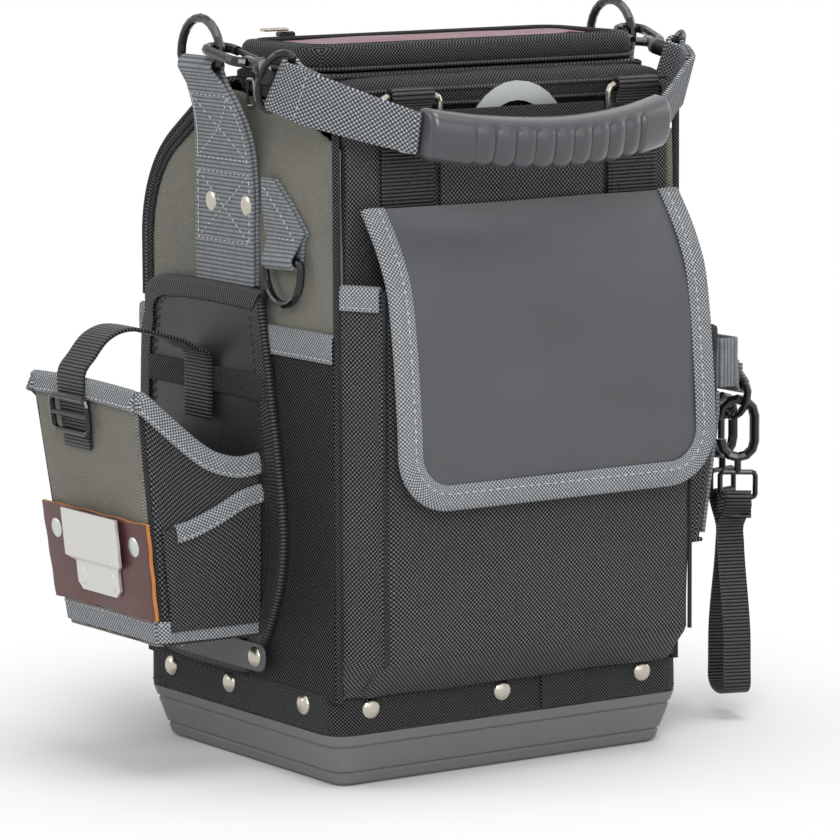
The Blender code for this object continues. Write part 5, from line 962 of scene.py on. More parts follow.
@dataclass
class Studio:
    """Camera at the photograph's angle, soft lamps, pale world and floor."""

    yaw: float = math.radians(-34.08)
    pitch: float = math.radians(7.66)
    roll: float = math.radians(-0.29)
    focal: float = 4899.32 * 36 / 840
    distance: float = 2.46139
    target: tuple[float, float, float] = (0.0, 0.0, 0.180)
    shift: tuple[float, float] = (7.54 / 840, -33.95 / 840)
    world_light: float = 0.36

    def build(self) -> None:
        """Makes the camera, the lamps, the world and the floor."""
        self.camera()
        self.lamp("key", (-1.5, -2.2, 1.6), 1.2, 40.0)
        self.lamp("front_fill", (0.2, -2.6, 0.9), 1.5, 5.0)
        self.lamp("right_fill", (2.2, -0.4, 1.1), 1.2, 7.0)
        self.lamp("top", (0.0, -0.5, 2.3), 1.2, 24.0)
        self.lamp("left_back", (-1.9, 1.2, 1.0), 1.0, 7.0)
        self.world()
        self.floor()

    def camera(self) -> None:
        """The camera, square on a point of the body with the photograph's crop as its shift."""
        level = math.cos(self.pitch)
        back = Vector((math.sin(self.yaw) * level, -math.cos(self.yaw) * level, math.sin(self.pitch)))
        right = (-back).cross(UP).normalized()
        up = right.cross(-back)
        turned_right = right * math.cos(self.roll) + up * math.sin(self.roll)
        turned_up = up * math.cos(self.roll) - right * math.sin(self.roll)
        data = bpy.data.cameras.new("photo_camera")
        data.lens, data.sensor_width = self.focal, 36.0
        data.shift_x, data.shift_y = self.shift
        data.clip_start, data.clip_end = 0.1, 60.0
        camera = bpy.data.objects.new("photo_camera", data)
        place = Matrix((turned_right, turned_up, back)).transposed().to_4x4()
        place.translation = Vector(self.target) + back * self.distance
        camera.matrix_world = place
        bpy.context.scene.collection.objects.link(camera)
        bpy.context.scene.camera = camera

    def lamp(self, name: str, place: tuple[float, float, float], size: float, power: float) -> None:
        """One square soft box that looks at the middle of the pouch."""
        data = bpy.data.lights.new(name, "AREA")
        data.shape, data.size, data.energy = "SQUARE", size, power
        lamp = bpy.data.objects.new(name, data)
        lamp.location = place
        lamp.rotation_euler = (Vector(self.target) - Vector(place)).to_track_quat("-Z", "Y").to_euler()
        bpy.context.scene.collection.objects.link(lamp)

    def seen(self, tree: Tree) -> Socket:
        """1 for what the camera, a gloss or a clear piece sees, and 0 for the light on the object."""
        ray = add(tree, "ShaderNodeLightPath").outputs
        part = calc(tree, "MAXIMUM", ray["Is Camera Ray"], ray["Is Transmission Ray"])
        return calc(tree, "MAXIMUM", part, ray["Is Glossy Ray"])

    def world(self) -> None:
        """A pale even world: soft light on the object, white where the camera or a gloss sees it."""
        world = bpy.data.worlds.new("pale_studio")
        bpy.context.scene.world = world
        world.use_nodes = True
        tree = world.node_tree
        tree.nodes.clear()
        light, white = (add(tree, "ShaderNodeBackground", {"Color": WHITE, "Strength": strength}).outputs[0]
                        for strength in (self.world_light, 1.0))
        mixed = add(tree, "ShaderNodeMixShader", {0: self.seen(tree), 1: light, 2: white})
        add(tree, "ShaderNodeOutputWorld", {0: mixed.outputs[0]})

    def floor(self) -> None:
        """A wide floor: matt near the object, where it keeps the shadow, and plain white further out."""
        deselect()
        bpy.ops.mesh.primitive_grid_add(x_subdivisions=4, y_subdivisions=4, size=60.0,
                                        location=(0.0, 0.0, -0.0004))
        floor = bpy.context.object
        floor.name = "floor"
        made = bpy.data.materials.new("matt_white_floor")
        made.use_nodes = True
        tree = made.node_tree
        shader = tree.nodes["Principled BSDF"]
        shader.inputs["Base Color"].default_value = shade("F4F4F4")
        shader.inputs["Roughness"].default_value = 0.9
        place = add(tree, "ShaderNodeTexCoord").outputs["Object"]
        reach = add(tree, "ShaderNodeVectorMath", {"operation": "LENGTH", 0: place}).outputs["Value"]
        settings = {"interpolation_type": "SMOOTHSTEP", 0: reach, 1: 0.14, 2: 0.36}
        far = add(tree, "ShaderNodeMapRange", settings).outputs[0]
        white = add(tree, "ShaderNodeEmission", {"Color": WHITE, "Strength": 1.0}).outputs[0]
        share = calc(tree, "MULTIPLY", far, self.seen(tree))
        mixed = add(tree, "ShaderNodeMixShader", {0: share, 1: shader.outputs[0], 2: white})
        tree.links.new(mixed.outputs[0], tree.nodes["Material Output"].inputs["Surface"])
        floor.data.materials.append(made)


# Sub-assemblies


@dataclass
class Rivets:
    """Domed rivet heads, turned once for each height and copied."""

    count: int = 0
    profile: tuple[tuple[float, float], ...] = (
        (1.0, 0.10), (0.965, 0.24), (0.90, 0.42), (0.78, 0.63), (0.60, 0.82), (0.38, 0.945), (0.16, 0.99),
        (0.0, 1.0))
    sunk: float = 0.0008

    def template(self, dome: float) -> Piece:
        """One head on the origin, with a flat flange, a quick shoulder and a soft dome."""
        flange = [(0.0, -self.sunk), (RIVET_RADIUS, -self.sunk)]
        shape = [(RIVET_RADIUS * wide, dome * high) for wide, high in self.profile]
        return smoothed(turned("rivet_template", flange + shape, 28), 50.0)

    def build(self, places: Sequence[tuple[Sequence[float], Sequence[float]]], dome: float,
              finish: Finish = NICKEL) -> None:
        """Copies the head to each (centre, normal) on the bag."""
        template = self.template(dome)
        for centre, normal in places:
            self.count += 1
            head = duplicate(template, f"rivet_{self.count:02d}", stood_on(centre, normal))
            dressed(head, finish, "bag", degrees=0)
        bpy.data.objects.remove(template)


@dataclass
class Tub:
    """Moulded tub and the tape that binds its rim."""

    half_x: float = 0.1050
    half_y: float = 0.0884
    centre_x: float = 0.0015
    centre_y: float = 0.0036
    corner: float = 0.0115
    rim_z: float = 0.0262
    tape: float = 0.0015
    lap_x: float = 0.0180
    lap_width: float = 0.0260
    rivet_rise: float = 0.0041
    tape_rise: float = 0.0025
    front_shares: tuple[float, ...] = (-0.80, -0.063, 0.752)
    side_shares: tuple[float, ...] = (-0.69, 0.077, 0.70)

    def build(self, rivets: Rivets) -> None:
        """Refinishes the tub and makes the tape, its lap, its seams and the rivets."""
        refinished("base_tub", TUB_RUBBER)
        self.band()
        self.lap()
        self.seams()
        middle = (self.rim_z + TUB_TOP_Z) / 2 + self.rivet_rise
        places = []
        for share in self.front_shares:
            x = self.centre_x + share * self.half_x
            places += [((x, self.centre_y + way * self.half_y, middle), (0, way, 0)) for way in (-1, 1)]
        for share in self.side_shares:
            y = self.centre_y + share * self.half_y
            places += [((self.centre_x + sign * self.half_x, y, middle), (sign, 0, 0)) for sign in (-1, 1)]
        rivets.build(places, 0.0024)

    def outline(self, inset: float) -> list[Vector]:
        """Points (x, y) round the rim, set in, no more than 5 mm apart."""
        half_x, half_y = self.half_x - inset, self.half_y - inset
        corners = rounded_rectangle(self.centre_x - half_x, self.centre_x + half_x, self.centre_y - half_y,
                                    self.centre_y + half_y, self.corner - inset / 2, 6)
        return divided(corners, lambda length: max(1, math.ceil(length / 0.005)))

    def band(self) -> None:
        """The tape: a closed band with rolled edges that puffs a little between the rivets."""
        low, high = self.rim_z + CLEAR + 0.0005, TUB_TOP_Z + self.tape_rise
        outline = self.outline(self.tape / 2)
        rows = [[Vector((x, y, z)) for z in spaced(low, high, 6)] for x, y in outline + outline[:1]]
        piece = thickened(tidied(laid("rim_tape_band", rows)), self.tape, FINE_EDGE)
        rumpled(piece, 0.00022, 0.030, 1.7)
        dressed(piece, BLACK_TAPE, "bag", "rim_tape")

    def lap(self) -> None:
        """The tape's overlapped end on the front, with its two folded edges standing up a little."""
        face = self.centre_y - self.half_y - 0.0006
        low, high = self.rim_z + 0.0012, TUB_TOP_Z + self.tape_rise
        rows = []
        for share in spaced(0.0, 1.0, 12):
            lift = 0.0004 * (math.exp(-(share / 0.10) ** 2) + math.exp(-((share - 1.0) / 0.10) ** 2))
            x = self.lap_x + self.lap_width * share
            rows.append([Vector((x, face - lift, z)) for z in spaced(low, high, 4)])
        piece = thickened(laid("rim_tape_lap", rows), 0.0011, 0.0003)
        dressed(piece, BLACK_TAPE, "bag")

    def seams(self) -> None:
        """Black lockstitch along both edges of the tape."""
        outline = self.outline(-0.0001)
        seams: list[Seam] = []
        for z in (self.rim_z + 0.0026, TUB_TOP_Z + self.tape_rise - 0.0022):
            seam: Seam = []
            for x, y in outline + outline[:1]:
                u, v = x - self.centre_x, y - self.centre_y
                side = abs(u) / self.half_x > abs(v) / self.half_y
                out = Vector((math.copysign(1, u), 0, 0) if side else (0, math.copysign(1, v), 0))
                seam.append((Vector((x, y, z)), out))
            seams.append(seam)
        sewn("rim_tape_seams", seams, BLACK_THREAD, "bag", TAPE_STITCH)


@dataclass
class Body:
    """Padded walls, side pockets, mouth band, collar roll, inner tool slots and the rear door."""

    front_top_z: float = 0.3240
    arc_z: float = 0.2550
    arc_radius: float = 0.0650
    turn: float = math.radians(56)
    end_y: float = 0.0173
    lip: float = 0.0065
    band_half_x: float = 0.0980
    band_front_y: float = 0.0660
    band_back_y: float = 0.0120
    band_corner: float = 0.0120
    collar_half_x: float = 0.0965

    def build(self) -> None:
        """Makes every soft piece of the body and its seams."""
        self.walls()
        for side, sign in SIDES:
            self.side_pocket(side, sign)
            self.corner_piping(side, sign)
            self.door_zip(side, sign)
        self.collar()
        self.mouth()
        self.inside()
        self.door()

    def walls(self) -> None:
        """The padded walls: quilted foam between two fabrics, softly rumpled."""
        for node, finish, depth in (("left_panel", KHAKI, 0.0006), ("right_panel", KHAKI, 0.0006),
                                    ("front_panel", BALLISTIC, 0.0004), ("rear_panel", BALLISTIC, 0.0005),
                                    ("divider_panel", LINING, 0.0003)):
            piece = rumpled(stuffed(node, f"{node}_padded", 0.0025), depth, 0.075, len(node) * 0.7)
            dressed(boxed(piece), finish, "bag", node)

    def side_pocket(self, side: str, sign: int) -> None:
        """A flat slip pocket: a taut sheet with a bound and sewn top edge."""
        inner = BODY_HALF_X + CLEAR + SIDE_POCKET / 2
        foot = TUB_TOP_Z + CLEAR
        rows = []
        for v in spaced(0.0, 1.0, 30):
            z = foot + (POCKET_LINE_Z - foot) * v
            far = REAR_FOOT_Y + (REAR_Y - REAR_FOOT_Y) * v
            row = []
            for u in spaced(0.0, 1.0, 24):
                swell = 0.0006 * math.sin(math.pi * u) * math.sin(math.pi * min(1.0, v * 1.1))
                row.append(Vector((sign * (inner + swell), -FRONT_Y + (far + FRONT_Y) * u, z)))
            rows.append(row)
        piece = thickened(laid(f"{side}_side_pocket_cloth", rows), SIDE_POCKET - 0.0006, 0.0003)
        dressed(piece, LINING, "bag", f"{side}_side_pocket", degrees=40)
        outer = sign * (inner + SIDE_POCKET / 2)
        path = [Vector((outer, y, POCKET_LINE_Z + 0.0001)) for y in spaced(-FRONT_Y, REAR_Y, 40)]
        taped(f"{side}_side_pocket", path, [Vector((sign, 0, 0))] * len(path), [DOWN] * len(path),
              (0.0125, SIDE_POCKET, 0.0005, 0.1), (0.0011, 0.0108))

    def corner_piping(self, side: str, sign: int) -> None:
        """The bound seams of the body's corners: a thick cord at the front, a flat tape at the rear."""
        x, y = sign * (BODY_HALF_X + 0.0002), -FRONT_Y - 0.0001
        path = [Vector((x, y, z)) for z in spaced(TUB_TOP_Z + 0.0006, self.front_top_z - 0.0014, 60)]
        corded(f"{side}_front_corner_piping", path, 0.0019, BLACK_TAPE, "bag", 12)
        foot, top = TUB_TOP_Z + 0.0030, POCKET_LINE_Z - 0.0016
        rows = [[Vector((sign * (BODY_HALF_X - inset), y + 0.0006, z)) for inset in (0.0110, 0.0004)]
                for y, z in zip(spaced(REAR_FOOT_Y, REAR_Y, 30), spaced(foot, top, 30))]
        dressed(Strip(rows).build(f"{side}_rear_corner_binding", 0.0009, 4), BLACK_TAPE, "bag")

    def door_stations(self) -> list[tuple[Vector, Vector]]:
        """Outer point (y, z) and inward normal along the rear door's profile, from the bottom up."""
        centre = Vector((REAR_Y - self.arc_radius, self.arc_z))
        stations = [(Vector((REAR_Y, POCKET_LINE_Z + CLEAR)), Vector((-1.0, 0.0)))]
        for angle in spaced(0.0, self.turn, 12):
            normal = -Vector((math.cos(angle), math.sin(angle)))
            stations.append((centre - normal * self.arc_radius, normal))
        point, normal = stations[-1]
        run = (point.x - self.end_y) / math.sin(self.turn) * Vector((-math.sin(self.turn),
                                                                     math.cos(self.turn)))
        return stations + [(point + run * share, normal) for share in (0.33, 0.66, 1.0)]

    def door_zip(self, side: str, sign: int) -> None:
        """The zip between a side and the rear door: a black tape on each side of a coil of teeth."""
        stations = self.door_stations()
        profile = smooth_path([point + normal * (self.lip - 0.0020) for point, normal in stations], 3)
        inward = smooth_path([normal for _, normal in stations], 3)
        x = sign * (BODY_HALF_X + 0.0006)
        edge, rim, cord = ([Vector((x, *(p + n * shift))) for p, n in zip(profile, inward)]
                           for shift in (-0.0028, 0.0036, 0.0034))
        tape = Strip([list(row) for row in zip(edge, rim)]).build(f"{side}_rear_zip_tape", 0.0007, 4)
        dressed(tape, BLACK_TAPE, "bag")
        path = [Vector((x + sign * 0.0006, *point)) for point in profile]
        zip_chain(f"{side}_rear_zip_teeth", path, Vector((sign, 0, 0)))
        corded(f"{side}_rear_zip_piping", cord, 0.0011, BLACK_TAPE, "bag", 10)

    def collar(self) -> None:
        """The padded roll on the front's top edge: inflated like a cushion, then bound lengthwise."""
        depth, height, squareness = 0.0170, 0.0180, 0.72
        centre_y, centre_z = -FRONT_Y + CLEAR + 0.0090, self.front_top_z + CLEAR + 0.0095
        rows = []
        for share in spaced(-1.0, 1.0, 64):
            size = 0.55 + 0.45 * (1 - abs(share) ** 14) ** 0.5
            row = []
            for angle in spaced(0.0, math.tau, 24):
                u, v = (math.copysign(abs(c) ** squareness, c) for c in (math.cos(angle), math.sin(angle)))
                row.append(Vector((self.collar_half_x * share, centre_y + depth / 2 * size * u,
                                   centre_z - height / 2 * (1 - size) + height / 2 * size * v)))
            rows.append(row)
        piece = tidied(laid("collar_roll_padded", rows), fill=True)
        inflate(piece, 0.0012)
        rumpled(piece, 0.0003, 0.028, 0.4)
        dressed(piece, BLACK_TAPE, "bag", "collar_roll")
        front = centre_y - depth / 2 - 0.0008
        for number, (shift, rise) in enumerate(((0.0004, -0.0046), (0.0002, 0.0024)), 1):
            path = [Vector((self.collar_half_x * 0.985 * share, front + shift, centre_z + rise))
                    for share in spaced(-1.0, 1.0, 70)]
            corded(f"collar_cord_{number}", path, 0.0010, BLACK_RIBBED, "bag")

    def mouth(self) -> None:
        """The gusset round the mouth and the zip that closes the lid on it."""
        cushion("mouth_band", "mouth_band_cloth", BALLISTIC, "bag", 2, 0.4, (0.0003, 0.030, 2.2))
        outline = rounded_rectangle(-self.band_half_x, self.band_half_x, -self.band_front_y, self.band_back_y,
                                    self.band_corner, 8)
        middle = -(self.band_front_y - self.band_back_y) / 2
        ring = [Vector((x, y, LID_BOTTOM_Z - 0.0032)) for x, y in outline]
        rows = []
        for point in ring + ring[:1]:
            side = abs(point.x) > 0.09
            out = Vector((math.copysign(0.0004, point.x), 0, 0) if side
                         else (0, math.copysign(0.0004, point.y - middle), 0))
            rows.append([point + out + DOWN * 0.0050, point + out + UP * 0.0020])
        dressed(Strip(rows).build("mouth_zip_tape", 0.0006, 3), BLACK_TAPE, "bag")
        chain = divided(ring, lambda length: 6)
        zip_chain("mouth_zip_teeth", [Vector((p.x * 1.009, (p.y - middle) * 1.022 + middle, p.z))
                                      for p in chain])

    def inside(self) -> None:
        """The tool slots on both inner walls: stitched tubes of lining with bound mouths."""
        for node in ("rear_tool_slots", "front_tool_slots"):
            cushion(node, f"{node}_cloth", LINING, "bag", 1, 0.6, degrees=50)

    def door(self) -> None:
        """The rounded rear door: a stiffened shell with a bound edge all round."""
        folds = (0.0005, 0.060, 3.1)
        cushion("rear_door", "rear_door_cloth", BALLISTIC, "rear_door", 3, 0.8, folds)
        edge = BODY_HALF_X - 0.0004
        profile = smooth_path([point - normal * 0.0002 for point, normal in self.door_stations()], 3)
        for side, sign in SIDES:
            path = [Vector((sign * edge, p.x, p.y)) for p in profile]
            path[0] = path[0].lerp(path[1], 0.4)
            corded(f"{side}_door_edge_piping", path, 0.0015, BLACK_TAPE, "rear_door", 10)


def inflate(piece: Piece, cap: float, pressure: float = 4.0) -> None:
    """Swells a padded piece with a short cloth simulation, capped, and applies the result to its mesh.

    Args:
        piece: The closed piece to swell.
        cap: The furthest that any point may move.
        pressure: Pressure inside it.
    """
    rest = [vertex.co.copy() for vertex in piece.data.vertices]
    pick(piece)
    cloth = piece.modifiers.new("cloth", "CLOTH")
    cloth.settings.quality = 4
    cloth.settings.use_pressure = True
    cloth.settings.uniform_pressure_force = pressure
    cloth.settings.effector_weights.gravity = 0.0
    scene = bpy.context.scene
    for step in range(1, 21):
        scene.frame_set(step)
    graph = bpy.context.evaluated_depsgraph_get()
    swollen = [vertex.co.copy() for vertex in piece.evaluated_get(graph).data.vertices]
    piece.modifiers.remove(cloth)
    scene.frame_set(1)
    for vertex, old, new in zip(piece.data.vertices, rest, swollen):
        step_out = new - old
        vertex.co = old + (step_out if step_out.length <= cap else step_out.normalized() * cap)
    piece.data.update()


def zip_chain(name: str, path: Sequence[Vector], out: Optional[Vector] = None,
              pitch: float = 0.0018) -> Piece:
    """Zip teeth along a path on the bag, one small moulded tooth copied for every pitch.

    Args:
        name: Name of the piece.
        path: Middle line of the zip.
        out: The way out of the tape, or None for a zip that runs level round the body.
        pitch: Distance from tooth to tooth.

    Returns:
        The piece.
    """
    deselect()
    bpy.ops.mesh.primitive_cube_add(size=1.0)
    tooth = bpy.context.object
    tooth.scale = (0.0010, 0.0032, 0.0011)
    pick(tooth)
    bpy.ops.object.transform_apply(scale=True)
    worked(tooth, "BEVEL", width=0.0003, segments=1)
    places = []
    for i in range(int(path_length(path) / pitch)):
        here, ahead = along_path(path, i * pitch), along_path(path, i * pitch + pitch / 2)
        along = (ahead - here).normalized()
        normal = along.cross(UP).normalized() if out is None else out
        places.append(((along, normal.cross(along).normalized(), normal), here))
    return dressed(tidied(scattered(tooth, name, places), merge=0.000001), ZIP_ACETAL, "bag", degrees=0)


@dataclass
class Lid:
    """The zipped lid: padded bound rim, vinyl top and its sliders."""

    half_x: float = 0.0990
    front_y: float = 0.0640
    back_y: float = 0.0160
    corner: float = 0.0200
    height: float = 0.0130
    rim: float = 0.0080

    def loop(self, inset: float, z: float) -> list[Vector]:
        """Points round the lid's plan, set in, at a height, no more than 5 mm apart."""
        outline = rounded_rectangle(-self.half_x + inset, self.half_x - inset, -self.front_y + inset,
                                    self.back_y - inset, max(self.corner - inset, self.corner / 4), 8)
        loop = [(x, y, z) for x, y in outline]
        return divided(loop, lambda length: max(1, math.ceil(length / 0.005)))

    def build(self) -> None:
        """Makes the rim, the top and their cords, and refinishes the sliders and pulls."""
        folds = (0.0003, 0.026, 0.9)
        cushion("lid_rim", "lid_rim_padded", BLACK_TAPE, "top_lid", 2, 0.2, folds)
        folds = (0.0005, 0.070, 1.3)
        cushion("lid_panel", "lid_panel_vinyl", BURGUNDY_VINYL, "top_lid", 3, 0.35, folds)
        cord = self.loop(self.rim + 0.0004, LID_BOTTOM_Z + self.height - 0.0006)
        corded("lid_panel_piping", cord, 0.0011, BLACK_TAPE, "top_lid", closed=True)
        low = self.loop(-0.0001, LID_BOTTOM_Z + 0.0016)
        corded("lid_rim_lower_cord", low, 0.0011, BLACK_RIBBED, "top_lid", closed=True)
        for node in ("lid", "side"):
            refinished(f"{node}_slider", GUNMETAL)
            refinished(f"{node}_pull", NICKEL)


def across_of(run: Vector, out: Vector, like: Vector) -> Vector:
    """The way in the cloth square to an edge's run, on the side that a direction points to."""
    way = run.cross(out).normalized()
    return way if way.dot(like) >= 0 else -way


def plated(name: str, outline: Sequence[Sequence[float]], centre: tuple[float, float],
           place: Callable[[float, float, float], Vector], thickness: float, rim: float,
           puff: float = 0.0) -> Piece:
    """A padded or plain plate of any round outline, laid as a fan of quads over both of its faces.

    Args:
        name: Name of the piece.
        outline: Points (u, v) round it.
        centre: A point (u, v) that sees all of the outline.
        place: Turns (u, v, lift) into a point, with lift 0 on the plate's back.
        thickness: Thickness at the rim.
        rim: Radius of the rounded rim.
        puff: How much thicker its middle is.

    Returns:
        The closed piece.
    """
    shares = (0.02, 0.18, 0.34, 0.50, 0.64, 0.76, 0.86, 0.93)
    rows: Rows = []
    for u, v in list(outline) + [outline[0]]:
        reach = math.hypot(u - centre[0], v - centre[1])

        def spot(share: float, lift: float) -> Vector:
            """The point at a share of the way out."""
            return place(centre[0] + (u - centre[0]) * share, centre[1] + (v - centre[1]) * share, lift)

        edge = 1 - rim / reach
        row = [spot(share, thickness + puff * (1 - share ** 4)) for share in shares if share < edge]
        row += [spot(edge, thickness)] * (len(shares) - len(row)) if len(row) < len(shares) else []
        row += [spot(edge + (1 - edge) * math.sin(a), thickness - rim + rim * math.cos(a))
                for a in (0.0, 0.52, 1.05, 1.57)]
        row += [spot(edge + (1 - edge) * math.cos(a), rim - rim * math.sin(a)) for a in (0.0, 0.79, 1.57)]
        row += [spot(share, 0.0) for share in (0.76, 0.50, 0.25, 0.02)]
        rows.append(row)
    return tidied(laid(name, rows), merge=0.00001, fill=True)


@dataclass
class Front:
    """Bellows pocket, its flap, the two straps with rings, the slot pocket and the steel ring."""

    back_half: float = 0.1000
    front_half: float = 0.0920
    shift: float = 0.0022
    depth: float = 0.0236
    crown: float = 0.0060
    wall: float = 0.0025
    corner: float = 0.0060
    foot_z: float = 0.0460
    slope_z: float = 0.0630
    top_z: float = 0.2440
    foot_depth: float = 0.0042
    wall_steps: int = 48
    flap_half: float = 0.0935
    flap_shift: float = 0.0040
    flap_top_z: float = 0.2810
    flap_drop: float = 0.1425
    flap_out: float = 0.0318
    flap_corner: float = 0.0280
    flap_thickness: float = 0.0022
    dent: float = 0.0016
    binding: float = 0.0120
    profile: tuple[tuple[float, float], ...] = (
        (0.0, 0.0), (0.340, 0.100), (0.575, 0.190), (0.725, 0.275), (0.845, 0.430), (0.925, 0.600),
        (0.98, 0.760), (1.0, 1.0))
    strap_x: float = 0.0668
    strap_shift: float = 0.0060
    strap_width: float = 0.0300
    strap_fold: float = 0.0240
    strap_foot_z: float = 0.2750
    web: float = 0.0020
    bar_z: float = 0.3340
    wire: float = 0.0016
    ring_half: float = 0.0166
    ring_steel: float = 0.0015
    slot_depth: float = 0.0012
    slot_top_z: float = 0.3260

    def build(self) -> None:
        """Makes every soft piece of the front and refinishes its metal."""
        self.pocket()
        self.gussets()
        self.flap()
        for side, sign in SIDES:
            self.strap(side, sign * self.strap_x + self.strap_shift)
            refinished(f"{side}_front_ring", NICKEL)
        self.slot()
        refinished("steel_ring", SATIN_STEEL)

    def level(self, z: float, depth: float, bulge: float) -> list[Vector]:
        """The middle of the pocket's wall at a height, from its left seam round to its right seam."""
        inset = self.wall / 2
        half, reach, back = self.front_half - inset, depth - inset, self.back_half - inset
        radius = min(self.corner, max(reach, 0.0006) * 0.6)
        turn = arc((self.shift + half - radius, -reach + radius), radius, -math.pi / 2, 0.0, 6)
        left = [(2 * self.shift - x, y) for x, y in reversed(turn)]
        side = list(zip(spaced(-back, left[0][0], 10), spaced(0.0, left[0][1], 10)))[:-1]
        far = list(zip(spaced(turn[-1][0], back, 10), spaced(turn[-1][1], 0.0, 10)))[1:]
        front = [(self.shift + x, -reach - bulge * math.cos(math.pi * x / (2 * half)))
                 for x in spaced(radius - half, half - radius, 60)[1:-1]]
        return [Vector((x, self.panel_y() + y, z)) for x, y in side + left + front + turn + far]

    def panel_y(self) -> float:
        """The front panel's face, with the gap of a layer that lies on it."""
        return -FRONT_Y - CLEAR

    def pocket(self) -> None:
        """The bellows pocket: one shell of heavy nylon, bowed out in the middle and sloped in at its foot."""
        rows = [self.level(self.foot_z, self.foot_depth, 0.0)]
        for share in (0.33, 0.66, 0.90):
            rows.append(self.level(self.foot_z + (self.slope_z - self.foot_z) * share ** 1.15,
                                   self.foot_depth + (self.depth - self.foot_depth) * share, 0.0))
        for z, share in zip(spaced(self.slope_z + 0.0012, self.top_z, self.wall_steps),
                            spaced(0.0, 1.0, self.wall_steps)):
            rows.append(self.level(z, self.depth, self.crown * math.sin(math.pi * share)))
        piece = rumpled(laid("front_pocket_shell", rows), 0.0007, 0.060, 2.6)
        dressed(thickened(piece, self.wall, FINE_EDGE), BALLISTIC, "bag", "front_pocket", degrees=55)
        for side, sign in SIDES:
            x, y = self.shift + sign * (self.front_half - 0.0012), self.panel_y() - self.depth + 0.0012
            path = [Vector((x, y, z)) for z in spaced(self.slope_z, self.top_z - 0.0006, 40)]
            corded(f"{side}_pocket_corner_welt", path, 0.0011, BLACK_TAPE, "bag")

    def gussets(self) -> None:
        """Grey tape folded over the top edge of each gusset, with a white seam."""
        for side, sign in SIDES:
            start = Vector((sign * self.back_half, self.panel_y() - 0.0005, self.top_z))
            end = Vector((self.shift + sign * self.front_half,
                          self.panel_y() - self.depth + self.corner * 0.6, self.top_z))
            path = [start.lerp(end, share) for share in spaced(0.0, 1.0, 20)]
            out = (end - start).cross(UP).normalized()
            out = out if out.x * sign > 0 else -out
            taped(f"{side}_gusset", path, [out] * len(path), [DOWN] * len(path),
                  (0.0105, self.wall, 0.0006, 0.8), (0.0012, 0.0088))

    def flap_back(self) -> float:
        """Where the flap's back lies at its top edge."""
        return self.panel_y() - self.ring_steel - CLEAR - self.slot_depth - CLEAR

    def flap_path(self) -> list[Vector]:
        """The flap's outer profile (y, z), from its top edge down."""
        top_y = self.flap_back() - self.flap_thickness
        return smooth_path([(top_y - self.flap_out * out, self.flap_top_z - self.flap_drop * down)
                            for out, down in self.profile], 6)

    def on_flap(self, path: Sequence[Vector], x: float, distance: float,
                lift: float) -> tuple[Vector, Vector]:
        """A point over the flap's outer face and the way off it."""
        step = 0.004
        here = along_path(path, distance)
        run = (along_path(path, distance + step) - along_path(path, max(0.0, distance - step))).normalized()
        out = Vector((0.0, run.y, -run.x))
        return Vector((self.flap_shift + x, here.x, here.y)) + out * lift, out

    def flap_edge(self, length: float, inset: float) -> list[tuple[float, float]]:
        """Points (x, distance) of the flap's edge from top left round to top right, set in by inset."""
        half, end, radius = self.flap_half - inset, length - inset, self.flap_corner - inset
        points = [(-half, distance) for distance in spaced(0.0, length - self.flap_corner, 40)[:-1]]
        points += [(-half + radius - radius * math.cos(turn), end - radius + radius * math.sin(turn))
                   for turn in spaced(0.0, math.pi / 2, 14)]
        points += [(x, end) for x in spaced(radius - half, 0.0, 16)[1:-1]]
        return points + [(0.0, end)] + [(-x, distance) for x, distance in reversed(points)]

    def dented(self, place: Vector, normal: Vector) -> Vector:
        """Shallow dents where the flap hangs over what the pocket holds; places and widths are in mm."""
        u, v = place.x * 1000, place.z * 1000
        wave = 0.35 * math.sin(u / 21 + v / 33) * math.sin(v / 14 - u / 60)
        for depth, at_u, wide, at_v, tall in ((1.1, -34, 30, 205, 15), (0.9, 42, 36, 178, 13),
                                              (-0.9, 8, 26, 160, 11),
                                              (-0.8, 60, 22, 228, 12)):
            wave += depth * math.exp(-(((u - at_u) / wide) ** 2 + ((v - at_v) / tall) ** 2))
        return normal * (-self.dent * wave)

    def flap(self) -> None:
        """The coated flap with its soft dents, its grey binding folded over the edge, and the white seam."""
        path = self.flap_path()
        length = path_length(path)
        half_edge = self.flap_edge(length, self.binding * 0.35)[:55]
        rows = [[self.on_flap(path, x - 2 * x * share, distance, -self.flap_thickness / 2)[0]
                 for share in spaced(0.0, 1.0, 60)] for x, distance in half_edge]
        piece = moved(facing(laid("flap_cloth", rows), FORTH), self.dented)
        dressed(thickened(piece, self.flap_thickness - 0.0006), COATED, "flap", "flap")
        shape = ((1.0, 0.0004), (0.85, 0.0008), (0.5, 0.0010), (0.18, 0.0009), (0.04, 0.0004), (0.0, -0.0008),
                 (0.0, -0.0016), (0.05, -0.0025), (0.5, -0.0028), (1.0, -0.0027))
        loops = [[self.on_flap(path, x, distance, lift)[0]
                  for x, distance in self.flap_edge(length, self.binding * share)]
                 for share, lift in shape]
        tape = thickened(laid("flap_binding_tape", [list(row) for row in zip(*loops)]), 0.0009)
        dressed(tape, GREY_TAPE, "flap", "flap_binding")
        seam = [self.on_flap(path, x, distance, 0.0015)
                for x, distance in self.flap_edge(length, self.binding * 0.66)]
        sewn("flap_seam", [seam], WHITE_THREAD, "flap", FLAP_STITCH)

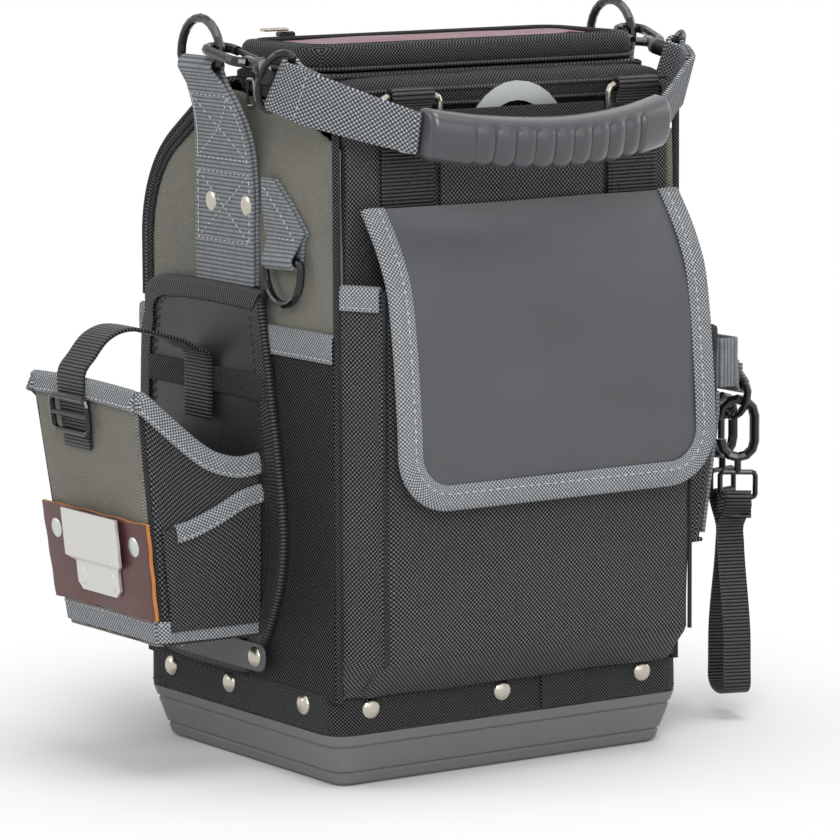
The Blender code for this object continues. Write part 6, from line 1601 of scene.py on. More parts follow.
    def strap(self, side: str, x: float) -> None:
        """A webbing strap on the front panel, folded at its top round the bar of its ring and sewn down."""
        face = self.panel_y() - self.web / 2
        radius = self.wire + LAYER_GAP + self.web / 2
        tip = fold((x, face - radius, self.bar_z), UP, -FORTH, self.wire, self.web, 0.0, SEWN_WRAP)
        wide, narrow = Vector((self.strap_width / 2, 0, 0)), Vector((self.strap_fold / 2, 0, 0))
        foot, high = self.strap_foot_z, self.bar_z - 2 * radius
        rows = ribbon([Vector((x, face, z)) for z in (foot, foot + 0.02, self.bar_z - 0.016)], wide)
        front = face - self.web - LAYER_GAP
        rows += ribbon([Vector((x, face, high)), *tip, Vector((x, front, high)),
                        Vector((x, front, high - radius))], narrow)
        web = Strip(rows).build(f"{side}_front_strap_web", self.web, 8)
        dressed(web, BLACK_RIBBED, "bag", f"{side}_front_strap")
        low, top, half = foot + 0.004, self.bar_z - 0.030, 0.0125
        corners = [Vector((x + u, face - self.web / 2 - 0.0001, z)) for u, z in (
            (-half, low), (half, low), (half, top), (-half, top), (-half, low), (half, top))]
        seam = [(a.lerp(b, share), FORTH) for a, b in zip(corners, corners[1:])
                for share in spaced(0.0, 1.0, 12)[:-1]]
        sewn(f"{side}_front_strap_seam", [seam], BLACK_THREAD, "bag", STRAP_STITCH)

    def slot(self) -> None:
        """The flat pocket between the straps, with its tape-bound mouth that the steel ring stands in."""
        cushion("slot_pocket", "slot_pocket_cloth", BALLISTIC, "bag", 2, 0.9)
        reach = self.strap_x - self.ring_half - self.wire - 2 * CLEAR
        xs = spaced(self.strap_shift - reach, self.strap_shift + reach, 40)
        front = self.flap_back() + CLEAR
        rows = [[Vector((x, front - 0.0004, self.slot_top_z + rise)) for rise in (-0.0085, 0.0004)]
                for x in xs]
        dressed(Strip(rows).build("slot_pocket_tape", 0.0009, 6), BLACK_TAPE, "bag")
        seam = [(Vector((x, front - 0.0010, self.slot_top_z - 0.0074)), FORTH) for x in xs]
        sewn("slot_pocket_seam", [seam], BLACK_THREAD, "bag")


@dataclass
class Handle:
    """Side straps with standing rings, snap hooks, webbing runs, the ribbed grip and the tabbed side ring."""

    ring_out: tuple[float, float] = (0.0195, 0.0265)
    ring_y: float = 0.0042
    ring_z: float = 0.3510
    ring_leg: float = 0.0048
    ring_wire: float = 0.00225
    web: float = 0.0021
    strap_width: float = 0.0290
    rivet_share: float = 0.403
    rivet_spread: float = 0.0161
    rivet_y: float = 0.0035
    box_shares: tuple[tuple[float, float], ...] = ((0.206, 0.54), (0.61, 0.95))
    box_sides: tuple[float, float] = (0.04, 0.93)
    foot_z: float = 0.2385
    top_gap: float = 0.0087
    stations: tuple[tuple[float, float, float, float], ...] = (
        (0.0, 0.0000, -0.0176, 0.0350), (0.2576, 0.0000, -0.0176, 0.0350),
        (0.4697, 0.0006, -0.0188, 0.0338), (0.6616, 0.0032, -0.0202, 0.0296),
        (0.7727, 0.0064, -0.0208, 0.0246), (0.8939, 0.0112, -0.0196, 0.0192),
        (1.0, 0.0148, -0.0148, 0.0182))
    hook_tilt: float = math.radians(9.7)
    right_lean: float = math.radians(17)
    lean_pivot: float = 0.0165
    hook_offset: float = 0.0065
    eye_reach: float = 0.0740
    eye_drop: float = 0.0041
    eye_lean: float = math.radians(27)
    eye_wire: float = 0.0018
    handle_web: float = 0.0024
    handle_width: float = 0.0292
    handle_end_width: float = 0.0205
    tail_share: float = 0.40
    handle_seam: float = 0.0080
    web_shares: tuple[tuple[float, float, float, float], ...] = (
        (0.15, 0.00, 0.08, 0.86), (0.36, 0.10, 0.24, 0.62), (0.48, 0.28, 0.40, 0.46),
        (0.68, 0.57, 0.68, 0.26), (0.90, 0.90, 0.95, 0.10), (0.955, 0.955, 1.00, 0.08),
        (0.975, 1.00, 1.00, 0.08))
    grip_half: float = 0.0700
    grip_shift: float = 0.0054
    grip_reach: float = 0.1283
    grip_drop: float = 0.0108
    grip_dip: float = 0.0052
    grip_sag: float = 0.0120
    grip_height: float = 0.0250
    grip_thickness: float = 0.0200
    grip_round: float = 0.0030
    grip_squareness: float = 0.75
    ribs: int = 9
    rib_share: float = 0.70
    rib_depth: float = 0.0024
    tab_y: float = -0.0450
    tab_rise: float = 0.0170
    tab_width: float = 0.0250
    tab_tilt: float = math.radians(2)
    tab_stations: tuple[tuple[float, float, float], ...] = (
        (0.0390, -0.0345, -0.0255), (0.0260, -0.0505, -0.0262), (0.0140, -0.0630, -0.0285),
        (0.0095, -0.0590, -0.0305))
    side_wire: float = 0.0020

    def build(self, rivets: Rivets) -> None:
        """Makes the straps, webbing and grip, and refinishes the metal."""
        for side, sign in SIDES:
            self.strap(side, sign, rivets)
            self.run(side, sign)
            for node in ("ring", "hook", "gate", "eye"):
                refinished(f"{side}_{node}", GUNMETAL)
        self.grip()
        self.tab()
        refinished("side_ring", GUNMETAL)

    def ring_x(self, sign: int) -> float:
        """How far the standing ring of a side stands out from the middle."""
        return BODY_HALF_X + self.ring_out[0 if sign < 0 else 1]

    def strap(self, side: str, sign: int, rivets: Rivets) -> None:
        """The wide strap up a side: two layers from the ring's bar to the foot, sewn in two boxes."""
        bar_z = self.ring_z - self.ring_leg
        foot_x = BODY_HALF_X + CLEAR + self.web + LAYER_GAP / 2
        rise = bar_z - self.top_gap - self.foot_z
        stretch = 1 + (self.ring_x(sign) - self.ring_x(-1)) / self.stations[-1][1]
        middle = [Vector((foot_x + lean * stretch, self.foot_z + rise * share))
                  for share, lean, _, _ in self.stations]
        legs: list[Rows] = []
        for way in (1, -1):
            leg: Rows = []
            for i, point in enumerate(middle):
                along = heading(middle, i).normalized()
                shift = Vector((along.y, -along.x)) * way * (self.web + LAYER_GAP) / 2
                leg.append([Vector((sign * (point.x + shift.x), y, point.y + shift.y))
                            for y in self.stations[i][2:]])
            legs.append(Strip(leg).smooth(4).rows)
        tip = fold((sign * self.ring_x(sign), self.ring_y, bar_z), UP, (sign, 0, 0), self.ring_wire, self.web)
        strip = Strip(legs[0] + ribbon(tip, Vector((0.0, self.strap_width / 2, 0.0))) + legs[1][::-1])
        dressed(strip.build(f"{side}_strap_web", self.web, 12), GREY_RIBBED, "bag", f"{side}_strap")
        outer = Strip(legs[0])
        total = outer.length()
        seams = []
        near, far = self.box_sides
        for low, high in ((total * a, total * b) for a, b in self.box_shares):
            corners = [(near, low), (far, low), (far, high), (near, high), (near, low), (far, high),
                       (far, low), (near, high)]
            seam = seam_on(outer, corners, sign * (self.web / 2 + 0.0003))
            seams.append([(point, normal * sign) for point, normal in seam])
        sewn(f"{side}_strap_seams", seams, WHITE_THREAD, "bag", SIDE_STITCH)
        face, z = sign * (foot_x + self.web + LAYER_GAP / 2 - 0.0001), self.foot_z + rise * self.rivet_share
        ys = (self.rivet_y - self.rivet_spread, self.rivet_y + self.rivet_spread)
        rivets.build([((face, y, z), (sign, 0, 0)) for y in ys], 0.0012)

    def upright(self, sign: int) -> Matrix:
        """Matrix from (reach, x, lift) to the world for a side's ring."""
        out = Vector((0.0, -math.cos(self.hook_tilt), -math.sin(self.hook_tilt)))
        lift = Vector((0.0, -math.sin(self.hook_tilt), math.cos(self.hook_tilt)))
        frame = Matrix((out, (sign, 0, 0), lift)).transposed().to_4x4()
        frame.translation = (sign * self.ring_x(sign), self.ring_y, self.ring_z)
        return frame

    def lean(self, sign: int, share: float = 1.0) -> Matrix:
        """The turn of a side's hook towards the middle."""
        turn = Matrix.Rotation(-self.right_lean * share if sign > 0 else 0.0, 4, "Z")
        pivot = Matrix.Translation((self.lean_pivot, 0.0, 0.0))
        return pivot @ turn @ pivot.inverted()

    def grip_axis(self, x: float) -> tuple[float, float]:
        """Reach and lift of the grip's centre line at a distance from its middle."""
        share = x / self.grip_half
        bow = 1 - share * share
        return self.grip_reach + self.grip_sag * bow, -self.grip_drop - self.grip_dip * bow

    def run(self, side: str, sign: int) -> None:
        """The webbing from an eye, where it is folded and sewn, to the end of the grip."""
        frame, lean_in = self.upright(sign), self.lean(sign)
        along = Vector((math.sin(self.eye_lean), 0.0, math.cos(self.eye_lean)))
        back = Vector((-math.cos(self.eye_lean), 0.0, math.sin(self.eye_lean)))
        bar = Vector((self.eye_reach, 0.0, self.hook_offset - self.eye_drop))
        tip = [lean_in @ point for point in fold(bar, back, FORTH, self.eye_wire, self.handle_web, steps=8)]
        rows = ribbon(tip, lean_in.to_3x3() @ along * self.handle_width / 2)
        reach, lift = self.grip_axis(self.grip_half)
        half = sign * (sign * self.grip_half - self.grip_shift)
        turn_in = half - self.ring_x(sign) + CLEAR + self.handle_web / 8
        leg = (self.handle_web + LAYER_GAP) / 2
        tail: Rows = []
        bar = lean_in @ bar
        way = Vector((reach, turn_in, lift)) - bar
        for run, turn, fall, lean in self.web_shares:
            middle = bar + Vector((way.x * run, way.y * turn, way.z * fall))
            width = self.handle_width + (self.handle_end_width - self.handle_width) * fall
            angle, turned_by = self.eye_lean * lean, self.lean(sign, lean).to_3x3()
            across = turned_by @ Vector((math.sin(angle), 0.0, math.cos(angle))) * width / 2
            across_leg = turned_by @ Vector((0.0, leg * (1 - turn), 0.0))
            rows += ribbon([middle + across_leg], across)
            if run < self.tail_share:
                tail = ribbon([middle - across_leg], across) + tail
        count = len(tail) + len(tip)
        rows = [[frame @ point for point in row] for row in tail + rows]
        free = Strip(rows[count:]).smooth(3)
        web = Strip(rows[:count] + free.rows).build(f"{side}_handle_webbing", self.handle_web, 8)
        dressed(web, GREY_WEBBING, "handle", f"{side}_handle_web")
        seams = []
        for face in (1, -1):
            line = seam_on(free, [(0.05, self.handle_seam), (0.95, self.handle_seam)],
                           face * (self.handle_web / 2 + 0.00025))
            seams.append([(point, normal * face) for point, normal in line])
        sewn(f"{side}_handle_seams", seams, WHITE_THREAD, "handle", HANDLE_STITCH)

    def grip(self) -> None:
        """The moulded rubber grip: bowed out, with a framed finger zone of nine soft ribs and domed ends."""
        frame = self.upright(1)
        frame.translation = (-self.grip_shift, self.ring_y, self.ring_z)
        zone = self.grip_half * self.rib_share
        pitch = 2 * zone / self.ribs
        straight = self.grip_half - self.grip_round
        end = [-self.grip_half + self.grip_round * (1 - math.cos(turn))
               for turn in spaced(0.0, math.pi / 2, 7)]
        rows: Rows = []
        for x in end + spaced(-straight, straight, 300)[1:-1] + [-x for x in reversed(end)]:
            reach, lift = self.grip_axis(x)
            near_end = max(0.0, (abs(x) - straight) / self.grip_round)
            shrink = self.grip_round * (1 - math.sqrt(max(0.0, 1 - near_end ** 2)))
            inside = 1 / (1 + math.exp((abs(x) - zone) / 0.00045))
            rib = (0.5 - 0.5 * math.cos(math.tau * (((x + zone) / pitch) % 1.0))) ** 0.32
            row = []
            for angle in spaced(0.0, math.tau, 64):
                c, s = math.cos(angle), math.sin(angle)
                front = 1 / (1 + math.exp(-(c - 0.9 * s - 0.10) * 16))
                shy = self.rib_depth * front * inside * (1 - 0.85 * rib) + shrink
                a, b = (math.copysign(abs(w) ** self.grip_squareness, w) for w in (c, s))
                row.append(frame @ Vector((reach + (self.grip_thickness / 2 - shy) * a, x,
                                           lift + (self.grip_height / 2 - shy) * b)))
            rows.append(row)
        piece = tidied(laid("handle_grip_rubber", rows), merge=0.00001, fill=True)
        dressed(piece, RUBBER, "handle", "handle_grip", degrees=50)

    def tab(self) -> None:
        """The webbing tab of the side ring, folded round its bar, both layers cut to a slanted top."""
        down = Vector((0.0, -math.sin(self.tab_tilt), -math.cos(self.tab_tilt)))
        along = Vector((0.0, math.cos(self.tab_tilt), -math.sin(self.tab_tilt)))
        face = -BODY_HALF_X - CLEAR - self.web / 2
        radius = self.side_wire + LAYER_GAP + self.web / 2
        bar = Vector((face - radius, self.tab_y, self.foot_z - 0.0015 + self.tab_rise))
        tip = fold(bar, down, -LEFT, self.side_wire, self.web, 0.0, SEWN_WRAP)
        legs = []
        for plane in (face, face - self.web - LAYER_GAP):
            leg = [[Vector((plane, y, bar.z + rise)) for y in (near, far)]
                   for rise, near, far in self.tab_stations]
            fine = [[a.lerp(c, share), b.lerp(d, share)] for (a, b), (c, d) in zip(leg, leg[1:])
                    for share in (0.0, 0.25, 0.50, 0.75)]
            legs.append(fine + [leg[-1]])
        rows = legs[0] + ribbon(tip, along * self.tab_width / 2) + legs[1][::-1]
        dressed(Strip(rows).build("ring_tab_web", self.web, 8), GREY_RIBBED, "bag", "ring_tab")
        lift = LEFT * (self.web / 2 + 0.0003)
        seams = [[(near + lift * 1.1 + Vector((0, 0.0066, -0.0038)), LEFT) for near, _ in legs[1][:-1]]]
        near, far = (point + lift + UP * 0.0012 for point in legs[1][-1])
        seams.append([(near.lerp(far, share), LEFT) for share in spaced(0.10, 0.90, 12)])
        sewn("ring_tab_seams", seams, WHITE_THREAD, "bag")


@dataclass
class Holster:
    """The holster on the left: backing, pouch, outer pocket, leather patch, clip plate and strap."""

    thickness: float = 0.0034
    low_z: float = 0.0480
    height: float = 0.1890
    low_y: float = -0.0450
    width: float = 0.1310
    outline_shares: tuple[tuple[float, float], ...] = (
        (0.23, 0.02), (0.34, 0.0), (0.74, 0.0), (0.85, 0.03), (0.93, 0.13), (1.0, 0.42), (0.99, 0.80),
        (0.96, 0.90), (0.87, 0.995), (0.18, 1.0), (0.15, 0.97), (0.08, 0.72), (0.01, 0.44), (0.02, 0.28),
        (0.10, 0.14))
    plate_depth: float = 0.0014
    plate: tuple[float, float, float, float] = (-0.0300, 0.0560, 0.0500, 0.0640)
    plate_corner: float = 0.0060
    rivet_inset: float = 0.0090
    band: tuple[float, float, float, float] = (-0.0310, 0.0770, 0.1843, 0.1968)
    pouch_low_z: float = 0.0680
    pouch_back_z: float = 0.1540
    pouch_top_z: float = 0.1915
    arch: float = 0.0022
    foot_out: float = 0.0560
    top_out: float = 0.0690
    foot_y: tuple[float, float] = (-0.0230, 0.0665)
    top_y: tuple[float, float] = (-0.0250, 0.0785)
    edge_shares: tuple[tuple[float, float], ...] = (
        (0.0, 0.08), (0.17, 0.05), (0.35, 0.14), (0.48, 0.284), (0.62, 0.493), (0.80, 0.78))
    wall: float = 0.0025
    corner: float = 0.0070
    outer_depth: float = 0.0022
    outer_flat: tuple[float, float] = (0.062, 0.058)
    outer_low_z: float = 0.0750
    outer_high_z: tuple[float, ...] = (0.1420, 0.1395, 0.1340, 0.1305, 0.1275, 0.1255, 0.1250)
    leather: float = 0.0030
    leather_z: tuple[float, float] = (0.0810, 0.1290)
    leather_over: float = 0.0020
    web: float = 0.0018
    web_width: float = 0.0250
    strap_y: float = 0.0270
    strap_end_y: float = 0.0340
    strap_rise: float = 0.0200
    strap_low_z: float = 0.1705
    strap_foot_z: float = 0.2005
    tail_low_z: float = 0.1600
    slider_z: float = 0.1765
    arch_shares: tuple[tuple[float, float], ...] = (
        (0.1, 0.30), (0.2, 0.53), (0.3, 0.67), (0.4, 0.79), (0.5, 0.91), (0.62, 1.0), (0.72, 0.97),
        (0.82, 0.80), (0.91, 0.45))
    near_corner: int = 37
    far_corner: int = 62

    def build(self, rivets: Rivets) -> None:
        """Makes every soft piece of the holster and refinishes its metal."""
        self.back(rivets)
        self.pouch()
        self.pocket()
        self.patch(rivets)
        refinished("clip_plate", PALE_STEEL)
        self.strap()
        refinished("strap_slider", GUNMETAL)

    def face_x(self) -> float:
        """The outer face of the backing."""
        return -BODY_HALF_X - CLEAR - SIDE_POCKET - CLEAR - self.thickness

    def outline(self, wide: float = 1.0, tall: float = 1.0) -> list[Vector]:
        """The backing's smooth outline (y, z), drawn in towards its middle by two shares."""
        points = [(self.low_y + self.width * u, self.low_z + self.height * v) for u, v in self.outline_shares]
        y, z = self.middle()
        return [Vector((y + (point.x - y) * wide, z + (point.y - z) * tall))
                for point in smooth_path(points, 8, closed=True)]

    def middle(self) -> tuple[float, float]:
        """The middle (y, z) of the backing."""
        return self.low_y + self.width * 0.5, self.low_z + self.height * 0.5

    def back(self, rivets: Rivets) -> None:
        """The vinyl backing: padded binding, two hem seams, the band across it and the riveted foot plate."""
        outer = self.face_x()

        def inside(y: float, z: float, lift: float) -> Vector:
            """A point over the backing's inner side."""
            return Vector((outer + self.thickness - lift, y, z))

        def outside(y: float, z: float, lift: float) -> Vector:
            """A point over the backing's outer side."""
            return Vector((outer - lift, y, z))

        piece = plated("holster_back_padded", self.outline(), self.middle(), inside, self.thickness - 0.0008,
                       0.0012, 0.0006)
        dressed(boxed(piece), BLACK_VINYL, "bag", "holster_back")
        ring = [outside(y, z, -self.thickness * 0.5) for y, z in self.outline(0.985, 0.990)]
        corded("holster_back_binding", ring, 0.0024, BLACK_RIBBED, "bag", 12, closed=True)
        rims = [[outside(y, z, 0.0004) for y, z in self.outline(*shares)]
                for shares in ((0.995, 0.997), (0.870, 0.910))]
        edging = Strip([list(row) for row in zip(*(rim + rim[:1] for rim in rims))])
        dressed(edging.build("holster_back_edging", 0.0010, 4), BLACK_RIBBED, "bag")
        loops = [[outside(y, z, -0.00002) for y, z in self.outline(share, 0.5 + share / 2)]
                 for share in (0.845, 0.805)]
        seams = [[(point, LEFT) for point in loop + loop[:1]] for loop in loops]
        sewn("holster_back_seams", seams, BLACK_THREAD, "bag", HEM_STITCH)
        near, far, low, high = self.band
        rows = [[outside(y, z, 0.0007) for z in (low, high)] for y in spaced(near, far, 40)]
        dressed(Strip(rows).build("holster_band", 0.0012, 8), BLACK_TAPE, "bag")
        near, far, low, high = self.plate
        plate, level = rounded_rectangle(near, far, low, high, self.plate_corner, 6), (low + high) / 2
        foot = plated("holster_foot_plate", plate, ((near + far) / 2, level), outside, self.plate_depth,
                      0.0005)
        dressed(boxed(foot), COATED, "bag", degrees=50)
        ys = (near + self.rivet_inset, far - self.rivet_inset)
        rivets.build([(outside(y, level, self.plate_depth), LEFT) for y in ys], 0.0022)

    def size(self, share: float) -> tuple[float, float, float]:
        """How far the pouch stands out, and its near and far y, at a share of its height."""
        pairs = zip((self.foot_out, *self.foot_y), (self.top_out, *self.top_y))
        return tuple(foot + (top - foot) * share for foot, top in pairs)

    def heights(self) -> list[float]:
        """Top edge of the pouch at each point of its path: low at the back, high at the front."""
        top = self.pouch_top_z
        side = [self.pouch_back_z + (top - self.pouch_back_z) * share for _, share in self.edge_shares]
        front = [top - self.arch, top, top, top + self.arch / 2]
        return side + front + [top + self.arch] + front[::-1] + side[::-1]

    def around(self, share: float, shift: float, base_z: float) -> list[Vector]:
        """The pouch's coarse path at a share of its height, moved inwards by shift."""
        out, near, far = self.size(share)
        out, near, far = out - shift, near + shift, far - shift
        radius = max(self.corner - shift / 2, self.corner / 4)
        back = self.face_x() - CLEAR
        front = back - out
        path = [(back - out * step, near) for step, _ in self.edge_shares]
        path += arc((front + radius, near + radius), radius, 1.5 * math.pi, math.pi, 3)
        path += [(front, near + (far - near) * 0.5)]
        path += arc((front + radius, far - radius), radius, math.pi, 0.5 * math.pi, 3)
        path += [(back - out * step, far) for step, _ in reversed(self.edge_shares)]
        return [Vector((x, y, base_z + (top - base_z) * share)) for (x, y), top in zip(path, self.heights())]

    def ring(self, share: float, shift: float, base_z: float) -> list[Vector]:
        """The same path on a smooth curve, five steps from point to point."""
        return smooth_path(self.around(share, shift, base_z), 5)

    def pouch(self) -> None:
        """The pouch: black wings, khaki front, floor, piping on the corners and grey tape on both edges."""
        low = self.pouch_low_z
        rings = [self.ring(share, self.wall / 2, low) for share in spaced(0.0, 1.0, 40)]
        last = len(rings[0]) - 1
        for label, start, end, finish, depth, nodes in (
                ("near_wing", 0, self.near_corner, BALLISTIC, 0.0004, ()),
                ("front", self.near_corner, self.far_corner, KHAKI, 0.0006, ("holster_pouch",)),
                ("far_wing", self.far_corner, last, BALLISTIC, 0.0004, ())):
            piece = laid(f"pouch_{label}", [ring[start:end + 1] for ring in rings])
            piece = rumpled(piece, depth, 0.050, 1.1)
            dressed(thickened(piece, self.wall - THINNER), finish, "bag", *nodes)
        loop = [point + UP * self.wall / 2 for point in self.ring(0.0, 0.0006, low)]
        rows = [[loop[i].lerp(loop[last - i], share) for share in spaced(0.0, 1.0, 12)]
                for i in range(last // 2)]
        dressed(thickened(laid("pouch_floor", rows), self.wall - THINNER), BALLISTIC, "bag")
        for label, column in (("near", self.near_corner), ("far", self.far_corner)):
            path = [self.ring(i / 30, 0.0003, low)[column] for i in range(2, 30)]
            corded(f"pouch_{label}_piping", path, 0.0013, BLACK_TAPE, "bag")
        self.edges(low)

    def outs(self, path: Sequence[Vector]) -> list[Vector]:
        """The level way out of the pouch's wall at each point of a path round it."""
        ways = []
        for i, point in enumerate(path):
            run = heading(path, i)
            way = Vector((run.x, run.y, 0)).cross(UP)
            way = way.normalized() if way.length > 1e-9 else FORTH
            ways.append(way if way.dot(point - Vector((self.face_x() - 0.03, 0.024, point.z))) > 0 else -way)
        return ways

    def edges(self, low: float) -> None:
        """Grey tape folded over the curved top edge and sewn round the foot, each with its seam."""
        top = self.ring(1.0, 0.0, low)
        outs = self.outs(top)
        downs = [across_of(heading(top, i), out, DOWN) for i, out in enumerate(outs)]
        dressed(bound_edge("pouch_top_binding", top, outs, downs, 0.0085, self.wall, 0.0006, 0.8),
                GREY_TAPE, "bag")
        rows = [list(row) for row in zip(*(self.ring(share, -0.0007, low) for share in (0.015, 0.10)))]
        dressed(Strip(rows).build("pouch_foot_tape", 0.0009, 6), GREY_TAPE, "bag")
        foot = self.ring(0.088, -0.0013, low)
        seams = [edge_seam(top, outs, downs, 0.0012, 0.0070), list(zip(foot, self.outs(foot)))]
        sewn("pouch_seams", seams, WHITE_THREAD, "bag")

    def on_near(self, column: float, z: float, lift: float) -> Vector:
        """A point over the pouch's near wing: column is its place along the coarse path."""
        tops = self.heights()
        index = min(int(column), len(tops) - 2)
        part = column - index
        top = tops[index] * (1 - part) + tops[index + 1] * part
        ring = self.around((z - self.pouch_low_z) / (top - self.pouch_low_z), -lift, self.pouch_low_z)
        return ring[index].lerp(ring[index + 1], part)

    def pocket(self) -> None:
        """The small flat pocket on the near wing, bound in grey along its slanting mouth."""
        lift, columns = CLEAR + self.outer_depth / 2, 42
        curve = smooth_path([(i, z, 0.0) for i, z in enumerate(self.outer_high_z)], 7)
        tops = [along_path(curve, distance) for distance in spaced(0.0, path_length(curve), columns)]
        rows: Rows = []
        for up in spaced(0.0, 1.0, 24):
            row = []
            for i, top in enumerate(tops):
                z = self.outer_low_z + (top.y - self.outer_low_z) * up
                swell = 0.0005 * math.sin(math.pi * i / columns) * math.sin(math.pi * up)
                row.append(self.on_near(top.x, z, lift + swell) + LEFT * (CLEAR if i == 0 else 0.0))
            rows.append(row)
        piece = thickened(laid("outer_pocket_cloth", rows), self.outer_depth - 0.0006)
        dressed(piece, BALLISTIC, "bag", "outer_pocket")
        edge = [self.on_near(top.x, top.y + 0.0002, lift + self.outer_depth / 2) for top in tops]
        downs = [across_of(heading(edge, i), FORTH, DOWN) for i in range(columns - 8)]
        taped("outer_pocket", edge[:columns - 8], [FORTH] * (columns - 8), downs,
              (0.0075, self.outer_depth, 0.0004, 0.2), (0.0009, 0.0060))

    def front_share(self, z: float) -> float:
        """The share of the pouch's height at a height on its front."""
        return (z - self.pouch_low_z) / (self.pouch_top_z - self.pouch_low_z)

    def front_point(self, y: float, z: float, stand: float) -> Vector:
        """A point over the pouch's front face."""
        return Vector((self.face_x() - CLEAR - self.size(self.front_share(z))[0] - stand, y, z))

    def patch(self, rivets: Rivets) -> None:
        """The leather across the foot of the front, cut a little wavy, with its raw edge and two rivets."""
        (low, high), over = self.leather_z, self.leather_over
        _, near_low, far_low = self.size(self.front_share(low))
        _, near, far = self.size(self.front_share(high))
        corners = [(near_low - over, low), (far_low + over, low), (far + over, high), (near - over, high)]
        outline = divided(corners, lambda length: max(2, round(length / 0.002)))
        wavy = [(y + 0.0003 * math.sin(z * 380 + y * 90), z + 0.0003 * math.sin(y * 230 + 1.0))
                for y, z in outline]

        def place(y: float, z: float, lift: float) -> Vector:
            """A point over the back of the leather."""
            bow = 0.0005 * math.sin((y - near) * 95) if lift > 0.001 else 0.0
            return self.front_point(y, z, CLEAR + lift + bow)

        middle = ((near + far) / 2, (low + high) / 2)
        piece = boxed(plated("leather_patch_hide", wavy, middle, place, self.leather - THINNER, 0.0006))
        for finish in (LEATHER, RAW_EDGE):
            piece.data.materials.append(finish.make())
        for face in piece.data.polygons:
            face.material_index = 1 if abs(face.normal.x) < 0.55 else 0
        dressed(piece, LEATHER, "bag", "leather_patch")
        rise = self.front_point(0.0, self.pouch_top_z, 0.0) - self.front_point(0.0, self.pouch_low_z, 0.0)
        normal = Vector((-rise.z, 0.0, rise.x)).normalized()
        z, stand = high - RIVET_RADIUS * 2.4, CLEAR + self.leather - 0.0003
        ys = (near + RIVET_RADIUS * 2.2, far - RIVET_RADIUS * 2.2)
        rivets.build([(self.front_point(y, z, stand), normal) for y in ys], 0.0011, SATIN_STEEL)

    def strap(self) -> None:
        """The adjusting strap: from the backing, arched over the mouth, down to the slider on the front."""
        half = self.web / 2
        start = Vector((self.face_x() - self.plate_depth - CLEAR - half, self.strap_y, self.strap_low_z))
        foot = Vector((start.x, start.y, self.strap_foot_z))
        top = self.front_point(self.strap_end_y, self.pouch_top_z + 2 * self.arch, CLEAR + half)
        arched = [foot.lerp(top, share) + UP * (self.strap_rise * rise) for share, rise in self.arch_shares]
        tail = [self.front_point(self.strap_end_y, z, CLEAR + half) for z in (self.slider_z, self.tail_low_z)]
        strip = Strip(ribbon([start, foot, *arched, top, *tail],
                             Vector((0, self.web_width / 2, 0)))).smooth(4)
        dressed(strip.build("holster_strap_web", self.web, 8), BLACK_RIBBED, "bag", "holster_strap")


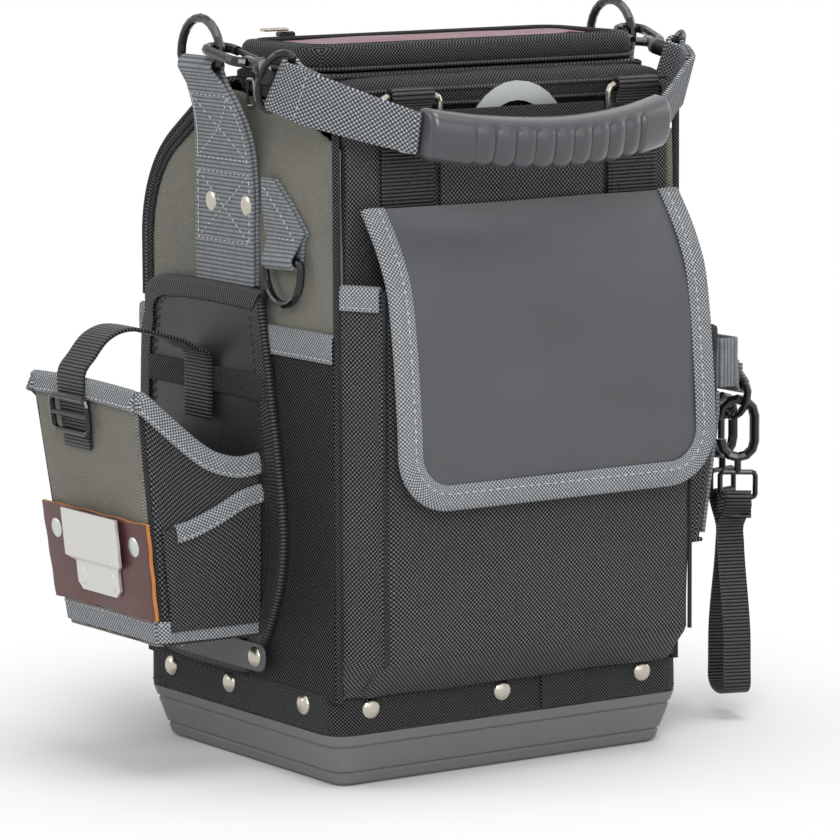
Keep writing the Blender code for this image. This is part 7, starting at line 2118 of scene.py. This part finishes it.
@dataclass
class RightSide:
    """Sleeve pocket with its tail, the webbing loop with the lanyard's ring, two clips and the wrist loop."""

    low_z: float = 0.0960
    bend_z: float = 0.1600
    high_z: float = 0.2050
    out: float = 0.0430
    foot_out: float = 0.0330
    near_y: float = -0.0630
    far_y: float = -0.0020
    wall: float = 0.0025
    corner: float = 0.0060
    web: float = 0.0021
    tail_y: float = -0.0480
    tail_low_z: float = 0.1000
    loop_out: float = 0.0140
    loop_wall: float = 0.0020
    loop_near_y: float = -0.0610
    loop_width: float = 0.0270
    loop_low_z: float = 0.1740
    loop_high_z: float = 0.1990
    lanyard_y: float = -0.0475
    bar_z: float = 0.1740
    tab_top_z: float = 0.1870
    tab_web: float = 0.0018
    tab_width: float = 0.0220
    sewn_sink: float = 0.0004
    ring_half: float = 0.0145
    ring_leg: float = 0.0030
    ring_wire: float = 0.0020
    clip_spread: float = 0.0065
    clip_turns: tuple[float, float] = (math.radians(-38), math.radians(12))
    clip_long: float = 0.0300
    clip_wire: float = 0.0026
    clip_hold: float = 0.0094
    loop_height: float = 0.0130
    loop_wire: float = 0.0014
    loop_stem: float = 0.0034
    wrist_web: float = 0.0016
    wrist_width: float = 0.0140
    pinch_z: float = 0.1000
    wrist_low_z: float = 0.0180
    bulge: float = 0.0125
    wrist_rows: int = 9
    wrist_turn: float = math.radians(-20)
    wrist_fold: float = 0.0110
    swell_share: float = 1.3

    def build(self) -> None:
        """Makes the soft pieces and refinishes the ring, the clips and their gates."""
        self.sleeve()
        self.tail()
        self.loop()
        self.wrist()
        for node in ("lanyard_ring", "clip_a", "clip_b", "clip_gate_a", "clip_gate_b"):
            refinished(node, GUNMETAL)

    def face_x(self) -> float:
        """The inner side of the sleeve pocket."""
        return BODY_HALF_X + CLEAR + SIDE_POCKET + CLEAR

    def level(self, z: float, shift: float) -> list[Vector]:
        """The sleeve's outline at a height, set in by shift, with its first point repeated at the end."""
        share = min(1.0, max(0.0, (z - self.low_z) / (self.bend_z - self.low_z)))
        out = self.foot_out + (self.out - self.foot_out) * share
        back = self.face_x()
        corners = rounded_rectangle(back + shift, back + out - shift, self.near_y + shift, self.far_y - shift,
                                    self.corner - shift / 2, 5)
        points = divided([(x, y, z) for x, y in corners], lambda length: 8 if length > 0.01 else 1)
        return points + points[:1]

    def sleeve(self) -> None:
        """The deep sleeve: a tapered shell with a floor, and tape folded over its mouth."""
        rows = [self.level(z, self.wall / 2) for z in spaced(self.low_z + 0.0003, self.high_z, 40)]
        piece = rumpled(tidied(laid("sleeve_pocket_shell", rows)), 0.0004, 0.045, 0.6)
        dressed(thickened(piece, self.wall - THINNER / 2), BALLISTIC, "bag", "sleeve_pocket")
        back, inset = self.face_x(), 0.0006
        rows = [[Vector((x, y, self.low_z + self.wall / 2))
                 for y in spaced(self.near_y + inset, self.far_y - inset, 12)]
                for x in spaced(back + inset, back + self.foot_out - inset, 12)]
        dressed(thickened(laid("sleeve_floor", rows), self.wall - THINNER, 0.0005), BALLISTIC, "bag")
        top = self.level(self.high_z, 0.0)
        centre = Vector((back + self.out / 2, (self.near_y + self.far_y) / 2, self.high_z))
        outs = []
        for i, point in enumerate(top):
            run = heading(top, i) if 0 < i < len(top) - 1 else top[1] - top[-2]
            way = run.cross(UP).normalized()
            outs.append(way if way.dot(point - centre) > 0 else -way)
        tape = bound_edge("sleeve_binding", top, outs, [DOWN] * len(top), 0.0100, self.wall, 0.0005, 0.8)
        dressed(tape, BLACK_TAPE, "bag")

    def tail(self) -> None:
        """The webbing tail down the sleeve's outer face."""
        face = self.face_x() + CLEAR + self.web / 2 + self.out
        lean = (self.out - self.foot_out) / (self.bend_z - self.low_z)
        low_x = face - lean * (self.bend_z - self.tail_low_z) + CLEAR
        spine = [Vector((x, self.tail_y, z)) for x, z in (
            (face, self.loop_low_z - self.web), (face, self.bend_z + 0.004),
            (face - lean * 0.004, self.bend_z - 0.004), (low_x, self.tail_low_z))]
        strip = Strip(ribbon(spine, Vector((0, self.tab_width / 2, 0)))).smooth(5)
        dressed(strip.build("sleeve_tail_web", self.web, 8), GREY_RIBBED, "bag", "sleeve_tail")

    def loop(self) -> None:
        """The webbing loop and the tab that is folded round the bar of the lanyard's ring."""
        back = self.face_x() + self.out + CLEAR
        inset = self.loop_wall / 2
        ring = rounded_rectangle(back + inset, back + self.loop_out - inset, self.loop_near_y + inset,
                                 self.loop_near_y + self.loop_width - inset, 0.0022, 4)
        fine = divided(ring, lambda length: 6 if length > 0.004 else 1)
        rows = [[Vector((x, y, z)) for z in spaced(self.loop_low_z, self.loop_high_z, 8)]
                for x, y in fine + fine[:1]]
        piece = thickened(tidied(laid("tool_loop_web", rows)), self.loop_wall - THINNER / 2, FINE_EDGE)
        dressed(piece, GREY_RIBBED, "bag", "tool_loop")
        radius = self.ring_wire + LAYER_GAP + self.tab_web / 2
        tip = fold(self.bar(), DOWN, LEFT, self.ring_wire, self.tab_web, 0.0, SEWN_WRAP)
        behind = Vector((self.tab_x(), self.lanyard_y, self.bar_z + 2 * radius))
        high = Vector((self.tab_x(), self.lanyard_y, self.tab_top_z))
        across = Vector((self.tab_web + LAYER_GAP, 0.0, 0.0))
        spine = [high, high.lerp(behind, 0.5), behind, *tip, behind + across,
                 high + across + DOWN * self.tab_web]
        strip = Strip(ribbon(spine, Vector((0, self.tab_width / 2, 0))))
        dressed(strip.build("lanyard_tab_web", self.tab_web, 8), GREY_RIBBED, "bag")

    def tab_x(self) -> float:
        """The middle of the tab's sewn layer."""
        return self.face_x() + self.out + CLEAR + self.loop_out + self.tab_web / 2 - self.sewn_sink

    def bar(self) -> Vector:
        """Middle of the lanyard ring's bar."""
        return Vector((self.tab_x() + self.ring_wire + LAYER_GAP + self.tab_web / 2, self.lanyard_y,
                       self.bar_z))

    def clip_frame(self, turn: float, spread: float) -> Matrix:
        """Matrix of a clip: its first axis is its width, the second runs down its length."""
        wide = Vector((math.cos(turn), math.sin(turn), 0.0))
        frame = Matrix((wide, DOWN, wide.cross(DOWN))).transposed().to_4x4()
        hold = self.bar() + DOWN * (self.ring_leg + self.ring_half)
        frame.translation = hold + Vector((0.0, spread, self.clip_hold))
        return frame

    def wrist(self) -> None:
        """The wrist loop: from one clip's eye through the pinch, round the foot and up to the other eye."""
        apart = (self.wrist_web + LAYER_GAP) / 2
        eye_low = self.clip_long + self.loop_stem + self.clip_wire + CLEAR + self.loop_wire + self.loop_height
        rise = 2 * (self.loop_wire + LAYER_GAP + self.wrist_web / 2)
        bars, ends = [], []
        for turn, outer in zip(self.clip_turns, (-1, 1)):
            frame = self.clip_frame(turn, outer * self.clip_spread)
            bar, wide = frame @ Vector((0.0, eye_low, 0.0)), frame.to_3x3() @ Vector((1, 0, 0))
            away = UP.cross(wide) * outer
            tip = fold(bar, UP, -away, self.loop_wire, self.wrist_web, steps=8)
            legs = [bar - away * apart - UP * self.wrist_fold, *tip, bar - UP * rise + away * apart]
            ends.append(ribbon(legs, wide * self.wrist_width / 2))
            bars.append(bar)
        wide = Vector((math.cos(self.wrist_turn), math.sin(self.wrist_turn), 0.0))
        away, half = UP.cross(wide), wide * self.wrist_width / 2
        middle, drop = (bars[0] + bars[1]) / 2, self.pinch_z - self.wrist_low_z
        pinch = Vector((middle.x, middle.y, self.pinch_z))
        front, back = [], []
        for share in spaced(0.0, 1.0, self.wrist_rows):
            swell = math.sin(math.pi / 2 * min(1.0, share * self.swell_share)) ** 2
            reach = away * (apart + self.bulge * swell)
            front.append(pinch - UP * drop * share - reach)
            back.append(pinch - UP * drop * share + reach)
        low = pinch - UP * (drop + self.bulge / 3)
        foot = [low + away * self.bulge * way for way in (-0.55, 0.55)]
        rows = ends[0] + ribbon(front + foot + back[::-1], half) + ends[1][::-1]
        strip = Strip(rows).smooth(3)
        dressed(strip.build("wrist_loop_web", self.wrist_web, 6), BLACK_RIBBED, "lanyard", "wrist_loop")


def main() -> None:
    """Builds the studio and each sub-assembly in order."""
    logging.basicConfig(level=logging.INFO, format="%(name)s: %(message)s")
    bpy.context.scene.view_settings.view_transform = "Standard"
    Studio().build()
    rivets = Rivets()
    for assembly, given in ((Tub(), [rivets]), (Body(), []), (Lid(), []), (Front(), []), (Handle(), [rivets]),
                            (Holster(), [rivets]), (RightSide(), [])):
        LOG.info("building %s", type(assembly).__name__)
        assembly.build(*given)
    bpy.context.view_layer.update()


if __name__ == "__main__":
    main()
